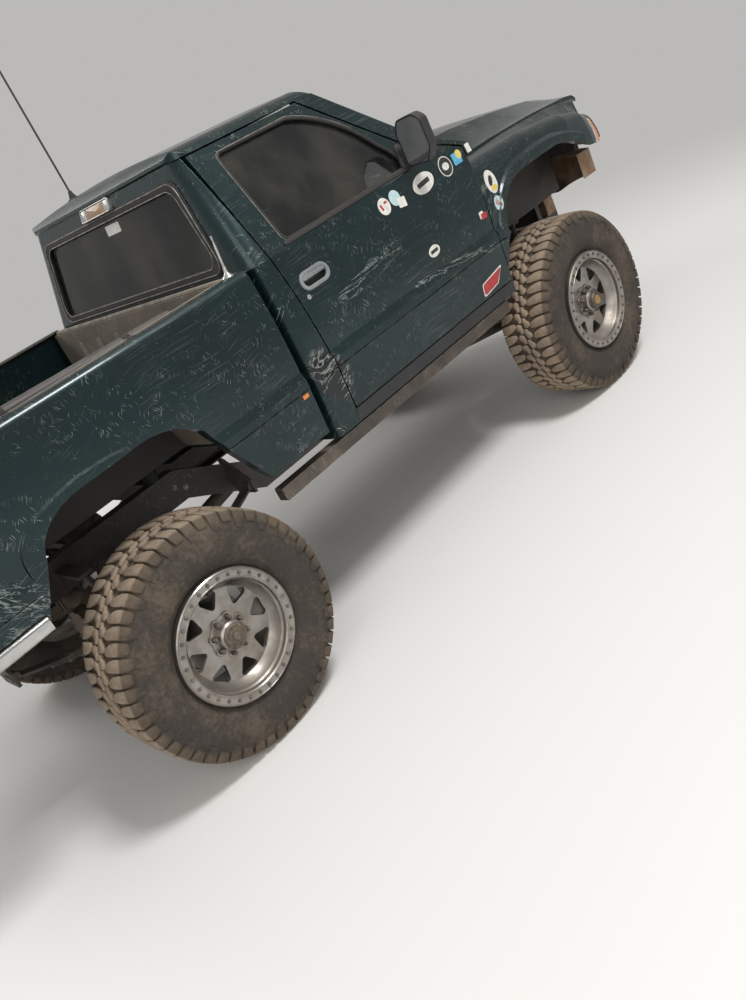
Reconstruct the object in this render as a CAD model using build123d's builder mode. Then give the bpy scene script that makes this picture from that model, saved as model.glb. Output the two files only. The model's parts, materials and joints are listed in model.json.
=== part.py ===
from build123d import *
import os

# Lifted off-road pickup: short bed, regular cab, solid axles, beadlock wheels.
# Millimetres, +X forward, +Y left, +Z up. The origin is on the floor, in the
# middle of the truck's length and width.

# Driving dimensions of the whole truck
WHEELBASE = 2900
FRONT_REACH = 2900      # from the gap between cab and bed to the front bumper's face
REAR_REACH = 2130       # from the same gap to the rear bumper's face
BODY_WIDTH = 2000
CREASE_Z = 1170         # upper body crease above the floor
CREASE_BAND = 77        # from the upper crease down to the lower one
RAIL_Z = 1643           # top of the bed rails
BELT_Z = 1627           # foot of the side windows' frame
ROOF_EDGE_Z = 2117      # where doors end and the roof begins
ROOF_CROWN_Z = 2190
ROCKER_Z = 822          # lower edge of the cab
PANEL_GAP = 8           # shut lines

# Wheels and tyres
TYRE_RADIUS = 500
TYRE_WIDTH = 350
TREAD_WIDTH = 284
WHEEL_Y = 900           # middle of the wheels
RIM_RADIUS = 254
RING_RADIUS = 272       # beadlock ring, outside
RING_INNER_RADIUS = 228
ROTOR_RADIUS = 160
ROTOR_WALL = 20
WINDOW_COUNT = 8
HUB_BORE_RADIUS = 30.5
SPINDLE_RADIUS = 30
KINGPIN_Y = 760
STEER_ARM = 205         # from the kingpin forward to the tie rod

# Stations along X
GAP_X = (REAR_REACH - FRONT_REACH) / 2
REAR_AXLE_X = GAP_X - 900
FRONT_AXLE_X = REAR_AXLE_X + WHEELBASE
BED_LENGTH = 1980
BED_CLEARANCE = 10
BED_FRONT_X = GAP_X - BED_CLEARANCE
BED_REAR_X = BED_FRONT_X - BED_LENGTH
CAB_BACK_X = GAP_X + 25
DOOR_REAR_X = GAP_X + 183
DOOR_FRONT_X = GAP_X + 1478
FIREWALL_X = GAP_X + 1560
HOOD_REAR_X = GAP_X + 1500
BUMPER_FRONT_X = GAP_X + FRONT_REACH
FENDER_FRONT_X = BUMPER_FRONT_X - 200
HOOD_FRONT_X = BUMPER_FRONT_X - 135
BUMPER_REAR_X = GAP_X - REAR_REACH

HALF = BODY_WIDTH / 2
SIDES = (("right", -1), ("left", 1))
AXLE_Z = TYRE_RADIUS

# Walls
DOOR_WALL = 80
DOOR_FRAME_WALL = 45
BED_WALL = 58
SHEET = 12
GLASS = 6
FLOOR_WALL = 25

# Ladder frame
RAIL_OUTER_Y = 430
RAIL_WIDTH = 72
RAIL_HEIGHT = 150
RAIL_WEB = 8
CAB_FRAME_TOP = 800
FRONT_FRAME_TOP = 850
REAR_FRAME_TOP = 1000
CAB_FLOOR_Z = 862
BED_FLOOR_Z = 1150
BED_FLOOR_WALL = 40

os.makedirs("parts", exist_ok=True)


def finish(builder, name):
    """Label one finished piece and write it."""
    builder.part.label = name
    export_step(builder.part, f"parts/{name}.step")


def across(x):
    """Plane across the truck at x: local x is +Y, local y is +Z."""
    return Plane.YZ.offset(x)


def upright(y):
    """Plane along the truck at y: local x is +X, local y is +Z, normal -Y."""
    return Plane.XZ.offset(-y)


def level(z):
    """Horizontal plane at height z."""
    return Plane.XY.offset(z)


def rod(start, end, radius, mode=Mode.ADD):
    """Round bar or bore between two points."""
    run = Vector(*end) - Vector(*start)
    with BuildSketch(Plane(origin=start, z_dir=run)) as section:
        Circle(radius)
    extrude(section.sketch, amount=run.length, mode=mode)


def block(x_range, y_range, z_range, mode=Mode.ADD):
    """Straight block between three pairs of limits."""
    with BuildSketch(level(z_range[0])) as section:
        with Locations(((x_range[0] + x_range[1]) / 2, (y_range[0] + y_range[1]) / 2)):
            Rectangle(abs(x_range[1] - x_range[0]), abs(y_range[1] - y_range[0]))
    extrude(section.sketch, amount=z_range[1] - z_range[0], mode=mode)


# Outer line of cab, doors, fenders and bed, seen from behind: columns are the
# distance inboard of the widest plane and the height. A groove parts the lower
# panel from the rubbing band, and a bevel leads from the band in to the foot of
# the upper panel.
CREASE_STEP = 13
BEVEL_DROP = 38
GROOVE = 5
BELT_INSET = 34
ROCKER_INSET = 24
UPPER_BULGE = (10, CREASE_Z + 225)
LOWER_CREASE_Z = CREASE_Z - CREASE_BAND
LOWER_LINE = (
    (4, LOWER_CREASE_Z - GROOVE),
    (8, LOWER_CREASE_Z),
    (0, LOWER_CREASE_Z + GROOVE),
    (0, CREASE_Z - BEVEL_DROP),
    (CREASE_STEP, CREASE_Z),
)
GLASSHOUSE_LEAN = 234   # inboard of the widest plane at the roof's edge


def lower_line(side, foot, wide=HALF):
    """Body's outer line from its foot up to the foot of the upper panel."""
    Polyline(*[(side * (wide - inboard), z) for inboard, z in (foot,) + LOWER_LINE])


def body_line(side):
    """Outer line of the cab from the rocker up to the belt."""
    lower_line(side, (ROCKER_INSET, ROCKER_Z))
    ThreePointArc(
        (side * (HALF - CREASE_STEP), CREASE_Z), (side * (HALF - UPPER_BULGE[0]), UPPER_BULGE[1]),
        (side * (HALF - BELT_INSET), BELT_Z),
    )


def side_height(z):
    """Inboard distance of the cab's outer line at height z above the belt."""
    share = (z - BELT_Z) / (ROOF_EDGE_Z - BELT_Z)
    return BELT_INSET + share * (GLASSHOUSE_LEAN - BELT_INSET)


# Side view of the door: its shut line and its window
DOOR_FOOT_Z = 890
SILL_TOP_Z = DOOR_FOOT_Z - PANEL_GAP
DOOR_TOP_Z = ROOF_EDGE_Z - PANEL_GAP
DOOR_REAR_TOP_X = DOOR_REAR_X - 52
DOOR_SHOULDER_Z = 1497
PILLAR_FOOT = (DOOR_FRONT_X - 310, 1737)
SAIL_FRONT = (DOOR_FRONT_X + 20, 1592)
COWL_SIDE_Z = 1535
DOOR_OUTLINE = (
    (DOOR_REAR_X, DOOR_FOOT_Z),
    (DOOR_REAR_X, CREASE_Z),
    (DOOR_REAR_X - 46, BELT_Z),
    (DOOR_REAR_TOP_X, DOOR_TOP_Z),
    (GAP_X + 790, DOOR_TOP_Z),
    PILLAR_FOOT,
    SAIL_FRONT,
    (DOOR_FRONT_X + 20, DOOR_SHOULDER_Z),
    (DOOR_FRONT_X, CREASE_Z),
    (DOOR_FRONT_X, DOOR_FOOT_Z),
)
WINDOW_FOOT_Z = BELT_Z + 23
WINDOW_HEAD_Z = DOOR_TOP_Z - 40
WINDOW_REAR_X = GAP_X + 257
WINDOW_CORNER = 32

# Door hinges: a strap from the cab carries a barrel, which stands in a pocket
# of the door and turns on a pin across that pocket
DOOR_HINGE_X = DOOR_FRONT_X - 60
DOOR_HINGE_Y = HALF - 40
DOOR_HINGE_BANDS = ((965, 1035), (1385, 1455))
HINGE_PIN = 8
HINGE_BARREL = 12
HINGE_GAP = 0.4         # between a pin and its barrel
POCKET_GAP = 7          # round a hinge in its pocket


def door_section(side):
    """Door's section: thick below the belt, a thinner frame that leans in above it."""
    with BuildLine() as line:
        body_line(side)
        Polyline(
            (side * (HALF - BELT_INSET), BELT_Z),
            (side * (HALF - GLASSHOUSE_LEAN), ROOF_EDGE_Z),
            (side * (HALF - GLASSHOUSE_LEAN - DOOR_FRAME_WALL), ROOF_EDGE_Z),
            (side * (HALF - BELT_INSET - DOOR_FRAME_WALL), BELT_Z + 12),
            (side * (HALF - BELT_INSET - DOOR_WALL), BELT_Z),
            (side * (HALF - ROCKER_INSET - DOOR_WALL), ROCKER_Z),
            (side * (HALF - ROCKER_INSET), ROCKER_Z),
        )
    make_face(line.edges())


def arcs(points):
    """Arcs through the points, smooth where they meet."""
    arc = ThreePointArc(*points[:3])
    for point in points[3:]:
        arc = TangentArc(arc @ 1, point, tangent=arc % 1)


def outline(points):
    """Closed side-view outline."""
    with BuildLine() as line:
        Polyline(*points, close=True)
    make_face(line.edges())


def window(mode):
    """Door window's prism: its front edge follows the windscreen pillar in one curve."""
    with BuildSketch(upright(0)) as opening:
        with BuildLine():
            Polyline(
                (GAP_X + 1112, WINDOW_FOOT_Z), (WINDOW_REAR_X, WINDOW_FOOT_Z), (WINDOW_REAR_X, WINDOW_HEAD_Z),
                (GAP_X + 690, WINDOW_HEAD_Z),
            )
            ThreePointArc((GAP_X + 690, WINDOW_HEAD_Z), (GAP_X + 900, 1962), (GAP_X + 1038, 1792))
            ThreePointArc((GAP_X + 1038, 1792), (GAP_X + 1086, 1724), (GAP_X + 1112, WINDOW_FOOT_Z))
        make_face()
        fillet(opening.vertices().sort_by(Axis.X)[:2], WINDOW_CORNER)
    extrude(opening.sketch, amount=HALF + 10, both=True, mode=mode)


# Doors with their windows cut
HANDLE_X = GAP_X + 287
HANDLE_Z = CREASE_Z + 300
HANDLE_LENGTH = 150
HANDLE_HEIGHT = 62
HANDLE_DEPTH = 22
ARMREST_X = GAP_X + 610
ARMREST_Z = 1285
ARMREST_HEIGHT = 44
ARMREST_PLAN = (390, 120)
for name, side in SIDES:
    with BuildPart() as door:
        with BuildSketch(across(DOOR_REAR_TOP_X)):
            door_section(side)
        extrude(amount=DOOR_FRONT_X + 20 - DOOR_REAR_TOP_X)
        with BuildSketch(upright(0)):
            outline(DOOR_OUTLINE)
        extrude(amount=HALF + 10, both=True, mode=Mode.INTERSECT)
        window(Mode.SUBTRACT)
        with BuildSketch(level(ARMREST_Z)) as armrest:
            with Locations((ARMREST_X, side * (HALF - DOOR_WALL - ROCKER_INSET))):
                RectangleRounded(*ARMREST_PLAN, ARMREST_PLAN[1] / 2.2)
        extrude(armrest.sketch, amount=ARMREST_HEIGHT)
        with BuildSketch(Plane(origin=(HANDLE_X, side * HALF, HANDLE_Z), x_dir=(1, 0, 0), z_dir=(0, side, 0))):
            SlotOverall(HANDLE_LENGTH, HANDLE_HEIGHT)
        extrude(amount=-HANDLE_DEPTH - 12, mode=Mode.SUBTRACT)
        for low, high in DOOR_HINGE_BANDS:
            block(
                (DOOR_HINGE_X - HINGE_BARREL - POCKET_GAP, DOOR_FRONT_X + 30),
                (side * (HALF - DOOR_WALL - 60), side * (DOOR_HINGE_Y + HINGE_BARREL + POCKET_GAP)),
                (low, high), Mode.SUBTRACT,
            )
            rod((DOOR_HINGE_X, side * DOOR_HINGE_Y, low), (DOOR_HINGE_X, side * DOOR_HINGE_Y, high), HINGE_PIN)
    finish(door, f"door_{name}")

    with BuildPart() as pane:
        foot = side_height(WINDOW_FOOT_Z)
        head = side_height(WINDOW_HEAD_Z)
        inset = DOOR_FRAME_WALL / 2
        with BuildSketch(across(DOOR_REAR_TOP_X)):
            with BuildLine():
                Polyline(
                    (side * (HALF - foot - inset), WINDOW_FOOT_Z),
                    (side * (HALF - head - inset), WINDOW_HEAD_Z),
                    (side * (HALF - head - inset - GLASS), WINDOW_HEAD_Z),
                    (side * (HALF - foot - inset - GLASS), WINDOW_FOOT_Z),
                    close=True,
                )
            make_face()
        extrude(amount=DOOR_FRONT_X - DOOR_REAR_TOP_X)
        window(Mode.INTERSECT)
    finish(pane, f"door_glass_{name}")

# Round mirror heads on stalks, one on each door: each head is a shallow bowl
# that opens backwards, and the stalk's foot lies on the door
MIRROR_X = GAP_X + 1120
MIRROR_STAND = 150      # how far the heads reach past the body's widest plane
MIRROR_Z = 1760
MIRROR_RADIUS = 92
MIRROR_DEPTH = 60
MIRROR_RIM = 8
for name, side in SIDES:
    with BuildPart() as mirror_head:
        head_y = side * (HALF + MIRROR_STAND - MIRROR_RADIUS)
        foot_y = side * (HALF - side_height(BELT_Z + 20))
        with BuildSketch(Plane(origin=(MIRROR_X, head_y, MIRROR_Z), x_dir=(0, 0, 1), z_dir=(0, -1, 0))):
            with BuildLine():
                Line((0, MIRROR_DEPTH / 2), (40, MIRROR_DEPTH / 2))
                ThreePointArc((40, MIRROR_DEPTH / 2), (MIRROR_RADIUS - 12, MIRROR_DEPTH / 2 - 14), (MIRROR_RADIUS, 0))
                Polyline(
                    (MIRROR_RADIUS, 0), (MIRROR_RADIUS, -MIRROR_DEPTH / 2),
                    (MIRROR_RADIUS - MIRROR_RIM, -MIRROR_DEPTH / 2), (MIRROR_RADIUS - MIRROR_RIM, -MIRROR_DEPTH / 2 + 7),
                    (0, -MIRROR_DEPTH / 2 + 7), (0, MIRROR_DEPTH / 2),
                )
            make_face()
        revolve(axis=Axis((MIRROR_X, head_y, MIRROR_Z), (1, 0, 0)))
        with BuildSketch(across(MIRROR_X - 22)):
            with BuildLine():
                ThreePointArc(
                    (foot_y, BELT_Z + 40), (side * (HALF + 2), BELT_Z + 70), (head_y - side * 34, MIRROR_Z - 20)
                )
                Polyline((head_y - side * 34, MIRROR_Z - 20), (head_y + side * 20, MIRROR_Z - 60))
                ThreePointArc(
                    (head_y + side * 20, MIRROR_Z - 60), (side * (HALF + 16), BELT_Z + 14), (foot_y, BELT_Z - 24)
                )
                Line((foot_y, BELT_Z - 24), (foot_y, BELT_Z + 40))
            make_face()
        extrude(amount=44)
        # the foot stands on the door's skin
        with BuildSketch(across(MIRROR_X - 200)):
            door_section(side)
        extrude(amount=400, mode=Mode.SUBTRACT)
    finish(mirror_head, f"mirror_{name}")

# Cab back with both rear corners, one pressing round the rear window
BACK_WALL = 45
BACK_LEAN = 63          # the back wall leans forward this much above the belt
REAR_WINDOW_FOOT = HALF - 224
REAR_WINDOW_HEAD = HALF - 347
REAR_WINDOW_FOOT_Z = 1670
REAR_WINDOW_HEAD_Z = 2033
CAB_CORNER = 90         # radius of the cab's rear corners, seen from above


def cab_plan(z, half_width, rear_x, front_x):
    """Cab's outline from above, with its two rear corners rounded."""
    with BuildSketch(level(z)) as plan:
        with BuildLine():
            Line((front_x, half_width), (rear_x + CAB_CORNER, half_width))
            RadiusArc((rear_x + CAB_CORNER, half_width), (rear_x, half_width - CAB_CORNER), -CAB_CORNER)
            Line((rear_x, half_width - CAB_CORNER), (rear_x, CAB_CORNER - half_width))
            RadiusArc((rear_x, CAB_CORNER - half_width), (rear_x + CAB_CORNER, -half_width), -CAB_CORNER)
            Line((rear_x + CAB_CORNER, -half_width), (front_x, -half_width))
            Line((front_x, -half_width), (front_x, half_width))
        make_face()
    return plan.sketch


def cab_room(front_x, back_wall):
    """Space inside the cab's walls, from the back wall to a station ahead of it."""
    inner = (
        (ROCKER_INSET + DOOR_WALL, ROCKER_Z - 10), (BELT_INSET + DOOR_WALL, BELT_Z),
        (BELT_INSET + DOOR_FRAME_WALL, BELT_Z + 12),
        (GLASSHOUSE_LEAN + DOOR_FRAME_WALL, ROOF_EDGE_Z),
    )
    with BuildPart() as room:
        with BuildSketch(across(CAB_BACK_X)):
            half = [(HALF - inboard, z) for inboard, z in inner]
            Polygon(*half, *[(-y, z) for y, z in reversed(half)], align=None)
        extrude(amount=front_x - CAB_BACK_X)
        with BuildSketch(upright(0)):
            outline((
                (CAB_BACK_X + back_wall, ROCKER_Z - 20),
                (CAB_BACK_X + back_wall, BELT_Z),
                (CAB_BACK_X + back_wall + BACK_LEAN, ROOF_EDGE_Z + 1),
                (front_x, ROOF_EDGE_Z + 1),
                (front_x, ROCKER_Z - 20),
            ))
        extrude(amount=HALF, both=True, mode=Mode.INTERSECT)
    return room.part


with BuildPart() as cab_back:
    # upright up to the belt, with the body's section and rounded corners
    with BuildSketch(across(CAB_BACK_X)):
        with BuildLine() as line:
            for name, side in SIDES:
                body_line(side)
            for y, z in ((HALF - BELT_INSET, BELT_Z), (HALF - ROCKER_INSET, ROCKER_Z)):
                Line((-y, z), (y, z))
        make_face(line.edges())
    extrude(amount=DOOR_REAR_X - CAB_BACK_X)
    extrude(cab_plan(ROCKER_Z, HALF, CAB_BACK_X, DOOR_REAR_X), amount=BELT_Z - ROCKER_Z, mode=Mode.INTERSECT)
    # above it the corners lean in to the roof
    loft([
        cab_plan(BELT_Z, HALF - BELT_INSET, CAB_BACK_X, DOOR_REAR_X),
        cab_plan(ROOF_EDGE_Z, HALF - GLASSHOUSE_LEAN, CAB_BACK_X + BACK_LEAN, DOOR_REAR_X),
    ], ruled=True)
    # the front edge follows the door's shut line
    with BuildSketch(upright(0)):
        outline((
            (CAB_BACK_X - 1, ROCKER_Z),
            (CAB_BACK_X - 1, ROOF_EDGE_Z),
            (DOOR_REAR_TOP_X - PANEL_GAP - 4, ROOF_EDGE_Z),
            (DOOR_REAR_X - 46 - PANEL_GAP, BELT_Z),
            (DOOR_REAR_X - PANEL_GAP, CREASE_Z),
            (DOOR_REAR_X - PANEL_GAP, ROCKER_Z),
        ))
    extrude(amount=HALF + 10, both=True, mode=Mode.INTERSECT)
    add(cab_room(DOOR_REAR_X, BACK_WALL), mode=Mode.SUBTRACT)
    # rear window
    with BuildSketch(across(CAB_BACK_X - 10)) as rear_window:
        Polygon(
            (-REAR_WINDOW_FOOT, REAR_WINDOW_FOOT_Z), (-REAR_WINDOW_HEAD, REAR_WINDOW_HEAD_Z),
            (REAR_WINDOW_HEAD, REAR_WINDOW_HEAD_Z), (REAR_WINDOW_FOOT, REAR_WINDOW_FOOT_Z), align=None,
        )
        fillet(rear_window.vertices(), 40)
    extrude(amount=300, mode=Mode.SUBTRACT)
finish(cab_back, "cab_back")

# Windscreen line in side view, from the cowl to the roof's front edge
SCREEN_FOOT = (GAP_X + 1300, 1686)
SCREEN_HEAD = (GAP_X + 872, ROOF_EDGE_Z - 10)

# Roof with windscreen pillars and header
ROOF_WALL = 32
ROOF_SHOULDER_Y = HALF - 310
ROOF_SHOULDER_Z = 2160
ROOF_EDGE_Y = HALF - GLASSHOUSE_LEAN
VISOR = 10              # how far the roof's rear edge stands over the window
ROOF_REAR_X = CAB_BACK_X + BACK_LEAN - VISOR


def roof_line(drop, inset):
    """Crowned roof line with rolled edges, lowered and drawn in to make its inner face."""
    edge = ROOF_EDGE_Y - inset
    shoulder = ROOF_SHOULDER_Y - inset
    with BuildLine() as line:
        ThreePointArc(
            (shoulder, ROOF_SHOULDER_Z - drop), (0, ROOF_CROWN_Z - drop), (-shoulder, ROOF_SHOULDER_Z - drop)
        )
        for side in (-1, 1):
            ThreePointArc(
                (side * edge, ROOF_EDGE_Z), (side * (edge - 22), ROOF_SHOULDER_Z - drop - 15 + drop / 4),
                (side * shoulder, ROOF_SHOULDER_Z - drop),
            )
        Line((-edge, ROOF_EDGE_Z), (edge, ROOF_EDGE_Z))
    make_face(line.edges())


def screen_pillar(side):
    """Windscreen pillar of one side, in line with the door's frame."""
    with BuildPart() as pillar:
        with BuildSketch(across(SCREEN_HEAD[0] - 80)):
            door_section(side)
        extrude(amount=FIREWALL_X - SCREEN_HEAD[0] + 80)
        with BuildSketch(upright(0)):
            outline((
                (GAP_X + 790 + PANEL_GAP, ROOF_EDGE_Z),
                (PILLAR_FOOT[0] + PANEL_GAP, PILLAR_FOOT[1] + PANEL_GAP),
                (SAIL_FRONT[0] + PANEL_GAP, SAIL_FRONT[1] + PANEL_GAP),
                (SAIL_FRONT[0] + PANEL_GAP, COWL_SIDE_Z),
                (FIREWALL_X, COWL_SIDE_Z),
                (FIREWALL_X, COWL_SIDE_Z + 60),
                (SCREEN_FOOT[0] + 90, SCREEN_FOOT[1] - 10),
                (SCREEN_FOOT[0] + 34, SCREEN_FOOT[1] + 6),
                (SCREEN_HEAD[0] + 36, ROOF_EDGE_Z),
            ))
        extrude(amount=HALF + 10, both=True, mode=Mode.INTERSECT)
    return pillar.part


with BuildPart() as cab_roof:
    with BuildSketch(across(ROOF_REAR_X)):
        roof_line(0, 0)
    extrude(amount=SCREEN_HEAD[0] - ROOF_REAR_X + 40)
    extrude(
        cab_plan(ROOF_EDGE_Z, ROOF_EDGE_Y, ROOF_REAR_X, SCREEN_HEAD[0] + 40), amount=ROOF_CROWN_Z - ROOF_EDGE_Z,
        mode=Mode.INTERSECT,
    )
    with BuildSketch(across(CAB_BACK_X + BACK_LEAN + 30)):
        roof_line(ROOF_WALL, DOOR_FRAME_WALL)
    extrude(amount=SCREEN_HEAD[0] - CAB_BACK_X - BACK_LEAN - 90, mode=Mode.SUBTRACT)
    # a small visor over the rear window, and a front edge that rolls down to the screen
    with BuildSketch(upright(0)):
        with BuildLine():
            Polyline(
                (SCREEN_HEAD[0] + 28, ROOF_EDGE_Z), (ROOF_REAR_X + VISOR, ROOF_EDGE_Z), (ROOF_REAR_X, ROOF_EDGE_Z + 8),
                (ROOF_REAR_X + 2, ROOF_EDGE_Z + 22),
            )
            ThreePointArc(
                (ROOF_REAR_X + 2, ROOF_EDGE_Z + 22), (ROOF_REAR_X + 48, ROOF_EDGE_Z + 61),
                (ROOF_REAR_X + 160, ROOF_CROWN_Z + 1),
            )
            Line((ROOF_REAR_X + 160, ROOF_CROWN_Z + 1), (SCREEN_HEAD[0] - 210, ROOF_CROWN_Z + 1))
            ThreePointArc(
                (SCREEN_HEAD[0] - 210, ROOF_CROWN_Z + 1), (SCREEN_HEAD[0] - 62, ROOF_EDGE_Z + 52),
                (SCREEN_HEAD[0] + 28, ROOF_EDGE_Z),
            )
        make_face()
    extrude(amount=HALF, both=True, mode=Mode.INTERSECT)
    for name, side in SIDES:
        add(screen_pillar(side))
finish(cab_roof, "cab_roof")

def pillar_inner(z):
    """Half width between the windscreen pillars at height z."""
    return HALF - side_height(z) - DOOR_FRAME_WALL - 2


def back_face(z):
    """Station of the cab's outer back face at height z above the belt."""
    return CAB_BACK_X + BACK_LEAN * (z - BELT_Z) / (ROOF_EDGE_Z - BELT_Z)


# Windscreen and rear window glass
with BuildPart() as cab_glass:
    for half_foot, half_head, foot, head in (
        (pillar_inner(SCREEN_FOOT[1]), pillar_inner(SCREEN_HEAD[1]), SCREEN_FOOT, SCREEN_HEAD),
        (
            REAR_WINDOW_FOOT - 3, REAR_WINDOW_HEAD - 3,
            (back_face(REAR_WINDOW_FOOT_Z) + 10, REAR_WINDOW_FOOT_Z + 1),
            (back_face(REAR_WINDOW_HEAD_Z) + 10, REAR_WINDOW_HEAD_Z - 1),
        ),
    ):
        lean = Vector(head[0] - foot[0], 0, head[1] - foot[1])
        pane_plane = Plane(origin=(foot[0], 0, foot[1]), x_dir=(0, 1, 0), z_dir=Vector(0, 1, 0).cross(lean))
        with BuildSketch(pane_plane):
            with BuildLine():
                Polyline(
                    (-half_foot, 0), (half_foot, 0), (half_head, lean.length), (-half_head, lean.length), close=True
                )
            face = make_face()
            fillet(face.vertices(), 38)
        extrude(amount=GLASS)
finish(cab_glass, "cab_glass")

# Cab floor with sills, tunnel, hinge pillars, firewall and cowl
SILL_INNER_Y = HALF - 116
TUNNEL_HALF = 190
TUNNEL_TOP_Z = 1040
HOOD_GAP_Y = HALF - 150
HOOD_EDGE_Y = HOOD_GAP_Y - PANEL_GAP
HOOD_SHOULDER_Y = HALF - 390
HOOD_WALL = 22
COWL_REAR = (1640, 1672, 1684)      # edge, shoulder and crown beside the windscreen
COWL_DROP = 54          # the hood's rear edge stands this much above the cowl
HOOD_HINGE_X = HOOD_REAR_X - 12
HOOD_HINGE_Z = 1650
HOOD_HINGE_Y = HOOD_SHOULDER_Y - 70
HOOD_PIN = 7
HOOD_SECTIONS = (
    # station, edge height, shoulder height, crown height
    (HOOD_REAR_X, 1534, 1668, 1716),
    (HOOD_FRONT_X - 880, 1535, 1652, 1698),
    (HOOD_FRONT_X - 480, 1524, 1610, 1650),
    (HOOD_FRONT_X - 130, 1502, 1560, 1594),
    (HOOD_FRONT_X - 30, 1488, 1534, 1562),
    (HOOD_FRONT_X, 1466, 1500, 1524),
)


def hood_strip(edge_z, shoulder_z, crown_z):
    """Section of the hood: flat edges, rising sides and a crowned middle."""
    with BuildLine() as line:
        for drop in (0, HOOD_WALL):
            crown = [(-HOOD_SHOULDER_Y, shoulder_z - drop), (0, crown_z - drop), (HOOD_SHOULDER_Y, shoulder_z - drop)]
            ThreePointArc(*crown)
            for side in (-1, 1):
                # the flank is hollow, so that a valley runs beside the fender
                valley = (side * (HOOD_EDGE_Y - 50), edge_z + 6 - drop)
                Line((side * HOOD_EDGE_Y, edge_z - drop), valley)
                ThreePointArc(
                    valley,
                    (
                        side * (HOOD_EDGE_Y - 50 + HOOD_SHOULDER_Y) / 2,
                        (edge_z + 6 + shoulder_z) / 2 - (shoulder_z - edge_z) / 9 - drop,
                    ),
                    (side * HOOD_SHOULDER_Y, shoulder_z - drop),
                )
        for side in (-1, 1):
            Line((side * HOOD_EDGE_Y, edge_z), (side * HOOD_EDGE_Y, edge_z - HOOD_WALL))
    make_face(line.edges())


def cowl_panel():
    """Panel from the windscreen's foot to the hood's rear edge."""
    with BuildPart() as panel:
        for station, heights in (
            (SCREEN_FOOT[0] + 12, COWL_REAR),
            (HOOD_REAR_X - PANEL_GAP, [height - COWL_DROP for height in HOOD_SECTIONS[0][1:]]),
        ):
            with BuildSketch(across(station)):
                hood_strip(*heights)
        loft(ruled=True)
    return panel.part


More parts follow.
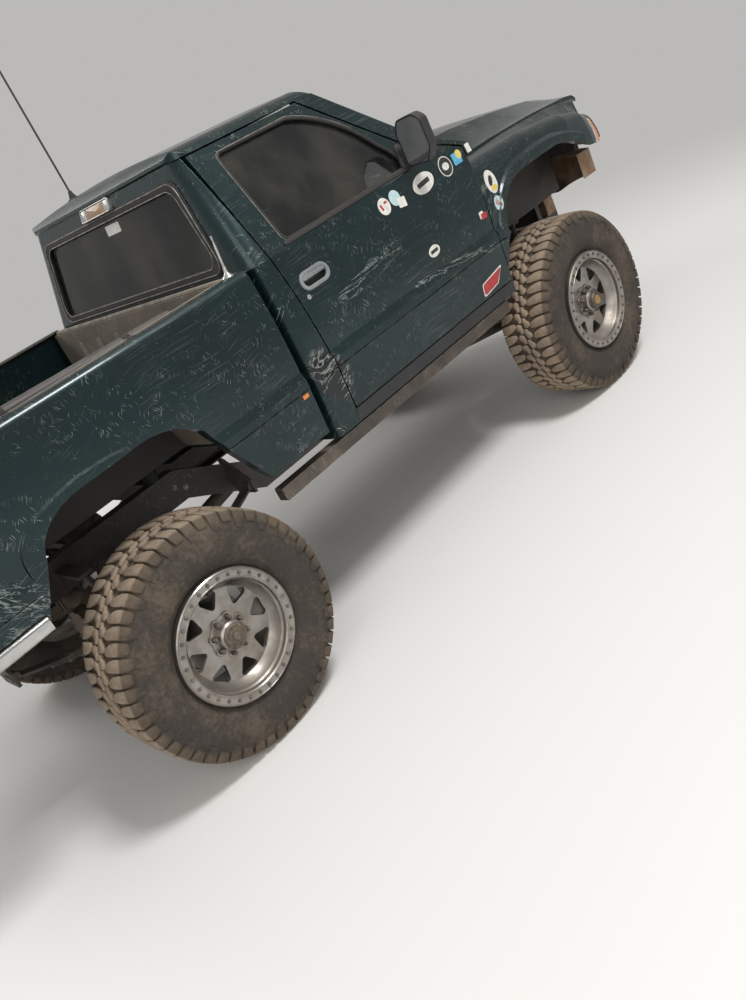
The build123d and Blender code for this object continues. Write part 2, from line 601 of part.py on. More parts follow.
COWL_SHELF_Z = 1440
PILLAR_Y = HALF - 114    # outer face of the hinge pillars
with BuildPart() as cab_floor:
    floor_x = (CAB_BACK_X + BACK_WALL, FIREWALL_X)
    block(floor_x, (-SILL_INNER_Y, SILL_INNER_Y), (CAB_FLOOR_Z, CAB_FLOOR_Z + FLOOR_WALL))
    tunnel_foot = TUNNEL_HALF + FLOOR_WALL
    with BuildSketch(across(floor_x[0])):
        Polygon(
            (-tunnel_foot, CAB_FLOOR_Z), (-tunnel_foot + 40, TUNNEL_TOP_Z),
            (tunnel_foot - 40, TUNNEL_TOP_Z), (tunnel_foot, CAB_FLOOR_Z), align=None,
        )
    extrude(amount=floor_x[1] - floor_x[0])
    block((FIREWALL_X - SHEET, FIREWALL_X), (-PILLAR_Y, PILLAR_Y), (CAB_FLOOR_Z, COWL_SIDE_Z - 30))
    with BuildSketch(across(floor_x[0])):
        Polygon(
            (-TUNNEL_HALF, CAB_FLOOR_Z), (-TUNNEL_HALF + 40, TUNNEL_TOP_Z - FLOOR_WALL),
            (TUNNEL_HALF - 40, TUNNEL_TOP_Z - FLOOR_WALL), (TUNNEL_HALF, CAB_FLOOR_Z), align=None,
        )
    extrude(amount=floor_x[1] - floor_x[0] + 1, mode=Mode.SUBTRACT)
    for name, side in SIDES:
        with BuildSketch(across(DOOR_REAR_X - PANEL_GAP)):
            Polygon(
                (side * SILL_INNER_Y, ROCKER_Z), (side * (HALF - 24), ROCKER_Z),
                (side * (HALF - 18), SILL_TOP_Z), (side * SILL_INNER_Y, SILL_TOP_Z), align=None,
            )
        extrude(amount=DOOR_FRONT_X - DOOR_REAR_X + PANEL_GAP)
        # hinge pillar between the door and the firewall, up to the windscreen pillar
        block(
            (SAIL_FRONT[0] + PANEL_GAP + 4, FIREWALL_X),
            (side * (HOOD_EDGE_Y - 60), side * PILLAR_Y), (CAB_FLOOR_Z, COWL_SIDE_Z - 30),
        )
        block(
            (SAIL_FRONT[0] + PANEL_GAP + 4, FIREWALL_X),
            (side * (PILLAR_Y - 10), side * PILLAR_Y), (COWL_SIDE_Z - 40, COWL_SIDE_Z + 30),
        )
        for low, high in DOOR_HINGE_BANDS:
            # strap along the door's inner face, then out to the barrel
            strap_z = (low + POCKET_GAP, high - POCKET_GAP)
            block(
                (DOOR_HINGE_X - HINGE_BARREL + 2, SAIL_FRONT[0] + PANEL_GAP + 10),
                (side * (PILLAR_Y - 30), side * (PILLAR_Y - 8)), strap_z,
            )
            block(
                (DOOR_HINGE_X - HINGE_BARREL + 2, DOOR_HINGE_X + HINGE_BARREL - 2),
                (side * (PILLAR_Y - 30), side * DOOR_HINGE_Y), strap_z,
            )
            rod((DOOR_HINGE_X, side * DOOR_HINGE_Y, strap_z[0]), (DOOR_HINGE_X, side * DOOR_HINGE_Y, strap_z[1]),
                HINGE_BARREL)
            rod((DOOR_HINGE_X, side * DOOR_HINGE_Y, low), (DOOR_HINGE_X, side * DOOR_HINGE_Y, high),
                HINGE_PIN + HINGE_GAP, Mode.SUBTRACT)
        # pin for the hood's hinge eye, on a lug of the cowl
        block(
            (HOOD_HINGE_X - 10, HOOD_REAR_X - PANEL_GAP), (side * (HOOD_HINGE_Y + 10), side * (HOOD_HINGE_Y + 22)),
            (HOOD_HINGE_Z - 50, HOOD_HINGE_Z + 10),
        )
        rod((HOOD_HINGE_X, side * (HOOD_HINGE_Y - 10), HOOD_HINGE_Z), (HOOD_HINGE_X, side * (HOOD_HINGE_Y + 16), HOOD_HINGE_Z),
            HOOD_PIN)
    # uprights carry the cowl on the firewall
    block(
        (HOOD_REAR_X - PANEL_GAP - 20, HOOD_REAR_X - PANEL_GAP), (-HOOD_SHOULDER_Y + 10, HOOD_SHOULDER_Y - 10),
        (COWL_SHELF_Z, HOOD_SECTIONS[0][2] - COWL_DROP - 14),
    )
    block(
        (HOOD_REAR_X - PANEL_GAP - 20, FIREWALL_X), (-HOOD_SHOULDER_Y - 90, HOOD_SHOULDER_Y + 90),
        (COWL_SHELF_Z, COWL_SHELF_Z + SHEET),
    )
    add(cowl_panel())
finish(cab_floor, "cab_floor")

# Front fenders: columns are station, height at the hood's gap, height where
# the side turns over into the top, and how far the side has drawn in
FENDER_SECTIONS = (
    (DOOR_FRONT_X + PANEL_GAP, 1520, 1436, 0),
    (FENDER_FRONT_X - 700, 1522, 1428, 0),
    (FENDER_FRONT_X - 300, 1508, 1392, 4),
    (FENDER_FRONT_X - 110, 1488, 1352, 16),
    (FENDER_FRONT_X, 1458, 1300, 40),
)
FENDER_ROLL = ((22, 0), (46, 50), (96, 74))     # inboard and up, from the side's top


def fender_top(side, gap_z, shoulder_z, draw_in, inset=0):
    """Fender's line above the crease: the side, the rolled shoulder and the top."""
    def spot(inboard, z):
        return (side * (HALF - draw_in - inset - inboard), z)
    roll = [spot(inboard, shoulder_z - inset + rise) for inboard, rise in FENDER_ROLL]
    ThreePointArc(spot(CREASE_STEP, CREASE_Z), spot(8, (CREASE_Z + shoulder_z) / 2), roll[0])
    ThreePointArc(*roll)
    Line(roll[2], (side * HOOD_GAP_Y, gap_z - inset))


def fender_strip(side, gap_z, shoulder_z, draw_in):
    """Closed section of a fender's sheet with the flange beside the hood."""
    foot = (ROCKER_INSET, ROCKER_Z)
    with BuildLine() as line:
        for inset in (0, SHEET):
            lower_line(side, foot, HALF - draw_in - inset)
            fender_top(side, gap_z, shoulder_z, draw_in, inset)
        Line((side * HOOD_GAP_Y, gap_z), (side * HOOD_GAP_Y, gap_z - SHEET))
        Line(
            (side * (HALF - draw_in - ROCKER_INSET), ROCKER_Z),
            (side * (HALF - draw_in - SHEET - ROCKER_INSET), ROCKER_Z),
        )
    make_face(line.edges())


# Wheel openings are trimmed by hand: straight cuts at the front and the foot,
# and the factory's curve between them
FRONT_OPENING_CURVE = (
    (FRONT_AXLE_X - 426, 1099),
    (FRONT_AXLE_X - 370, 1236),
    (FRONT_AXLE_X - 170, 1336),
    (FRONT_AXLE_X + 180, 1338),
    (FRONT_AXLE_X + 400, 1285),
    (FRONT_AXLE_X + 560, 1215),
)


def front_opening():
    """Outline of the front wheel's opening, from the rocker round to the bumper."""
    with BuildLine() as line:
        arcs(FRONT_OPENING_CURVE)
        Polyline(
            FRONT_OPENING_CURVE[-1], (FENDER_FRONT_X + 40, 1190), (FENDER_FRONT_X + 40, ROCKER_Z - 20),
            (FRONT_AXLE_X - 620, ROCKER_Z - 20), (FRONT_AXLE_X - 560, 884), FRONT_OPENING_CURVE[0],
        )
    make_face(line.edges())


# Pressed flares over the wheel openings: each is a crescent from its upper edge
# down to the opening, and stands out from the side as far as the body's widest plane
FRONT_FLARE = (
    (FRONT_AXLE_X - 478, 1095),
    (FRONT_AXLE_X - 430, 1230),
    (FRONT_AXLE_X - 180, 1384),
    (FRONT_AXLE_X + 185, 1386),
    (FRONT_AXLE_X + 420, 1330),
    (FRONT_AXLE_X + 500, 1296),
)
FRONT_FLARE_FOOT = (
    (FRONT_AXLE_X - 400, 1060),
    (FRONT_AXLE_X - 352, 1190),
    (FRONT_AXLE_X - 150, 1300),
    (FRONT_AXLE_X + 180, 1302),
    (FRONT_AXLE_X + 380, 1256),
    (FRONT_AXLE_X + 480, 1216),
)
REAR_FLARE = (
    (REAR_AXLE_X + 60, 1330),
    (REAR_AXLE_X - 180, 1348),
    (REAR_AXLE_X - 380, 1312),
    (REAR_AXLE_X - 478, 1180),
    (REAR_AXLE_X - 484, 1050),
)
REAR_FLARE_FOOT = (
    (REAR_AXLE_X + 60, 1290),
    (REAR_AXLE_X - 180, 1290),
    (REAR_AXLE_X - 330, 1240),
    (REAR_AXLE_X - 440, 1050),
)
FLARE_ROOT = 39         # inboard of the widest plane, where the flank starts
FLARE_FLANK = 34        # how far the flank spreads on its way in


def flare(side, crest, foot):
    """Pressed flare of one wheel opening, from the widest plane in to its root."""
    faces = []
    for inboard, grow in ((FLARE_ROOT, FLARE_FLANK), (0, 0)):
        edge = [(x - grow / 2, z + grow) for x, z in crest]
        with BuildSketch(upright(side * (HALF - inboard))) as band:
            with BuildLine() as line:
                arcs(edge)
                arcs(foot)
                Line(edge[0], foot[0])
                Line(edge[-1], foot[-1])
            make_face(line.edges())
        faces.append(band.sketch)
    loft(faces, ruled=True)


# Marker lens in each fender's front corner
MARKER_LENGTH = 62
MARKER_Z = (1170, 1345)


def marker_room(side, mode):
    """Block round a marker lens, in the fender's front corner."""
    block((FENDER_FRONT_X - MARKER_LENGTH, FENDER_FRONT_X + 1), (side * HOOD_GAP_Y, side * HALF), MARKER_Z, mode)


def fender(side):
    """Fender of one side with its flare and its trimmed wheel opening."""
    with BuildPart() as shell:
        for station, gap_z, shoulder_z, draw_in in FENDER_SECTIONS:
            with BuildSketch(across(station)):
                fender_strip(side, gap_z, shoulder_z, draw_in)
        loft(ruled=True)
        flare(side, FRONT_FLARE, FRONT_FLARE_FOOT)
        with BuildSketch(upright(0)):
            front_opening()
        extrude(amount=HALF + 10, both=True, mode=Mode.SUBTRACT)
        # the rear edge follows the door's shut line
        with BuildSketch(upright(0)):
            outline((
                (DOOR_FRONT_X - 20, ROCKER_Z - 20),
                (DOOR_FRONT_X + PANEL_GAP, ROCKER_Z - 20),
                (DOOR_FRONT_X + PANEL_GAP, CREASE_Z),
                (DOOR_FRONT_X + 20 + PANEL_GAP, DOOR_SHOULDER_Z),
                (DOOR_FRONT_X + 20 + PANEL_GAP, BELT_Z),
                (DOOR_FRONT_X - 20, BELT_Z),
            ))
        extrude(amount=HALF + 10, both=True, mode=Mode.SUBTRACT)
    return shell.part


with BuildPart() as front_fenders:
    for name, side in SIDES:
        add(fender(side))
        marker_room(side, Mode.SUBTRACT)
    add(cab_floor.part, mode=Mode.SUBTRACT)
finish(front_fenders, "front_fenders")

# Raised hood
with BuildPart() as hood:
    for station, edge_z, shoulder_z, crown_z in HOOD_SECTIONS:
        with BuildSketch(across(station)):
            hood_strip(edge_z, shoulder_z, crown_z)
    loft(ruled=True)
    for name, side in SIDES:
        # hinge eye behind the rear edge
        block(
            (HOOD_HINGE_X, HOOD_REAR_X + 30), (side * (HOOD_HINGE_Y - 8), side * (HOOD_HINGE_Y + 8)),
            (HOOD_HINGE_Z - 12, HOOD_HINGE_Z + 12),
        )
        rod((HOOD_HINGE_X, side * (HOOD_HINGE_Y - 8), HOOD_HINGE_Z), (HOOD_HINGE_X, side * (HOOD_HINGE_Y + 8), HOOD_HINGE_Z),
            12)
        rod((HOOD_HINGE_X, side * (HOOD_HINGE_Y - 9), HOOD_HINGE_Z), (HOOD_HINGE_X, side * (HOOD_HINGE_Y + 9), HOOD_HINGE_Z),
            HOOD_PIN + HINGE_GAP, Mode.SUBTRACT)
finish(hood, "hood")

# Bed sides with trimmed wheel openings
BED_FOOT_Z = 1028       # lower edge behind the wheel
BED_FRONT_FOOT_Z = 880
RAIL_INSET = 52
BED_SECTIONS = (
    # station, then inboard and height of the shoulder, the neck and points between
    (BED_REAR_X, (6, 1310), (4, 1454), (25, 1527), (31, 1600)),
    (BED_FRONT_X, (9, 1310), (11, 1454), (16, 1530), (24, 1600)),
)
REAR_OPENING_CURVE = (
    (REAR_AXLE_X + 360, 1215),
    (REAR_AXLE_X + 260, 1284),
    (REAR_AXLE_X + 100, 1318),
    (REAR_AXLE_X - 180, 1314),
    (REAR_AXLE_X - 340, 1268),
    (REAR_AXLE_X - 408, 1176),
)


def bed_line(side, section, shift):
    """Bed side's line up to the rail, moved inboard by shift: flat near the cab, with a shoulder at the rear."""
    def spot(inboard, z):
        return (side * (HALF - shift - inboard), z)
    side_middle, shoulder, neck_middle, neck = [spot(*point) for point in section]
    lower_line(side, (20, BED_FRONT_FOOT_Z), HALF - shift)
    ThreePointArc(spot(CREASE_STEP, CREASE_Z), side_middle, shoulder)
    ThreePointArc(shoulder, neck_middle, neck)
    ThreePointArc(neck, spot(36, RAIL_Z - 12), spot(RAIL_INSET, RAIL_Z))


def rear_opening():
    """Outline of the rear wheel's opening: a hand-trimmed diagonal in front, the pressed curve behind."""
    with BuildLine() as line:
        arcs(REAR_OPENING_CURVE)
        Polyline(
            REAR_OPENING_CURVE[-1], (REAR_AXLE_X - 510, 1000), (REAR_AXLE_X - 540, BED_FRONT_FOOT_Z - 20),
            (REAR_AXLE_X + 548, BED_FRONT_FOOT_Z - 20), (REAR_AXLE_X + 420, 1080), REAR_OPENING_CURVE[0],
        )
    make_face(line.edges())


def bed_side(side):
    """Bed side with its flare and its trimmed wheel opening."""
    with BuildPart() as panel:
        for station, *section in BED_SECTIONS:
            with BuildSketch(across(station)):
                with BuildLine() as line:
                    for shift in (0, BED_WALL):
                        bed_line(side, section, shift)
                    Line((side * (HALF - RAIL_INSET), RAIL_Z), (side * (HALF - RAIL_INSET - BED_WALL), RAIL_Z))
                    Line(
                        (side * (HALF - 20), BED_FRONT_FOOT_Z), (side * (HALF - 20 - BED_WALL), BED_FRONT_FOOT_Z)
                    )
                make_face(line.edges())
        loft(ruled=True)
        flare(side, REAR_FLARE, REAR_FLARE_FOOT)
        with BuildSketch(upright(0)):
            outline((
                (BED_REAR_X, BED_FOOT_Z), (REAR_AXLE_X - 510, BED_FOOT_Z),
                (REAR_AXLE_X - 510, BED_FRONT_FOOT_Z), (BED_FRONT_X, BED_FRONT_FOOT_Z),
                (BED_FRONT_X, RAIL_Z + 1), (BED_REAR_X, RAIL_Z + 1),
            ))
        extrude(amount=HALF + 10, both=True, mode=Mode.INTERSECT)
        with BuildSketch(upright(0)):
            rear_opening()
        extrude(amount=HALF + 10, both=True, mode=Mode.SUBTRACT)
    return panel.part


TUB_HALF = HALF - RAIL_INSET - BED_WALL
POST_LENGTH = 60
TAILGATE_FOOT_Z = BED_FLOOR_Z - BED_FLOOR_WALL
TAILGATE_HINGE = (BED_REAR_X + 14, TAILGATE_FOOT_Z + 14)
TRUNNION = 10
with BuildPart() as bed_sides:
    for name, side in SIDES:
        add(bed_side(side))
        # rear post beside the tailgate
        block(
            (BED_REAR_X, BED_REAR_X + POST_LENGTH), (side * TUB_HALF, side * (TUB_HALF + 54)),
            (BED_FOOT_Z + 40, RAIL_Z - 20),
        )
        rod(
            (TAILGATE_HINGE[0], side * (TUB_HALF - 1), TAILGATE_HINGE[1]),
            (TAILGATE_HINGE[0], side * (TUB_HALF + 22), TAILGATE_HINGE[1]), TRUNNION + HINGE_GAP, Mode.SUBTRACT,
        )
finish(bed_sides, "bed_sides")

# Bed tub: floor, bulkhead and wheelhouses
WHEELHOUSE_Y = HALF - 360
WHEELHOUSE_TOP_Z = 1400
WHEELHOUSE_X = (REAR_AXLE_X - 470, REAR_AXLE_X + 440)
TAILGATE_WALL = 50
with BuildPart() as bed_tub:
    block(
        (BED_REAR_X + POST_LENGTH, BED_FRONT_X), (-TUB_HALF, TUB_HALF),
        (BED_FLOOR_Z - BED_FLOOR_WALL, BED_FLOOR_Z),
    )
    block((BED_FRONT_X - 40, BED_FRONT_X), (-TUB_HALF, TUB_HALF), (BED_FLOOR_Z, RAIL_Z - 20))
    for name, side in SIDES:
        for grow, mode in ((SHEET, Mode.ADD), (0, Mode.SUBTRACT)):
            with BuildSketch(upright(side * (WHEELHOUSE_Y - grow))):
                outline((
                    (WHEELHOUSE_X[0] - grow, BED_FLOOR_Z - BED_FLOOR_WALL),
                    (WHEELHOUSE_X[0] + 90 - grow / 2, WHEELHOUSE_TOP_Z + grow),
                    (WHEELHOUSE_X[1] - 90 + grow / 2, WHEELHOUSE_TOP_Z + grow),
                    (WHEELHOUSE_X[1] + grow, BED_FLOOR_Z - BED_FLOOR_WALL),
                ))
            extrude(amount=-side * (TUB_HALF - WHEELHOUSE_Y + grow), mode=mode)
finish(bed_tub, "bed_tub")

# Tailgate on two trunnions near its foot, with a rolled top, a pressed panel and
# a recess for the handle
GATE_PRESS = (260, 120, 8)      # margin at the ends, margin at top and foot, depth
GATE_HANDLE = (190, 80, 24)
with BuildPart() as tailgate:
    with BuildSketch(upright(0)):
        with BuildLine():
            Polyline(
                (BED_REAR_X, RAIL_Z - 40), (BED_REAR_X, TAILGATE_FOOT_Z), (BED_REAR_X + TAILGATE_WALL, TAILGATE_FOOT_Z),
                (BED_REAR_X + TAILGATE_WALL, RAIL_Z - 16),
            )
            ThreePointArc(
                (BED_REAR_X + TAILGATE_WALL, RAIL_Z - 16), (BED_REAR_X + TAILGATE_WALL / 2, RAIL_Z - 8),
                (BED_REAR_X, RAIL_Z - 40),
            )
        make_face()
    extrude(amount=TUB_HALF - PANEL_GAP, both=True)
    gate_middle_z = (TAILGATE_FOOT_Z + RAIL_Z) / 2
    gate_height = RAIL_Z - TAILGATE_FOOT_Z
    for width, height, depth, z in (
        (2 * (TUB_HALF - GATE_PRESS[0]), gate_height - 2 * GATE_PRESS[1], GATE_PRESS[2], gate_middle_z),
        (*GATE_HANDLE, RAIL_Z - 100),
    ):
        with BuildSketch(across(BED_REAR_X)) as recess:
            with Locations((0, z)):
                RectangleRounded(width, height, 20)
        extrude(recess.sketch, amount=depth, mode=Mode.SUBTRACT)
    for name, side in SIDES:
        rod(
            (TAILGATE_HINGE[0], side * (TUB_HALF - 30), TAILGATE_HINGE[1]),
            (TAILGATE_HINGE[0], side * (TUB_HALF + 20), TAILGATE_HINGE[1]), TRUNNION,
        )
finish(tailgate, "tailgate")

# Ladder frame: rails with a kick-up over the rear axle
RAIL_TOPS = (
    (BED_REAR_X + 30, REAR_FRAME_TOP),
    (REAR_AXLE_X + 420, REAR_FRAME_TOP),
    (REAR_AXLE_X + 800, CAB_FRAME_TOP),
    (FRONT_AXLE_X - 560, CAB_FRAME_TOP),
    (FRONT_AXLE_X - 380, FRONT_FRAME_TOP),
    (BUMPER_FRONT_X - 90, FRONT_FRAME_TOP),
)
RAIL_INNER_Y = RAIL_OUTER_Y - RAIL_WIDTH
RAIL_MIDDLE_Y = RAIL_OUTER_Y - RAIL_WIDTH / 2
CROSSMEMBERS = (
    # station, lower edge, upper edge
    (BED_REAR_X + 90, REAR_FRAME_TOP - 120, REAR_FRAME_TOP - 30),
    (REAR_AXLE_X + 380, REAR_FRAME_TOP - 120, REAR_FRAME_TOP - 30),
    (GAP_X + 420, CAB_FRAME_TOP - 54, CAB_FRAME_TOP - RAIL_WEB),
    (BUMPER_FRONT_X - 210, FRONT_FRAME_TOP - 120, FRONT_FRAME_TOP - 30),
)
SKID_X = (GAP_X + 990, GAP_X + 1110)
SKID_Z = 600
COIL_Y = 530
COIL_TOP_Z = FRONT_FRAME_TOP + 20
COIL_SEAT = 70          # half width of the spring seats
FRONT_SHOCK_Y = 598
REAR_SHOCK_Y = 642
SHOCK_SEAT = 32
FRONT_SHOCK_X = FRONT_AXLE_X + 115
FRONT_SHOCK_TOP_Z = 1000
REAR_SHOCK_TOP_Z = 940
REAR_SHOCK_X = (REAR_AXLE_X - 110, REAR_AXLE_X - 230)
LEAF_WIDTH = 64
LEAF_Y = 560
LEAF_HALF = 640
LEAF_EYE_Z = 760
PLATE = 14              # brackets on the frame
with BuildPart() as ladder_frame:
    for name, side in SIDES:
        # each rail is a channel that opens towards the middle
        for drop, inner_y, outer_y, mode in (
            (0, RAIL_INNER_Y, RAIL_OUTER_Y, Mode.ADD),
            (RAIL_WEB, RAIL_INNER_Y - 1, RAIL_OUTER_Y - RAIL_WEB, Mode.SUBTRACT),
        ):
            with BuildSketch(upright(side * inner_y)):
                outline(
                    tuple((x, z - drop) for x, z in RAIL_TOPS)
                    + tuple((x, z - RAIL_HEIGHT + drop) for x, z in reversed(RAIL_TOPS))
                )
            extrude(amount=-side * (outer_y - inner_y), mode=mode)
        # seats for coil springs and shock absorbers, and the leaf springs' hangers
        for middle_x, half_length, reach, foot_z, top_z in (
            (FRONT_AXLE_X, COIL_SEAT, COIL_Y + COIL_SEAT, FRONT_FRAME_TOP - 100, COIL_TOP_Z),
            (FRONT_SHOCK_X, SHOCK_SEAT, FRONT_SHOCK_Y + SHOCK_SEAT, FRONT_FRAME_TOP - 100, FRONT_SHOCK_TOP_Z),
            (REAR_SHOCK_X[1], SHOCK_SEAT, REAR_SHOCK_Y + SHOCK_SEAT, REAR_FRAME_TOP - 100, REAR_SHOCK_TOP_Z),
        ):
            with BuildSketch(across(middle_x - half_length)):
                Polygon(
                    (side * RAIL_OUTER_Y, foot_z), (side * RAIL_OUTER_Y, top_z + PLATE),
                    (side * reach, top_z + PLATE), (side * reach, top_z),
                    (side * (RAIL_OUTER_Y + PLATE), top_z), (side * (RAIL_OUTER_Y + PLATE), foot_z), align=None,
                )
            extrude(amount=2 * half_length)
        for x in (REAR_AXLE_X + LEAF_HALF, REAR_AXLE_X - LEAF_HALF - PLATE):
            with BuildSketch(across(x)):
                Polygon(
                    (side * RAIL_OUTER_Y, LEAF_EYE_Z + 150), (side * (RAIL_OUTER_Y + 30), LEAF_EYE_Z + 150),
                    (side * (LEAF_Y + 40), LEAF_EYE_Z + 30), (side * (LEAF_Y + 40), LEAF_EYE_Z - 30),
                    (side * (RAIL_OUTER_Y + 30), LEAF_EYE_Z - 30), (side * RAIL_OUTER_Y, LEAF_EYE_Z + 30), align=None,
                )
            extrude(amount=PLATE)
    for x, low, high in CROSSMEMBERS:
        block((x - 35, x + 35), (-RAIL_OUTER_Y + RAIL_WEB, RAIL_OUTER_Y - RAIL_WEB), (low, high))
    # dropped crossmember under the transfer case
    with BuildSketch(across(SKID_X[0])):
        drop_half = [
            (RAIL_OUTER_Y, CAB_FRAME_TOP - RAIL_HEIGHT), (RAIL_OUTER_Y, SKID_Z + 40), (RAIL_OUTER_Y - 60, SKID_Z),
        ]
        drop_inner = [
            (RAIL_OUTER_Y - 76, SKID_Z + 24), (RAIL_OUTER_Y - 24, SKID_Z + 54),
            (RAIL_OUTER_Y - 24, CAB_FRAME_TOP - RAIL_HEIGHT),
        ]
        Polygon(
            *drop_half, *[(-y, z) for y, z in reversed(drop_half)],
            *[(-y, z) for y, z in reversed(drop_inner)], *drop_inner, align=None,
        )
    extrude(amount=SKID_X[1] - SKID_X[0])
finish(ladder_frame, "ladder_frame")

# Rubber mounts between frame and body, and steel sleepers under the bed
BODY_MOUNTS = (
    (GAP_X + 160, CAB_FRAME_TOP, CAB_FLOOR_Z),
    (GAP_X + 860, CAB_FRAME_TOP, CAB_FLOOR_Z),
    (REAR_AXLE_X + 330, REAR_FRAME_TOP, BED_FLOOR_Z - BED_FLOOR_WALL),
    (REAR_AXLE_X - 380, REAR_FRAME_TOP, BED_FLOOR_Z - BED_FLOOR_WALL),
    (BED_REAR_X + 200, REAR_FRAME_TOP, BED_FLOOR_Z - BED_FLOOR_WALL),
)
MOUNT_RADIUS = 34
with BuildPart() as body_mounts:
    for x, low, high in BODY_MOUNTS:
        for name, side in SIDES:
            rod((x, side * RAIL_MIDDLE_Y, low), (x, side * RAIL_MIDDLE_Y, high), MOUNT_RADIUS)
finish(body_mounts, "body_mounts")

# Axles
AXLE_TUBE = 48
DIFF_RADIUS = 145
REAR_DIFF_RADIUS = 165
FRONT_DIFF_Y = 235
BALL_PIN = 9            # ball joint pins, and their clearance
PIN_GAP = 0.4
ARM_Z = AXLE_Z + 5      # steering arm's underside
ARM_WALL = 25
SHOCK_FOOT_Z = AXLE_Z - 20
LEAF_PACK = 44          # height of the leaves under the main leaf
LEAF_SEAT_Z = AXLE_Z + 128 - LEAF_PACK
with BuildPart() as rear_axle:
    rod((REAR_AXLE_X, -WHEEL_Y + 60, AXLE_Z), (REAR_AXLE_X, WHEEL_Y - 60, AXLE_Z), AXLE_TUBE + 6)
    for name, side in SIDES:
        rod((REAR_AXLE_X, side * (WHEEL_Y - 60), AXLE_Z), (REAR_AXLE_X, side * (WHEEL_Y + 40), AXLE_Z), SPINDLE_RADIUS)
        rod((REAR_AXLE_X, side * (WHEEL_Y - 90), AXLE_Z), (REAR_AXLE_X, side * (WHEEL_Y - 78), AXLE_Z), 165)
    with Locations((REAR_AXLE_X, 0, AXLE_Z)):
        Sphere(REAR_DIFF_RADIUS)
    rod((REAR_AXLE_X, 0, AXLE_Z), (REAR_AXLE_X + 270, 0, AXLE_Z + 20), 70)
    for name, side in SIDES:
        block(
            (REAR_SHOCK_X[0] - SHOCK_SEAT, REAR_AXLE_X), (side * (REAR_SHOCK_Y - 20), side * (REAR_SHOCK_Y + 20)),
            (SHOCK_FOOT_Z - PLATE, SHOCK_FOOT_Z),
        )
        # perch under the leaf spring
        block(
            (REAR_AXLE_X - 50, REAR_AXLE_X + 50), (side * (LEAF_Y - 40), side * (LEAF_Y + 40)),
            (AXLE_Z, LEAF_SEAT_Z),
        )
    # ribbed cover behind the differential
    rod((REAR_AXLE_X - 176, 0, AXLE_Z), (REAR_AXLE_X, 0, AXLE_Z), 118)
finish(rear_axle, "rear_axle")

with BuildPart() as front_axle:
    rod((FRONT_AXLE_X, -KINGPIN_Y + 62, AXLE_Z), (FRONT_AXLE_X, KINGPIN_Y - 62, AXLE_Z), AXLE_TUBE)
    with Locations((FRONT_AXLE_X, FRONT_DIFF_Y, AXLE_Z)):
        Sphere(DIFF_RADIUS)
    rod((FRONT_AXLE_X, FRONT_DIFF_Y, AXLE_Z), (FRONT_AXLE_X - 250, FRONT_DIFF_Y, AXLE_Z + 20), 62)
    rod((FRONT_AXLE_X, FRONT_DIFF_Y, AXLE_Z), (FRONT_AXLE_X + 152, FRONT_DIFF_Y, AXLE_Z), 104)
    for name, side in SIDES:
        # spring seat
        block(
            (FRONT_AXLE_X - COIL_SEAT, FRONT_AXLE_X + COIL_SEAT), (side * (COIL_Y - COIL_SEAT), side * (COIL_Y + COIL_SEAT)),
            (AXLE_Z + AXLE_TUBE - 8, AXLE_Z + AXLE_TUBE + 6),
        )
        # yoke that holds the knuckle's two ball joints
        block(
            (FRONT_AXLE_X - 32, FRONT_AXLE_X + 32),
            (side * (KINGPIN_Y - 75), side * (KINGPIN_Y - 50)), (AXLE_Z - 125, AXLE_Z + 125),
        )
        for low in (AXLE_Z - 125, AXLE_Z + 100):
            block(
                (FRONT_AXLE_X - 32, FRONT_AXLE_X + 32),
                (side * (KINGPIN_Y - 60), side * (KINGPIN_Y + 24)), (low, low + 25),
            )
            rod(
                (FRONT_AXLE_X, side * KINGPIN_Y, low - 1), (FRONT_AXLE_X, side * KINGPIN_Y, low + 26),
                BALL_PIN + PIN_GAP, Mode.SUBTRACT,
            )
        block(
            (FRONT_AXLE_X, FRONT_SHOCK_X + SHOCK_SEAT), (side * (FRONT_SHOCK_Y - 20), side * (FRONT_SHOCK_Y + 20)),
            (SHOCK_FOOT_Z - PLATE, SHOCK_FOOT_Z),
        )
finish(front_axle, "front_axle")

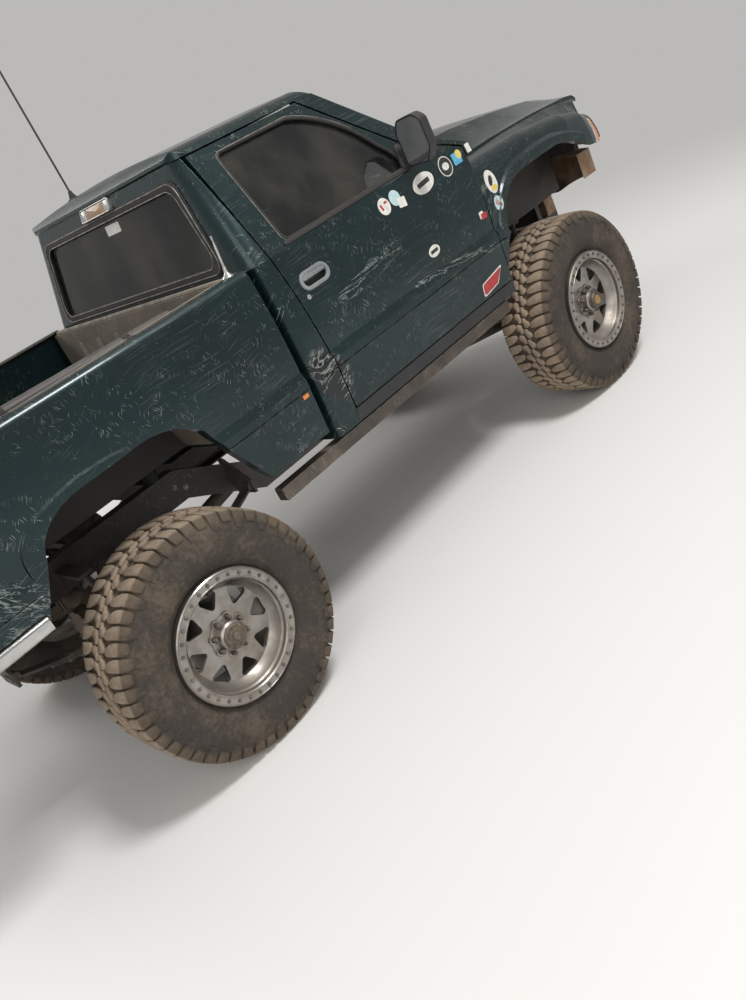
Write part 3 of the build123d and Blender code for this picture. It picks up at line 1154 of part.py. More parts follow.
# Steering knuckles with spindle, caliper and steering arm
for name, side in SIDES:
    with BuildPart() as knuckle:
        rod((FRONT_AXLE_X, side * KINGPIN_Y, AXLE_Z - 94), (FRONT_AXLE_X, side * KINGPIN_Y, AXLE_Z + 94), 30)
        rod((FRONT_AXLE_X, side * KINGPIN_Y, AXLE_Z - 130), (FRONT_AXLE_X, side * KINGPIN_Y, AXLE_Z + 130), BALL_PIN)
        rod((FRONT_AXLE_X, side * (KINGPIN_Y + 10), AXLE_Z), (FRONT_AXLE_X, side * (WHEEL_Y - 60), AXLE_Z), 62)
        rod((FRONT_AXLE_X, side * (WHEEL_Y - 60), AXLE_Z), (FRONT_AXLE_X, side * (WHEEL_Y + 40), AXLE_Z), SPINDLE_RADIUS)
        block(
            (FRONT_AXLE_X, FRONT_AXLE_X + STEER_ARM + 24),
            (side * (KINGPIN_Y - 20), side * (KINGPIN_Y + 20)), (ARM_Z, ARM_Z + ARM_WALL),
        )
        # caliper bracket and caliper round the rotor's rear edge
        block(
            (FRONT_AXLE_X - 215, FRONT_AXLE_X - 30), (side * (KINGPIN_Y + 52), side * (KINGPIN_Y + 68)),
            (AXLE_Z - 32, AXLE_Z + 32),
        )
        block(
            (FRONT_AXLE_X - 214, FRONT_AXLE_X - 174), (side * (KINGPIN_Y + 52), side * (WHEEL_Y - 5)),
            (AXLE_Z - 68, AXLE_Z + 68),
        )
        rod(
            (FRONT_AXLE_X + STEER_ARM, side * KINGPIN_Y, ARM_Z - 1),
            (FRONT_AXLE_X + STEER_ARM, side * KINGPIN_Y, ARM_Z + ARM_WALL + 1), BALL_PIN + PIN_GAP, Mode.SUBTRACT,
        )
    finish(knuckle, f"knuckle_{name}")

ROD_RADIUS = 18
TIE_ROD_Z = ARM_Z - 1 - ROD_RADIUS
with BuildPart() as tie_rod:
    rod(
        (FRONT_AXLE_X + STEER_ARM, -KINGPIN_Y - 16, TIE_ROD_Z),
        (FRONT_AXLE_X + STEER_ARM, KINGPIN_Y + 16, TIE_ROD_Z), ROD_RADIUS,
    )
    for name, side in SIDES:
        rod(
            (FRONT_AXLE_X + STEER_ARM, side * KINGPIN_Y, TIE_ROD_Z),
            (FRONT_AXLE_X + STEER_ARM, side * KINGPIN_Y, ARM_Z + ARM_WALL / 2 - 1), BALL_PIN,
        )
finish(tie_rod, "tie_rod")

# Pitman arm under its gearbox, and the drag link to the right knuckle's arm
PITMAN_X = FRONT_AXLE_X + 130
PITMAN_Y = 395
PITMAN_Z = (620, 642)
DRAG_LINK_Z = ARM_Z + ARM_WALL + 1 + ROD_RADIUS
with BuildPart() as pitman_arm:
    block((PITMAN_X - 26, PITMAN_X + STEER_ARM + 22), (PITMAN_Y - 22, PITMAN_Y + 22), PITMAN_Z)
    rod((PITMAN_X, PITMAN_Y, PITMAN_Z[1]), (PITMAN_X, PITMAN_Y, FRONT_FRAME_TOP - RAIL_HEIGHT - 1), 16)
finish(pitman_arm, "pitman_arm")

with BuildPart() as drag_link:
    link_start = (FRONT_AXLE_X + STEER_ARM, -KINGPIN_Y, DRAG_LINK_Z)
    link_end = (PITMAN_X + STEER_ARM, PITMAN_Y, DRAG_LINK_Z)
    rod(link_start, link_end, ROD_RADIUS)
    rod(
        (link_start[0], link_start[1], ARM_Z + ARM_WALL / 2 + 1), (link_start[0], link_start[1], DRAG_LINK_Z),
        BALL_PIN,
    )
    rod(link_end, (link_end[0], link_end[1], PITMAN_Z[0] - 1), BALL_PIN)
finish(drag_link, "drag_link")

# Tyre: a carcass with arched sidewalls and two rows of tread bars, each bar of
# one row facing a gap of the other. Local Y is the wheel's axis.
TYRE_HALF = TYRE_WIDTH / 2
BEAD_HALF = 136
TREAD_HALF = TREAD_WIDTH / 2
LUG_COUNT = 26
LUG_DEPTH = 18
LUG_FOOT = 5.0          # half angles of a bar at its foot and its tip, in degrees
LUG_TIP = 3.9
SHOULDER = (TREAD_HALF + 8, TYRE_RADIUS - 36)
BEAD_SIDE = (BEAD_HALF + 16, RING_RADIUS + 11)
SEAT_RADIUS = RIM_RADIUS + 0.4
LUG_PROFILE = (
    # angle from the bar's middle, radius
    (-LUG_FOOT, TYRE_RADIUS - LUG_DEPTH), (-LUG_TIP, TYRE_RADIUS), (LUG_TIP, TYRE_RADIUS),
    (LUG_FOOT, TYRE_RADIUS - LUG_DEPTH),
)
HALF_SECTION = Plane(origin=(0, 0, 0), x_dir=(0, 1, 0), z_dir=(1, 0, 0))
with BuildPart() as tyre_form:
    with BuildSketch(HALF_SECTION):
        with BuildLine():
            Polyline(
                (-BEAD_SIDE[0], BEAD_SIDE[1]), (-BEAD_HALF, RING_RADIUS + 3), (-BEAD_HALF, SEAT_RADIUS),
                (BEAD_HALF, SEAT_RADIUS), (BEAD_HALF, RING_RADIUS + 3), BEAD_SIDE,
            )
            ThreePointArc(BEAD_SIDE, (TYRE_HALF, TYRE_RADIUS * 0.75), SHOULDER)
            Line(SHOULDER, (-SHOULDER[0], SHOULDER[1]))
            ThreePointArc(
                (-SHOULDER[0], SHOULDER[1]), (-TYRE_HALF, TYRE_RADIUS * 0.75), (-BEAD_SIDE[0], BEAD_SIDE[1])
            )
        make_face()
    revolve(axis=Axis.Y)
    for row, turn in ((1, 0), (-1, 180 / LUG_COUNT)):
        ring = [
            Vector(radius, 0, 0).rotate(Axis.Z, lug * 360 / LUG_COUNT + angle + row * turn)
            for lug in range(LUG_COUNT) for angle, radius in LUG_PROFILE
        ]
        with BuildSketch(Plane(origin=(0, 0, 0), x_dir=(1, 0, 0), z_dir=(0, row, 0))):
            Polygon(*[(point.X, point.Y) for point in ring], align=None)
            Circle(SHOULDER[1] - 30, mode=Mode.SUBTRACT)
        extrude(amount=SHOULDER[0])

# Wheel: one turned section from the inner flange over the drop and the dish to
# the beadlock ring, with windows between the spokes and a hub that carries the
# brake rotor. Local Y points outboard.
RING_FACE = 170         # beadlock ring's face, outboard of the wheel's middle
DISH_FACE = 96
WINDOW_SPAN = (112, 188)
with BuildPart() as wheel_form:
    with BuildSketch(HALF_SECTION):
        with BuildLine():
            Polyline(
                (-BEAD_HALF - 1, RIM_RADIUS + 12), (-BEAD_HALF - 1, RIM_RADIUS), (BEAD_HALF, RIM_RADIUS),
                (BEAD_HALF, RING_RADIUS), (RING_FACE - 5, RING_RADIUS), (RING_FACE, RING_RADIUS - 5),
                (RING_FACE, RING_INNER_RADIUS + 5), (RING_FACE - 5, RING_INNER_RADIUS),
                (148, RING_INNER_RADIUS - 2), (140, RING_INNER_RADIUS - 8),
            )
            ThreePointArc((140, RING_INNER_RADIUS - 8), (118, 208), (DISH_FACE, 190))
            Polyline(
                (DISH_FACE, 190), (DISH_FACE, HUB_BORE_RADIUS + 1), (76, HUB_BORE_RADIUS + 1), (76, 190),
                (96, 206), (60, 236), (-138, 240), (-150, 262), (-144, RIM_RADIUS + 12), (-BEAD_HALF - 1, RIM_RADIUS + 12),
            )
        make_face()
    revolve(axis=Axis.Y)
    with BuildSketch(Plane(origin=(0, 0, 0), x_dir=(1, 0, 0), z_dir=(0, 1, 0))) as wheel_windows:
        with PolarLocations(0, WINDOW_COUNT):
            Polygon((WINDOW_SPAN[0], 0), (WINDOW_SPAN[1], 54), (WINDOW_SPAN[1], -54), align=None)
        fillet(wheel_windows.vertices(), 13)
    extrude(amount=130, mode=Mode.SUBTRACT)
    # hub with a blind bore for the spindle
    with BuildSketch(HALF_SECTION):
        with BuildLine():
            Polyline(
                (-50, HUB_BORE_RADIUS), (-50, ROTOR_RADIUS), (-50 + ROTOR_WALL, ROTOR_RADIUS),
                (-50 + ROTOR_WALL, 70), (76, 70), (76, 86), (102, 86), (102, 62), (132, 60), (140, 52), (150, 50),
                (150, 0), (48, 0), (48, HUB_BORE_RADIUS), (-50, HUB_BORE_RADIUS),
            )
        make_face()
    revolve(axis=Axis.Y)

for axle, axle_x in (("front", FRONT_AXLE_X), ("rear", REAR_AXLE_X)):
    for name, side in SIDES:
        place = Location((axle_x, side * WHEEL_Y, AXLE_Z), (0, 0, 90 - side * 90))
        with BuildPart() as tyre:
            add(tyre_form.part.moved(place))
        finish(tyre, f"tyre_{axle}_{name}")
        with BuildPart() as wheel:
            add(wheel_form.part.moved(place))
        finish(wheel, f"wheel_{axle}_{name}")

# Front coil springs: a helix between the seats of axle and frame
COIL_RADIUS = 55
WIRE_RADIUS = 8
COIL_TURNS = 6
COIL_FOOT_Z = AXLE_Z + AXLE_TUBE + 6
with BuildPart() as coil_springs:
    for name, side in SIDES:
        with BuildLine(Plane(origin=(FRONT_AXLE_X, side * COIL_Y, COIL_FOOT_Z + WIRE_RADIUS))) as coil:
            height = COIL_TOP_Z - COIL_FOOT_Z - 2 * WIRE_RADIUS
            Helix(pitch=height / COIL_TURNS, height=height, radius=COIL_RADIUS)
        with BuildSketch(Plane(origin=coil.line @ 0, z_dir=coil.line % 0)) as wire:
            RegularPolygon(WIRE_RADIUS, 6)
        sweep(wire.sketch, path=coil.line)
finish(coil_springs, "coil_springs")

# Rear leaf springs: the main leaf ends in eyes, and shorter leaves lie under it
LEAF_WALL = 11
LEAF_REACHES = (1.0, 0.8, 0.62, 0.45, 0.3)      # half lengths as shares of the main leaf's
LEAF_RISE = LEAF_EYE_Z - (AXLE_Z + 128)         # arch of the main leaf
EYE_RADIUS = 20


def leaf_height(reach):
    """Height of the main leaf's lower face at a distance from the axle."""
    return AXLE_Z + 128 + LEAF_RISE * (reach / LEAF_HALF) ** 2


with BuildPart() as leaf_springs:
    for name, side in SIDES:
        for number, share in enumerate(LEAF_REACHES):
            reach = share * LEAF_HALF
            drop = number * LEAF_WALL
            ends = [(REAR_AXLE_X + step * reach, leaf_height(reach) - drop) for step in (-1, 0, 1)]
            middle = (REAR_AXLE_X, leaf_height(0) - drop)
            with BuildSketch(upright(side * LEAF_Y)):
                with BuildLine():
                    ThreePointArc(ends[0], middle, ends[2])
                    Line(ends[2], (ends[2][0], ends[2][1] + LEAF_WALL))
                    ThreePointArc(
                        (ends[2][0], ends[2][1] + LEAF_WALL), (middle[0], middle[1] + LEAF_WALL),
                        (ends[0][0], ends[0][1] + LEAF_WALL),
                    )
                    Line((ends[0][0], ends[0][1] + LEAF_WALL), ends[0])
                make_face()
            extrude(amount=LEAF_WIDTH / 2, both=True)
        for x in (REAR_AXLE_X - LEAF_HALF, REAR_AXLE_X + LEAF_HALF):
            rod((x, side * (LEAF_Y - LEAF_WIDTH / 2), LEAF_EYE_Z + 8), (x, side * (LEAF_Y + LEAF_WIDTH / 2), LEAF_EYE_Z + 8),
                EYE_RADIUS)
        # spring clamp on the axle's perch
        block(
            (REAR_AXLE_X - 58, REAR_AXLE_X + 58), (side * (LEAF_Y - 44), side * (LEAF_Y + 44)),
            (AXLE_Z + 128 + LEAF_WALL, AXLE_Z + 128 + LEAF_WALL + 16),
        )
    add(ladder_frame.part, mode=Mode.SUBTRACT)
finish(leaf_springs, "leaf_springs")

SHOCK_RADIUS = 30
with BuildPart() as shock_absorbers:
    for name, side in SIDES:
        for foot_x, top_x, top_z, shock_y in (
            (FRONT_SHOCK_X, FRONT_SHOCK_X, FRONT_SHOCK_TOP_Z, FRONT_SHOCK_Y),
            (REAR_SHOCK_X[0], REAR_SHOCK_X[1], REAR_SHOCK_TOP_Z + 4, REAR_SHOCK_Y),
        ):
            foot = Vector(foot_x, side * shock_y, SHOCK_FOOT_Z - 4)
            top = Vector(top_x, side * shock_y, top_z)
            middle = foot + (top - foot) * 0.52
            rod(foot, middle, SHOCK_RADIUS)
            rod(middle, top, SHOCK_RADIUS - 16)
    for neighbour in (ladder_frame, rear_axle, front_axle):
        add(neighbour.part, mode=Mode.SUBTRACT)
finish(shock_absorbers, "shock_absorbers")

ARM_FRONT_Y = 470
ARM_END_Y = 400
ARM_END_Z = 610
with BuildPart() as control_arms:
    for name, side in SIDES:
        rod((FRONT_AXLE_X, side * ARM_FRONT_Y, AXLE_Z - 30), (FRONT_AXLE_X - 860, side * ARM_END_Y, ARM_END_Z), 24)
        block(
            (FRONT_AXLE_X - 885, FRONT_AXLE_X - 830), (side * (ARM_END_Y - 30), side * (ARM_END_Y + 30)),
            (ARM_END_Z - 30, CAB_FRAME_TOP - RAIL_HEIGHT),
        )
    add(front_axle.part, mode=Mode.SUBTRACT)
finish(control_arms, "control_arms")

# Engine as one block, gearbox and transfer case
with BuildPart() as engine_block:
    block((FIREWALL_X + 60, FIREWALL_X + 780), (-270, 270), (720, 1330))
finish(engine_block, "engine_block")

TRANSFER_X = (GAP_X + 700, GAP_X + 1000)
REAR_OUTPUT_Z = 740
FRONT_OUTPUT_Z = 680
with BuildPart() as gearbox:
    with BuildSketch(across(FIREWALL_X + 60)):
        with Locations((0, 850)):
            RectangleRounded(330, 300, 60)
    with BuildSketch(across(FIREWALL_X - 220)):
        with Locations((0, 820)):
            RectangleRounded(250, 220, 60)
    loft(ruled=True)
    block((TRANSFER_X[1], FIREWALL_X - 220), (-110, 110), (720, 920))
    block(TRANSFER_X, (-120, 290), (640, 860))
    rod((TRANSFER_X[0] - 50, 0, REAR_OUTPUT_Z), (TRANSFER_X[0], 0, REAR_OUTPUT_Z), 45)
finish(gearbox, "gearbox")

with BuildPart() as driveshafts:
    rod((REAR_AXLE_X + 262, 0, AXLE_Z + 20), (TRANSFER_X[0] - 42, 0, REAR_OUTPUT_Z), 38)
    rod(
        (TRANSFER_X[1] - 8, FRONT_DIFF_Y, FRONT_OUTPUT_Z),
        (FRONT_AXLE_X - 242, FRONT_DIFF_Y, AXLE_Z + 20), 30,
    )
    for neighbour in (rear_axle, front_axle, gearbox):
        add(neighbour.part, mode=Mode.SUBTRACT)
finish(driveshafts, "driveshafts")

with BuildPart() as fuel_tank:
    with BuildSketch(across(GAP_X - 230)):
        with Locations(((RAIL_OUTER_Y + 10 + 730) / 2, 732)):
            RectangleRounded(290, 170, 40)
    extrude(amount=620)
    for strap_x in (GAP_X - 80, GAP_X + 240):
        block((strap_x - 16, strap_x + 16), (RAIL_OUTER_Y, RAIL_OUTER_Y + 30), (700, 780))
finish(fuel_tank, "fuel_tank")

EXHAUST_Y = -262
EXHAUST_Z = 692
with BuildPart() as exhaust:
    rod((GAP_X + 1500, EXHAUST_Y, EXHAUST_Z), (GAP_X + 250, EXHAUST_Y, EXHAUST_Z), 28)
    rod((GAP_X + 960, EXHAUST_Y, EXHAUST_Z), (GAP_X + 560, EXHAUST_Y, EXHAUST_Z), 64)
    block(
        (GAP_X + 1200, GAP_X + 1240), (-RAIL_INNER_Y, EXHAUST_Y), (EXHAUST_Z - 8, EXHAUST_Z + 8),
    )
finish(exhaust, "exhaust")

# Engine bay: radiator support and inner fenders
SUPPORT_X = BUMPER_FRONT_X - 300
HEADER_X = (FENDER_FRONT_X, FENDER_FRONT_X + 14)
with BuildPart() as engine_bay:
    block((SUPPORT_X, SUPPORT_X + 40), (-HOOD_EDGE_Y, HOOD_EDGE_Y), (1205, 1448))
    block((SUPPORT_X, SUPPORT_X + 40), (-RAIL_OUTER_Y, RAIL_OUTER_Y), (FRONT_FRAME_TOP, 1206))
    block((SUPPORT_X + 40, HEADER_X[0]), (-HOOD_EDGE_Y, HOOD_EDGE_Y), (1225, 1240))
    for name, side in SIDES:
        block((FIREWALL_X, SUPPORT_X), (side * (HALF - 360), side * (HALF - 360 + SHEET)), (1020, 1470))
        block((FIREWALL_X, SUPPORT_X - 300), (side * (HALF - 360 + SHEET), side * (HALF - 70)), (1380, 1380 + SHEET))
finish(engine_bay, "engine_bay")

# Interior: bench seat with rounded cushion and backrest, two seats and a
# narrower middle, parted by seams
SEAT_BACK_X = CAB_BACK_X + 100
SEAT_HALF = HALF - 310
SEAT_PLACES = ((0, 130), (SEAT_HALF / 2 + 70, SEAT_HALF / 2 - 74))
with BuildPart() as seat:
    for middle, half in SEAT_PLACES + ((-SEAT_PLACES[1][0], SEAT_PLACES[1][1]),):
        with BuildSketch(upright(middle)):
            with BuildLine():
                Polyline(
                    (SEAT_BACK_X + 620, 1120), (SEAT_BACK_X + 30, 1110), (SEAT_BACK_X + 10, 1360),
                    (SEAT_BACK_X - 24, 1760),
                )
                ThreePointArc((SEAT_BACK_X - 24, 1760), (SEAT_BACK_X + 24, 1808), (SEAT_BACK_X + 76, 1766))
                ThreePointArc((SEAT_BACK_X + 76, 1766), (SEAT_BACK_X + 140, 1560), (SEAT_BACK_X + 164, 1346))
                ThreePointArc((SEAT_BACK_X + 164, 1346), (SEAT_BACK_X + 380, 1330), (SEAT_BACK_X + 590, 1350))
                ThreePointArc((SEAT_BACK_X + 590, 1350), (SEAT_BACK_X + 652, 1300), (SEAT_BACK_X + 640, 1220))
                Line((SEAT_BACK_X + 640, 1220), (SEAT_BACK_X + 620, 1120))
            make_face()
        extrude(amount=half, both=True)
    # base that joins the three
    block((SEAT_BACK_X + 40, SEAT_BACK_X + 600), (-SEAT_HALF + 20, SEAT_HALF - 20), (1080, 1180))
    for side in (-1, 1):
        block(
            (SEAT_BACK_X + 20, SEAT_BACK_X + 60), (side * 100, side * (SEAT_PLACES[1][0] - 100)), (1180, 1700),
        )
        block(
            (SEAT_BACK_X + 100, SEAT_BACK_X + 560), (side * 110, side * (SEAT_PLACES[1][0] - 110)), (1180, 1320),
        )
finish(seat, "seat")

DASH_HALF = HALF - 224
CLUSTER_Y = 400
with BuildPart() as dashboard:
    with BuildSketch(upright(0)):
        with BuildLine():
            Polyline(
                (GAP_X + 1464, 1490), (GAP_X + 1464, 1430), (FIREWALL_X - SHEET, 1430), (FIREWALL_X - SHEET, 1330),
                (GAP_X + 1400, 1310), (GAP_X + 1240, 1385), (GAP_X + 1205, 1500),
            )
            ThreePointArc((GAP_X + 1205, 1500), (GAP_X + 1222, 1572), (GAP_X + 1296, 1590))
            ThreePointArc((GAP_X + 1296, 1590), (GAP_X + 1400, 1560), (GAP_X + 1464, 1490))
        make_face()
    extrude(amount=DASH_HALF, both=True)
    # hood over the instruments, and a recess below it
    with BuildSketch(upright(CLUSTER_Y)):
        with BuildLine():
            ThreePointArc((GAP_X + 1190, 1572), (GAP_X + 1240, 1612), (GAP_X + 1330, 1600))
            Polyline((GAP_X + 1330, 1600), (GAP_X + 1330, 1560), (GAP_X + 1230, 1560), (GAP_X + 1190, 1572))
        make_face()
    extrude(amount=190, both=True)
    # column's mouth
    block((GAP_X + 1190, GAP_X + 1240), (CLUSTER_Y - 60, CLUSTER_Y + 60), (1400, 1480))
    add(cab_floor.part, mode=Mode.SUBTRACT)
finish(dashboard, "dashboard")

with BuildPart() as steering_wheel:
    with Locations(Location((GAP_X + 1090, CLUSTER_Y, 1560), (0, -62, 0))):
        Torus(185, 15)
        Box(356, 36, 16)
        Cylinder(52, 24)
    rod((GAP_X + 1090, CLUSTER_Y, 1560), (GAP_X + 1290, CLUSTER_Y, 1454), 24)
    add(dashboard.part, mode=Mode.SUBTRACT)
finish(steering_wheel, "steering_wheel")

# Rock sliders
SLIDER_X = (GAP_X - 321, FRONT_AXLE_X - 555)
SLIDER_Z = 764
SLIDER_SIZE = 60
SLIDER_WALL = 6
SLIDER_Y = HALF - 75 - SLIDER_SIZE / 2
with BuildPart() as rock_sliders:
    for name, side in SIDES:
        with BuildSketch(across(SLIDER_X[0])):
            with Locations((side * SLIDER_Y, SLIDER_Z)):
                Rectangle(SLIDER_SIZE, SLIDER_SIZE)
                Rectangle(SLIDER_SIZE - 2 * SLIDER_WALL, SLIDER_SIZE - 2 * SLIDER_WALL, mode=Mode.SUBTRACT)
        extrude(amount=SLIDER_X[1] - SLIDER_X[0])
        for x in (GAP_X + 560, GAP_X + 980, GAP_X + 1300):
            block((x - 24, x + 24), (side * RAIL_OUTER_Y, side * (SLIDER_Y - SLIDER_SIZE / 2)), (740, 780))
finish(rock_sliders, "rock_sliders")

# Front bumper: plate beam with swept wings and two shackle tabs
BUMPER_Z = (985, 1195)
TAB_Y = 380
TAB_WALL = 25
TAB_BORE_RADIUS = 12
TAB_BORE_INSET = 30
BEAM_FACE_X = BUMPER_FRONT_X - 75
BEAM_LINE = (
    # station behind the beam's face, distance from the centre line
    (0, HALF - 580), (70, HALF - 300), (210, HALF - 80),
)
BEAM_DEPTH = 110
PLATE_WALL = 8
with BuildPart() as front_bumper:
    # folded plate, open at the back, with swept and rising wings
    for inset, mode in ((0, Mode.ADD), (PLATE_WALL, Mode.SUBTRACT)):
        with BuildSketch(level(BUMPER_Z[0] + inset)):
            front = [(BEAM_FACE_X - back - inset, y - inset) for back, y in BEAM_LINE]
            rear = [(BEAM_FACE_X - back - BEAM_DEPTH - 4 * inset, y - 20 - inset) for back, y in BEAM_LINE]
            Polygon(
                *front, *reversed(rear), *[(x, -y) for x, y in rear], *[(x, -y) for x, y in reversed(front)],
                align=None,
            )
        extrude(amount=BUMPER_Z[1] - BUMPER_Z[0] - 2 * inset, mode=mode)
    # the wings' undersides rise towards their ends
    for name, side in SIDES:
        with BuildSketch(across(BEAM_FACE_X - 400)):
            Polygon(
                (side * (HALF - 420), BUMPER_Z[0] - 1), (side * HALF, BUMPER_Z[0] - 1),
                (side * HALF, BUMPER_Z[0] + 88), align=None,
            )
        extrude(amount=400, mode=Mode.SUBTRACT)
    for name, side in SIDES:
        # ring for a tow hook on each wing
        with BuildSketch(upright(side * (HALF - 300))) as ring:
            with Locations((BEAM_FACE_X - 74, BUMPER_Z[1] - 2)):
                Circle(30)
                Circle(17, mode=Mode.SUBTRACT)
        extrude(ring.sketch, amount=8, both=True)
    for name, side in SIDES:
        block(
            (BEAM_FACE_X - 5, BUMPER_FRONT_X), (side * TAB_Y, side * (TAB_Y + TAB_WALL)),
            (BUMPER_Z[0] + 50, BUMPER_Z[0] + 120),
        )
        rod(
            (BUMPER_FRONT_X - TAB_BORE_INSET, side * (TAB_Y - 1), BUMPER_Z[0] + 85),
            (BUMPER_FRONT_X - TAB_BORE_INSET, side * (TAB_Y + TAB_WALL + 1), BUMPER_Z[0] + 85),
            TAB_BORE_RADIUS, Mode.SUBTRACT,
        )
        # horns down to the frame rails
        block(
            (BUMPER_FRONT_X - 190, BUMPER_FRONT_X - 90), (side * RAIL_INNER_Y, side * RAIL_OUTER_Y),
            (FRONT_FRAME_TOP, BUMPER_Z[0]),
        )
finish(front_bumper, "front_bumper")

# Rear bumper: beam with side arms that run forward under the bed sides
REAR_BUMPER_Z = (940, 1085)
ARM_BAR_Z = (965, 1022)
ARM_BAR_FRONT_X = REAR_AXLE_X - 515
RECEIVER_SIZE = 75
RECEIVER_BORE = 51
RECEIVER_LENGTH = 165
RECEIVER_Z = REAR_BUMPER_Z[0] - 60
with BuildPart() as rear_bumper:
    # beam with a rolled face and a step pad on top
    with BuildSketch(upright(0)):
        with BuildLine():
            Polyline(
                (BED_REAR_X - 12, REAR_BUMPER_Z[0]), (BED_REAR_X - 12, REAR_BUMPER_Z[1] - 12),
                (BED_REAR_X - 30, REAR_BUMPER_Z[1]), (BUMPER_REAR_X + 24, REAR_BUMPER_Z[1]),
            )
            ThreePointArc(
                (BUMPER_REAR_X + 24, REAR_BUMPER_Z[1]), (BUMPER_REAR_X + 6, REAR_BUMPER_Z[1] - 12),
                (BUMPER_REAR_X, REAR_BUMPER_Z[1] - 36),
            )
            Polyline(
                (BUMPER_REAR_X, REAR_BUMPER_Z[1] - 36), (BUMPER_REAR_X + 8, REAR_BUMPER_Z[0]),
                (BED_REAR_X - 12, REAR_BUMPER_Z[0]),
            )
        make_face()
    extrude(amount=HALF - 15, both=True)
    for name, side in SIDES:
        # side arm of a rounded bar section
        with BuildSketch(across(BED_REAR_X - 20)) as bar:
            with Locations((side * (HALF - 38), sum(ARM_BAR_Z) / 2)):
                RectangleRounded(80, ARM_BAR_Z[1] - ARM_BAR_Z[0], 14)
        extrude(bar.sketch, amount=ARM_BAR_FRONT_X - BED_REAR_X + 20)
        block(
            (BED_REAR_X - 14, BED_REAR_X + 30), (side * RAIL_INNER_Y, side * RAIL_OUTER_Y),
            (REAR_FRAME_TOP - RAIL_HEIGHT, REAR_FRAME_TOP),
        )
    # receiver tube on a plate under the beam
    with BuildSketch(across(BUMPER_REAR_X + 20)):
        with Locations((0, RECEIVER_Z)):
            Rectangle(RECEIVER_SIZE, RECEIVER_SIZE)
            Rectangle(RECEIVER_BORE, RECEIVER_BORE, mode=Mode.SUBTRACT)
    extrude(amount=RECEIVER_LENGTH)
    block(
        (BUMPER_REAR_X + 40, BUMPER_REAR_X + 120), (-60, 60),
        (RECEIVER_Z + RECEIVER_SIZE / 2, REAR_BUMPER_Z[0]),
    )
finish(rear_bumper, "rear_bumper")

# Front header with grille bars, and lamps beside it
GRILLE_HALF = HALF - 470
GRILLE_Z = (1250, 1474)
BAR_COUNT = 6
LAMP_Y = (HALF - 410, HALF - 148)
LAMP_Z = (1240, 1346)
LAMP_CORNER = 16
LENS_EDGE = 6
HEADER_TOP = ((HOOD_EDGE_Y, 1450), (HOOD_SHOULDER_Y, 1504))
HEADER_FOOT_Z = 1215
gap_z, shoulder_z, draw_in = FENDER_SECTIONS[-1][1:]
with BuildPart() as grille:
    with BuildSketch(across(HEADER_X[0])):
        with BuildLine() as line:
            for name, side in SIDES:
                fender_top(side, gap_z, shoulder_z, draw_in)
                Polyline((side * HOOD_GAP_Y, gap_z), *[(side * y, z) for y, z in HEADER_TOP])
            Line((-HEADER_TOP[-1][0], HEADER_TOP[-1][1]), HEADER_TOP[-1])
            Line((draw_in + CREASE_STEP - HALF, CREASE_Z), (HALF - draw_in - CREASE_STEP, CREASE_Z))
        make_face(line.edges())
        with Locations((0, (CREASE_Z + HEADER_FOOT_Z) / 2)):
            Rectangle(BODY_WIDTH, HEADER_FOOT_Z - CREASE_Z, mode=Mode.SUBTRACT)
        with Locations((0, sum(GRILLE_Z) / 2)):
            Rectangle(2 * GRILLE_HALF, GRILLE_Z[1] - GRILLE_Z[0], mode=Mode.SUBTRACT)
        for name, side in SIDES:
            with Locations((side * sum(LAMP_Y) / 2, sum(LAMP_Z) / 2)):
                RectangleRounded(
                    LAMP_Y[1] - LAMP_Y[0], LAMP_Z[1] - LAMP_Z[0], LAMP_CORNER, mode=Mode.SUBTRACT
                )
    extrude(amount=HEADER_X[1] - HEADER_X[0])
    bar_step = (GRILLE_Z[1] - GRILLE_Z[0]) / (BAR_COUNT + 1)
    for bar in range(BAR_COUNT):
        bar_z = GRILLE_Z[0] + (bar + 1) * bar_step
        block((HEADER_X[0] - 10, HEADER_X[1] + 12), (-GRILLE_HALF - 4, GRILLE_HALF + 4), (bar_z - 7, bar_z + 7))
finish(grille, "grille")

with BuildPart() as front_lamps:
    with BuildSketch(across(HEADER_X[0] - 40)) as lenses:
        for name, side in SIDES:
            with Locations((side * sum(LAMP_Y) / 2, sum(LAMP_Z) / 2)):
                RectangleRounded(LAMP_Y[1] - LAMP_Y[0], LAMP_Z[1] - LAMP_Z[0], LAMP_CORNER)
    extrude(lenses.sketch, amount=HEADER_X[1] - HEADER_X[0] + 50)
    fillet(front_lamps.faces().sort_by(Axis.X)[-2:].edges(), LENS_EDGE)
    for name, side in SIDES:
        with BuildPart() as marker:
            add(fender(side))
            marker_room(side, Mode.INTERSECT)
        add(marker.part)
finish(front_lamps, "front_lamps")

TAIL_LAMP_Y = (TUB_HALF + 4, HALF - 24)
TAIL_LAMP_Z = (1240, 1560)
TAIL_LAMP_WALL = 10
with BuildPart() as rear_lamps:
    with BuildSketch(across(BED_REAR_X - TAIL_LAMP_WALL)) as lenses:
        for name, side in SIDES:
            with Locations((side * sum(TAIL_LAMP_Y) / 2, sum(TAIL_LAMP_Z) / 2)):
                RectangleRounded(TAIL_LAMP_Y[1] - TAIL_LAMP_Y[0], TAIL_LAMP_Z[1] - TAIL_LAMP_Z[0], LAMP_CORNER)
    extrude(lenses.sketch, amount=TAIL_LAMP_WALL)
    fillet(rear_lamps.faces().sort_by(Axis.X)[:2].edges(), LENS_EDGE)
finish(rear_lamps, "rear_lamps")

with BuildPart() as antenna:
    rod((GAP_X + 180, 320, ROOF_CROWN_Z - 15), (GAP_X + 180, 320, ROOF_CROWN_Z + 14), 16)
    rod((GAP_X + 180, 320, ROOF_CROWN_Z - 15), (GAP_X + 180, 320, ROOF_CROWN_Z + 700), 5)
    add(cab_roof.part, mode=Mode.SUBTRACT)
finish(antenna, "antenna")
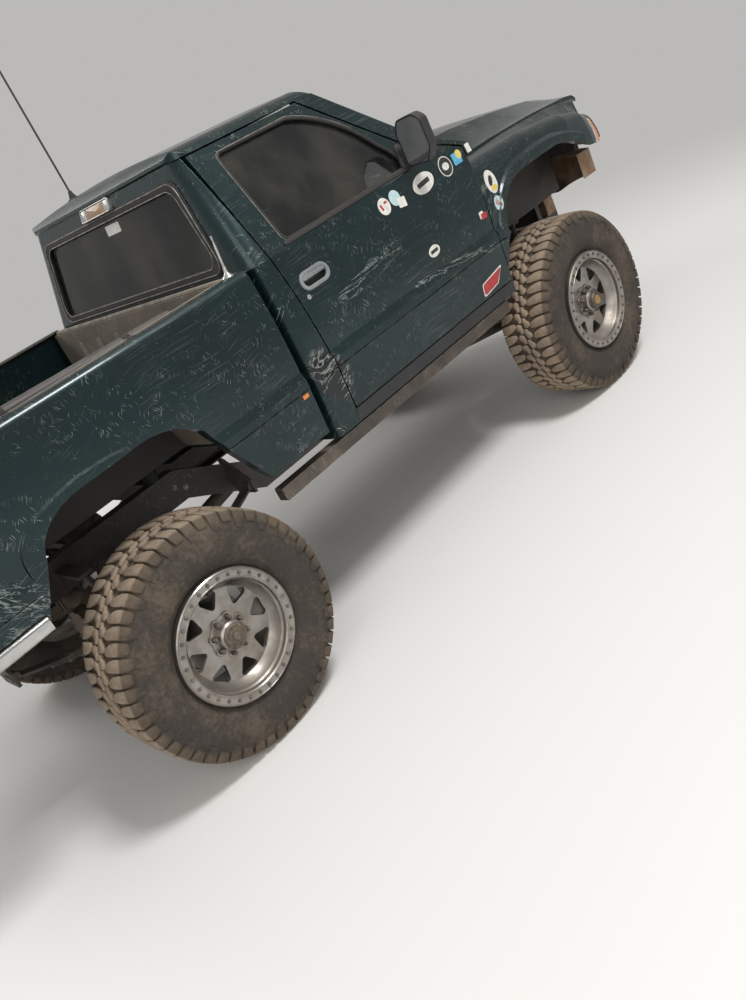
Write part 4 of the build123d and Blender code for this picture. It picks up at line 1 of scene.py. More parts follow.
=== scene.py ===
import json
import logging
import math
from dataclasses import dataclass
from enum import Enum
from typing import Callable, Iterable, Sequence

import bmesh
import bpy
from mathutils import Matrix, Vector
from mathutils.bvhtree import BVHTree


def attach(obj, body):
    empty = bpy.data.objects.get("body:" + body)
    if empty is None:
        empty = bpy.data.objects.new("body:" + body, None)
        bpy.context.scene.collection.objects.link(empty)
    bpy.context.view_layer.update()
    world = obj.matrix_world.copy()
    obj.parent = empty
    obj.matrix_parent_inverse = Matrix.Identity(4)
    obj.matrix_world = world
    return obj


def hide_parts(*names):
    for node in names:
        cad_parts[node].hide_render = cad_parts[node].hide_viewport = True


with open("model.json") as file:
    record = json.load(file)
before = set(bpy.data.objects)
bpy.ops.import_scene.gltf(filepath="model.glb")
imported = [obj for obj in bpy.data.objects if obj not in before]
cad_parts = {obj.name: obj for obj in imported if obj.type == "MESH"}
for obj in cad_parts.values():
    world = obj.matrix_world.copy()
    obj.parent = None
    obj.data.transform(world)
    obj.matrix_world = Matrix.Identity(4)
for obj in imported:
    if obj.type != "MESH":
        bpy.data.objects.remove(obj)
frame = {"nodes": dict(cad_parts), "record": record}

logging.basicConfig(level=logging.INFO, format="%(message)s")
log = logging.getLogger("truck")

Colour = tuple[float, float, float]
Point = tuple[float, float, float]
Outline = Sequence[tuple[float, float]]
Corners = list[tuple[float, float]]
Rows = tuple[tuple[float, ...], ...]
Socket = bpy.types.NodeSocket


class Side(Enum):
    """Side of the truck, with its sign along Y."""

    RIGHT = -1
    LEFT = 1

    @property
    def word(self) -> str:
        """The side's name as node names end with it."""
        return self.name.lower()

    @property
    def place(self) -> Matrix:
        """Matrix that takes a form drawn for the left to this side."""
        return MIRROR if self is Side.RIGHT else Matrix()


class Axle(Enum):
    """Axle of the truck, with its place along X."""

    FRONT = 1.615
    REAR = -1.285

    @property
    def word(self) -> str:
        """The axle's name as node names hold it."""
        return self.name.lower()


# Shader helpers


class Tree:
    """Builds the nodes of one material or one node group."""

    def __init__(self, tree: bpy.types.NodeTree) -> None:
        """Take over an empty tree.

        Args:
            tree: Node tree of a material or a group.
        """
        self.tree = tree
        tree.nodes.clear()

    def node(self, kind: str, **settings: object) -> bpy.types.Node:
        """Add a node.

        Args:
            kind: Blender's node type.
            settings: Properties to set on it.

        Returns:
            The new node.
        """
        made = self.tree.nodes.new(kind)
        for name, value in settings.items():
            setattr(made, name, value)
        return made

    def feed(self, socket: Socket, value: object) -> None:
        """Link a socket to another, or set its own value.

        Args:
            socket: Input socket.
            value: An output socket, a number or a colour.
        """
        if isinstance(value, Socket):
            self.tree.links.new(value, socket)
        elif isinstance(value, tuple) and socket.type == "RGBA":
            socket.default_value = (*value, 1.0)[:4]
        else:
            socket.default_value = value

    def math(self, operation: str, first: object, second: object = 0.0, clamp: bool = False) -> Socket:
        """Add a Math node.

        Args:
            operation: What it does.
            first: Number or socket.
            second: Number or socket.
            clamp: Whether the result stays between 0 and 1.

        Returns:
            Its result.
        """
        made = self.node("ShaderNodeMath", operation=operation, use_clamp=clamp)
        self.feed(made.inputs[0], first)
        self.feed(made.inputs[1], second)
        return made.outputs[0]

    def plus(self, first: object, second: object) -> Socket:
        """Add two numbers."""
        return self.math("ADD", first, second)

    def times(self, *values: object) -> Socket:
        """Multiply numbers.

        Args:
            values: Numbers or sockets.

        Returns:
            The product.
        """
        total = values[0]
        for value in values[1:]:
            total = self.math("MULTIPLY", total, value)
        return total

    def most(self, *values: object) -> Socket:
        """Largest of some numbers.

        Args:
            values: Numbers or sockets.

        Returns:
            The largest.
        """
        total = values[0]
        for value in values[1:]:
            total = self.math("MAXIMUM", total, value)
        return total

    def mix(self, share: object, first: object, second: object, blend: str = "MIX") -> Socket:
        """Mix two colours.

        Args:
            share: Share of the second.
            first: First colour.
            second: Second colour.
            blend: Blender's way of mixing.

        Returns:
            The mixed colour.
        """
        made = self.node("ShaderNodeMix", data_type="RGBA", blend_type=blend)
        self.feed(made.inputs[0], share)
        self.feed(made.inputs[6], first)
        self.feed(made.inputs[7], second)
        return made.outputs[2]

    def blend(self, share: object, first: object, second: object) -> Socket:
        """Mix two numbers.

        Args:
            share: Share of the second.
            first: First number.
            second: Second number.

        Returns:
            The mixed number.
        """
        made = self.node("ShaderNodeMix", data_type="FLOAT")
        self.feed(made.inputs[0], share)
        self.feed(made.inputs[2], first)
        self.feed(made.inputs[3], second)
        return made.outputs[0]

    def span(
        self, value: object, low: object, high: object, out_low: float = 0.0, out_high: float = 1.0,
    ) -> Socket:
        """Map a number from one range to another, clamped and eased.

        Args:
            value: The number.
            low: Value that gives out_low.
            high: Value that gives out_high.
            out_low: Result at low.
            out_high: Result at high.

        Returns:
            The mapped number.
        """
        made = self.node("ShaderNodeMapRange", interpolation_type="SMOOTHSTEP")
        for place, given in enumerate((value, low, high, out_low, out_high)):
            self.feed(made.inputs[place], given)
        return made.outputs[0]

    def where(self) -> Socket:
        """Object coordinates."""
        return self.node("ShaderNodeTexCoord").outputs["Object"]

    def mapped(
        self, vector: Socket, scale: object = (1.0, 1.0, 1.0), turn: Point = (0.0, 0.0, 0.0),
        shift: Point = (0.0, 0.0, 0.0),
    ) -> Socket:
        """Scale a vector, then turn it, then shift it.

        Args:
            vector: The vector.
            scale: Scale along each axis.
            turn: Turn about each axis, in radians.
            shift: Shift along each axis.

        Returns:
            The new vector.
        """
        mapping = self.node("ShaderNodeMapping")
        self.feed(mapping.inputs["Vector"], vector)
        self.feed(mapping.inputs["Scale"], scale)
        mapping.inputs["Rotation"].default_value = turn
        self.feed(mapping.inputs["Location"], shift)
        return mapping.outputs[0]

    def parts(self, vector: Socket) -> tuple[Socket, ...]:
        """X, Y and Z of a vector.

        Args:
            vector: The vector.

        Returns:
            Its three parts.
        """
        made = self.node("ShaderNodeSeparateXYZ")
        self.feed(made.inputs[0], vector)
        return tuple(made.outputs)

    def noise(
        self, vector: Socket, scale: object, detail: float = 3.0, roughness: float = 0.5,
        distortion: float = 0.0,
    ) -> Socket:
        """Noise between 0 and 1.

        Args:
            vector: Where it is read.
            scale: Its scale.
            detail: Its finer layers.
            roughness: Strength of the finer layers.
            distortion: Swirl of its shapes.

        Returns:
            The noise.
        """
        made = self.node("ShaderNodeTexNoise")
        self.feed(made.inputs["Vector"], vector)
        self.feed(made.inputs["Scale"], scale)
        made.inputs["Detail"].default_value = detail
        made.inputs["Roughness"].default_value = roughness
        made.inputs["Distortion"].default_value = distortion
        return made.outputs["Fac"]

    def sheet(self) -> Socket:
        """Object coordinates laid flat: along the truck, and up or across it.

        Returns:
            A vector whose X and Y lie in the surface.
        """
        x, y, z = self.parts(self.where())
        flat = self.node("ShaderNodeCombineXYZ")
        self.feed(flat.inputs[0], self.plus(x, self.times(y, 0.6)))
        self.feed(flat.inputs[1], self.plus(z, y))
        return flat.outputs[0]

    def strokes(self, flat: Socket, turn: float, length: float, width: float, chance: float) -> Socket:
        """Mask of short straight strokes scattered on a flat vector.

        Args:
            flat: Vector whose X and Y lie in the surface.
            turn: Turn of the strokes, in radians.
            length: Their length in metres.
            width: Their width in metres.
            chance: Share of the cells that hold one.

        Returns:
            The mask.
        """
        turned_flat = self.mapped(flat, turn=(0.0, 0.0, turn), shift=(turn * 3.1, turn * 1.7, 0.0))
        drawn = self.mapped(turned_flat, scale=(0.28 / length, 0.28 / width, 1.0))
        cells = self.node("ShaderNodeTexVoronoi", feature="F1", voronoi_dimensions="2D")
        self.feed(cells.inputs["Vector"], drawn)
        cells.inputs["Scale"].default_value = 1.0
        line = self.span(cells.outputs["Distance"], 0.14, 0.07)
        tint = self.node("ShaderNodeSeparateColor")
        self.feed(tint.inputs[0], cells.outputs["Color"])
        kept = self.math("LESS_THAN", tint.outputs[0], chance)
        return self.times(line, kept, self.span(tint.outputs[1], 0.0, 1.0, 0.35, 1.0))

    def bump(self, height: object, strength: float, distance: float, normal: object = None) -> Socket:
        """Bend the normal by a height.

        Args:
            height: The height.
            strength: Share of the effect.
            distance: Metres that a height of 1 stands for.
            normal: Normal that it starts from.

        Returns:
            The bent normal.
        """
        made = self.node("ShaderNodeBump")
        made.inputs["Strength"].default_value = strength
        made.inputs["Distance"].default_value = distance
        self.feed(made.inputs["Height"], height)
        if normal is not None:
            self.feed(made.inputs["Normal"], normal)
        return made.outputs[0]


def open_group(
    name: str, inputs: Sequence[tuple[str, str, object]], outputs: Sequence[tuple[str, str]],
) -> tuple[Tree, bpy.types.Node, bpy.types.Node]:
    """Start a shader node group.

    Args:
        name: Name of the group.
        inputs: Name, socket type and default of each input.
        outputs: Name and socket type of each output.

    Returns:
        The tree, its input node and its output node.
    """
    group = bpy.data.node_groups.new(name, "ShaderNodeTree")
    for label, kind, default in inputs:
        made = group.interface.new_socket(name=label, in_out="INPUT", socket_type=kind)
        made.default_value = default
    for label, kind in outputs:
        group.interface.new_socket(name=label, in_out="OUTPUT", socket_type=kind)
    tree = Tree(group)
    return tree, tree.node("NodeGroupInput"), tree.node("NodeGroupOutput")


FLOAT = "NodeSocketFloat"
VECTOR = "NodeSocketVector"


def build_dust_group() -> bpy.types.NodeTree:
    """Mask of dust that settles on faces that look up and is thrown up from below.

    Returns:
        The group's tree.
    """
    tree, given, result = open_group(
        "settled dust",
        (
            ("Amount", FLOAT, 0.3), ("Splash Height", FLOAT, 0.9), ("Patch Scale", FLOAT, 3.0),
            ("Base", FLOAT, 0.15),
        ),
        (("Mask", FLOAT),),
    )
    where = tree.where()
    patches = tree.noise(where, given.outputs["Patch Scale"], 6.0, 0.62)
    fine = tree.noise(where, 70.0, 3.0, 0.6)
    facing = tree.node("ShaderNodeNewGeometry")
    upward = tree.span(tree.parts(facing.outputs["Normal"])[2], 0.1, 1.0)
    splash = tree.span(tree.parts(where)[2], given.outputs["Splash Height"], 0.25)
    reach = tree.plus(tree.times(upward, 0.5), tree.times(splash, 0.7))
    reach = tree.plus(reach, given.outputs["Base"])
    cover = tree.times(reach, tree.span(patches, 0.3, 0.72, 0.25, 1.0), tree.span(fine, 0.2, 0.75, 0.6, 1.0))
    tree.feed(result.inputs["Mask"], tree.math("MULTIPLY", cover, given.outputs["Amount"], clamp=True))
    return tree.tree


def build_edge_group() -> bpy.types.NodeTree:
    """Mask of the wear along outer edges.

    Returns:
        The group's tree.
    """
    tree, given, result = open_group(
        "edge wear", (("Width", FLOAT, 0.004), ("Amount", FLOAT, 0.5)), (("Mask", FLOAT),),
    )
    rounded = tree.node("ShaderNodeBevel", samples=4)
    tree.feed(rounded.inputs["Radius"], given.outputs["Width"])
    flat = tree.node("ShaderNodeNewGeometry")
    dot = tree.node("ShaderNodeVectorMath", operation="DOT_PRODUCT")
    tree.feed(dot.inputs[0], rounded.outputs[0])
    tree.feed(dot.inputs[1], flat.outputs["Normal"])
    edge = tree.span(dot.outputs["Value"], 0.985, 0.9)
    breaks = tree.span(tree.noise(tree.where(), 26.0, 5.0, 0.7), 0.42, 0.6)
    tree.feed(
        result.inputs["Mask"],
        tree.math("MULTIPLY", tree.times(edge, breaks), given.outputs["Amount"], clamp=True),
    )
    return tree.tree


def build_scratch_group() -> bpy.types.NodeTree:
    """Mask of trail scratches: long fine ones along the truck and clusters of short ones.

    Returns:
        The group's tree.
    """
    tree, given, result = open_group(
        "trail scratches", (("Long", FLOAT, 0.4), ("Short", FLOAT, 0.7)), (("Mask", FLOAT),),
    )
    flat = tree.sheet()
    where = tree.where()
    patches = tree.span(tree.noise(where, 2.2, 3.0, 0.6), 0.42, 0.66, 0.08, 1.0)
    clusters = tree.span(tree.noise(where, 5.5, 3.0, 0.65), 0.44, 0.68, 0.06, 1.0)
    long_sizes = ((0.05, 0.2, 0.0013, 0.3), (-0.07, 0.13, 0.0012, 0.3), (-0.3, 0.11, 0.0012, 0.1))
    short_sizes = (
        (1.35, 0.026, 0.0018, 0.3), (0.8, 0.032, 0.0017, 0.2), (-0.95, 0.022, 0.0018, 0.25),
        (2.1, 0.04, 0.0016, 0.15),
    )
    long_lines = tree.most(*(tree.strokes(flat, *sizes) for sizes in long_sizes))
    short_lines = tree.most(*(tree.strokes(flat, *sizes) for sizes in short_sizes))
    specks = tree.strokes(flat, 0.4, 0.0045, 0.004, 0.02)
    lines = tree.most(
        tree.times(long_lines, patches, given.outputs["Long"]),
        tree.times(short_lines, clusters, given.outputs["Short"]),
        tree.times(specks, given.outputs["Short"]),
    )
    tree.feed(result.inputs["Mask"], tree.math("MINIMUM", lines, 1.0))
    return tree.tree


def build_scuff_group() -> bpy.types.NodeTree:
    """Mask of one scraped patch, and the height of the dented metal in it.

    Returns:
        The group's tree.
    """
    tree, given, result = open_group(
        "scraped patch",
        (
            ("Centre", VECTOR, (0.0, 0.0, 0.0)), ("Size", VECTOR, (0.1, 0.1, 0.1)), ("Turn", FLOAT, 0.0),
            ("Scale", FLOAT, 26.0),
        ),
        (("Mask", FLOAT), ("Height", FLOAT), ("Area", FLOAT)),
    )
    where = tree.where()
    apart = tree.node("ShaderNodeVectorMath", operation="SUBTRACT")
    tree.feed(apart.inputs[0], where)
    tree.feed(apart.inputs[1], given.outputs["Centre"])
    spun = tree.node("ShaderNodeVectorRotate", rotation_type="Y_AXIS")
    tree.feed(spun.inputs["Vector"], apart.outputs[0])
    tree.feed(spun.inputs["Angle"], given.outputs["Turn"])
    shrunk = tree.node("ShaderNodeVectorMath", operation="DIVIDE")
    tree.feed(shrunk.inputs[0], spun.outputs[0])
    tree.feed(shrunk.inputs[1], given.outputs["Size"])
    reach = tree.node("ShaderNodeVectorMath", operation="LENGTH")
    tree.feed(reach.inputs[0], shrunk.outputs[0])
    ragged = tree.plus(reach.outputs["Value"], tree.times(tree.noise(where, 14.0, 4.0, 0.6), 0.5))
    area = tree.span(ragged, 1.3, 1.0)
    drawn = tree.mapped(spun.outputs[0], scale=(0.16, 1.0, 1.0))
    wave = tree.noise(drawn, given.outputs["Scale"], 5.0, 0.7, 0.6)
    band = tree.math("ABSOLUTE", tree.math("SUBTRACT", wave, 0.5))
    lines = tree.span(band, 0.014, 0.004)
    tree.feed(
        result.inputs["Mask"],
        tree.times(area, tree.most(lines, tree.times(tree.span(wave, 0.62, 0.7), 0.35))),
    )
    tree.feed(result.inputs["Height"], tree.times(area, tree.noise(drawn, 9.0, 2.0, 0.5)))
    tree.feed(result.inputs["Area"], area)
    return tree.tree


def build_shaded_side_group() -> bpy.types.NodeTree:
    """Mask of the faces that look down or away from the truck's middle, which get painted shade.

    Returns:
        The group's tree.
    """
    tree, _, result = open_group("shaded side", (), (("Mask", FLOAT),))
    facing = tree.node("ShaderNodeNewGeometry")
    _, n_y, n_z = tree.parts(facing.outputs["Normal"])
    _, y, _ = tree.parts(tree.where())
    away = tree.span(tree.times(y, n_y), 0.3, 0.5)
    down = tree.span(n_z, -0.2, -0.6)
    tree.feed(result.inputs["Mask"], tree.most(away, down))
    return tree.tree


GROUPS: dict[str, bpy.types.NodeTree] = {}


def use_group(tree: Tree, name: str, **values: object) -> bpy.types.Node:
    """Place a shared group in a tree.

    Args:
        tree: Tree that takes the group.
        name: Name of the group.
        values: Inputs, with underscores for spaces.

    Returns:
        The group's node.
    """
    made = tree.node("ShaderNodeGroup", node_tree=GROUPS[name])
    for label, value in values.items():
        tree.feed(made.inputs[label.replace("_", " ")], value)
    return made


def open_material(name: str) -> tuple[bpy.types.Material, Tree, bpy.types.Node]:
    """Start a material with one shader on its surface.

    Args:
        name: Name of the material.

    Returns:
        The material, its tree and the shader's node.
    """
    made = bpy.data.materials.new(name)
    made.use_nodes = True
    tree = Tree(made.node_tree)
    shader = tree.node("ShaderNodeBsdfPrincipled")
    output = tree.node("ShaderNodeOutputMaterial")
    tree.feed(output.inputs["Surface"], shader.outputs[0])
    return made, tree, shader


DUST_COLOUR: Colour = (0.34, 0.26, 0.185)
DENT_COLOUR: Colour = (0.012, 0.013, 0.013)
FILM_COLOUR: Colour = (0.26, 0.23, 0.18)


@dataclass(frozen=True)
class Scuff:
    """Place of one scraped patch on the body."""

    centre: Point
    size: Point
    turn: float = 0.0
    scale: float = 26.0
    dark: float = 0.0
    strength: float = 0.8


@dataclass(frozen=True)
class Finish:
    """One finish of the truck, from its colour to its wear."""

    name: str
    slot: str
    colour: Colour
    roughness: float
    second: Colour | None = None
    metallic: float = 0.0
    coat: float = 0.0
    coat_roughness: float = 0.1
    dust: float = 0.4
    dust_base: float = 0.15
    splash: float = 0.9
    dust_colour: Colour = DUST_COLOUR
    wear: float = 0.0
    wear_width: float = 0.004
    wear_colour: Colour = (0.4, 0.39, 0.37)
    scratches: float = 0.0
    scratch_colour: Colour = (0.5, 0.54, 0.5)
    scuffs: tuple[Scuff, ...] = ()
    grain: float = 0.0
    grain_scale: float = 400.0
    ridges: float = 0.0
    variation: float = 0.25
    variation_scale: float = 6.0
    soften: float = 0.0
    painted_shade: Colour | None = None

    def material(self) -> bpy.types.Material:
        """Build the finish as a Blender material.

        Returns:
            The material.
        """
        made, tree, shader = open_material(self.name)
        patches = tree.noise(tree.where(), self.variation_scale, 5.0, 0.6)
        second = self.second or tuple(c * (1.0 - self.variation) for c in self.colour)
        colour: object = tree.mix(tree.span(patches, 0.3, 0.7), self.colour, second)
        rough: object = tree.span(
            patches, 0.25, 0.75, max(self.roughness - 0.06, 0.02), min(self.roughness + 0.09, 1.0),
        )
        metal: object = self.metallic
        height: object = None
        if self.scratches:
            lines = use_group(
                tree, "trail scratches", Long=0.55 * self.scratches, Short=0.95 * self.scratches,
            ).outputs[0]
            colour = tree.mix(lines, colour, self.scratch_colour)
            rough = tree.blend(lines, rough, 0.6)
        for scuff in self.scuffs:
            patch = use_group(
                tree, "scraped patch", Centre=scuff.centre, Size=scuff.size, Turn=scuff.turn,
                Scale=scuff.scale,
            )
            if scuff.dark:
                colour = tree.mix(tree.times(patch.outputs["Area"], scuff.dark), colour, DENT_COLOUR)
            colour = tree.mix(tree.times(patch.outputs["Mask"], scuff.strength), colour, self.scratch_colour)
            rough = tree.blend(patch.outputs["Mask"], rough, 0.5)
            dent = tree.times(patch.outputs["Height"], 0.012)
            height = dent if height is None else tree.plus(height, dent)
        if self.wear:
            worn = use_group(tree, "edge wear", Width=self.wear_width, Amount=self.wear).outputs[0]
            colour = tree.mix(worn, colour, self.wear_colour)
            rough = tree.blend(worn, rough, 0.5)
        if self.dust:
            dusty = use_group(
                tree, "settled dust", Amount=self.dust, Splash_Height=self.splash, Base=self.dust_base,
            ).outputs[0]
            colour = tree.mix(dusty, colour, self.dust_colour)
            rough = tree.blend(dusty, rough, 0.92)
            if self.metallic:
                metal = tree.blend(dusty, self.metallic, 0.0)
        # Painted shade: faces that look down or away from the middle take a near-black colour.
        if self.painted_shade:
            outward = use_group(tree, "shaded side").outputs[0]
            colour = tree.mix(outward, colour, self.painted_shade)
        tree.feed(shader.inputs["Base Color"], colour)
        tree.feed(shader.inputs["Roughness"], rough)
        tree.feed(shader.inputs["Metallic"], metal)
        shader.inputs["Coat Weight"].default_value = self.coat
        shader.inputs["Coat Roughness"].default_value = self.coat_roughness
        if self.grain:
            fine = tree.times(tree.noise(tree.where(), self.grain_scale, 4.0, 0.6), self.grain)
            height = fine if height is None else tree.plus(height, fine)
        if self.ridges:
            wave = tree.node("ShaderNodeTexWave", bands_direction="Y", wave_profile="SIN")
            tree.feed(wave.inputs["Vector"], tree.where())
            wave.inputs["Scale"].default_value = self.ridges
            ridge = tree.times(wave.outputs["Fac"], 0.003)
            height = ridge if height is None else tree.plus(height, ridge)
        soft: object = None
        if self.soften:
            rounded = tree.node("ShaderNodeBevel", samples=4)
            rounded.inputs["Radius"].default_value = self.soften
            soft = rounded.outputs[0]
        if height is not None:
            tree.feed(shader.inputs["Normal"], tree.bump(height, 0.6, 1.0, soft))
        elif soft is not None:
            tree.feed(shader.inputs["Normal"], soft)
        return made


@dataclass(frozen=True)
class GlassFinish:
    """Tinted window glass with a film of dust; its near-black, mostly opaque layer is partly the glass's tint
    and partly painted shade for the dark inside of the cab.
    """

    name: str
    slot: str
    tint: Colour
    roughness: float = 0.04
    dust: float = 0.16
    clear: float = 0.72

    def material(self) -> bpy.types.Material:
        """Build the glass as a Blender material.

        Returns:
            The material.
        """
        made, tree, shader = open_material(self.name)
        film = tree.span(
            tree.noise(tree.mapped(tree.where(), scale=(1.0, 1.0, 0.6)), 2.6, 4.0, 0.55), 0.36, 0.72,
        )
        cover = tree.times(film, self.dust)
        # Painted shade: the near-black tint, kept mostly opaque, darkens what is seen of the cab's inside.
        tree.feed(shader.inputs["Base Color"], tree.mix(cover, self.tint, FILM_COLOUR))
        tree.feed(shader.inputs["Roughness"], tree.blend(cover, self.roughness, 0.4))
        tree.feed(shader.inputs["Alpha"], tree.blend(cover, self.clear, min(self.clear + 0.3, 1.0)))
        shader.inputs["IOR"].default_value = 1.5
        return made


@dataclass(frozen=True)
class TyreFinish:
    """Tyre rubber: tan tread tops, grooves darkened with painted shade, and a muddy sidewall."""

    name: str
    slot: str = "tyre"
    top: Colour = (0.33, 0.255, 0.185)
    # Painted shade: the groove colour is darker than the tops to stand for the shade down in the grooves.
    groove: Colour = (0.12, 0.092, 0.066)
    sidewall: Colour = (0.046, 0.039, 0.033)
    mud: Colour = (0.15, 0.115, 0.084)
    groove_reach: float = 0.486
    top_reach: float = 0.4965
    wall_reach: float = 0.438
    shoulder_reach: float = 0.468

    def material(self) -> bpy.types.Material:
        """Build the rubber as a Blender material, from the reach of each point from the axle.

        Returns:
            The material.
        """
        made, tree, shader = open_material(self.name)
        reach = tree.node(
            "ShaderNodeAttribute", attribute_name="reach", attribute_type="GEOMETRY",
        ).outputs["Fac"]
        where = tree.where()
        patches = tree.noise(where, 6.0, 6.0, 0.65)
        fine = tree.noise(where, 60.0, 4.0, 0.65)
        worn = tree.plus(tree.times(patches, 0.6), tree.times(fine, 0.4))
        dusty_top = tree.mix(tree.span(worn, 0.35, 0.62), tuple(c * 0.62 for c in self.top), self.top)
        dusty_shaded_groove = tree.mix(tree.span(worn, 0.35, 0.62), tuple(c * 0.6 for c in self.groove), self.groove)
        # Painted shade: points below the lug tops blend towards the darker groove colour.
        tread = tree.mix(tree.span(reach, self.groove_reach, self.top_reach), dusty_shaded_groove, dusty_top)
        side = tree.mix(tree.span(worn, 0.42, 0.72, 0.0, 0.8), self.sidewall, self.mud)
        edge = tree.plus(reach, tree.times(tree.math("SUBTRACT", patches, 0.5), 0.05))
        colour = tree.mix(tree.span(edge, self.wall_reach, self.shoulder_reach), side, tread)
        tree.feed(shader.inputs["Base Color"], colour)
        tree.feed(shader.inputs["Roughness"], tree.span(worn, 0.3, 0.7, 0.72, 0.95))
        shader.inputs["Specular IOR Level"].default_value = 0.3
        height = tree.plus(tree.times(fine, 0.0016), tree.times(patches, 0.002))
        tree.feed(shader.inputs["Normal"], tree.bump(height, 0.7, 1.0))
        return made


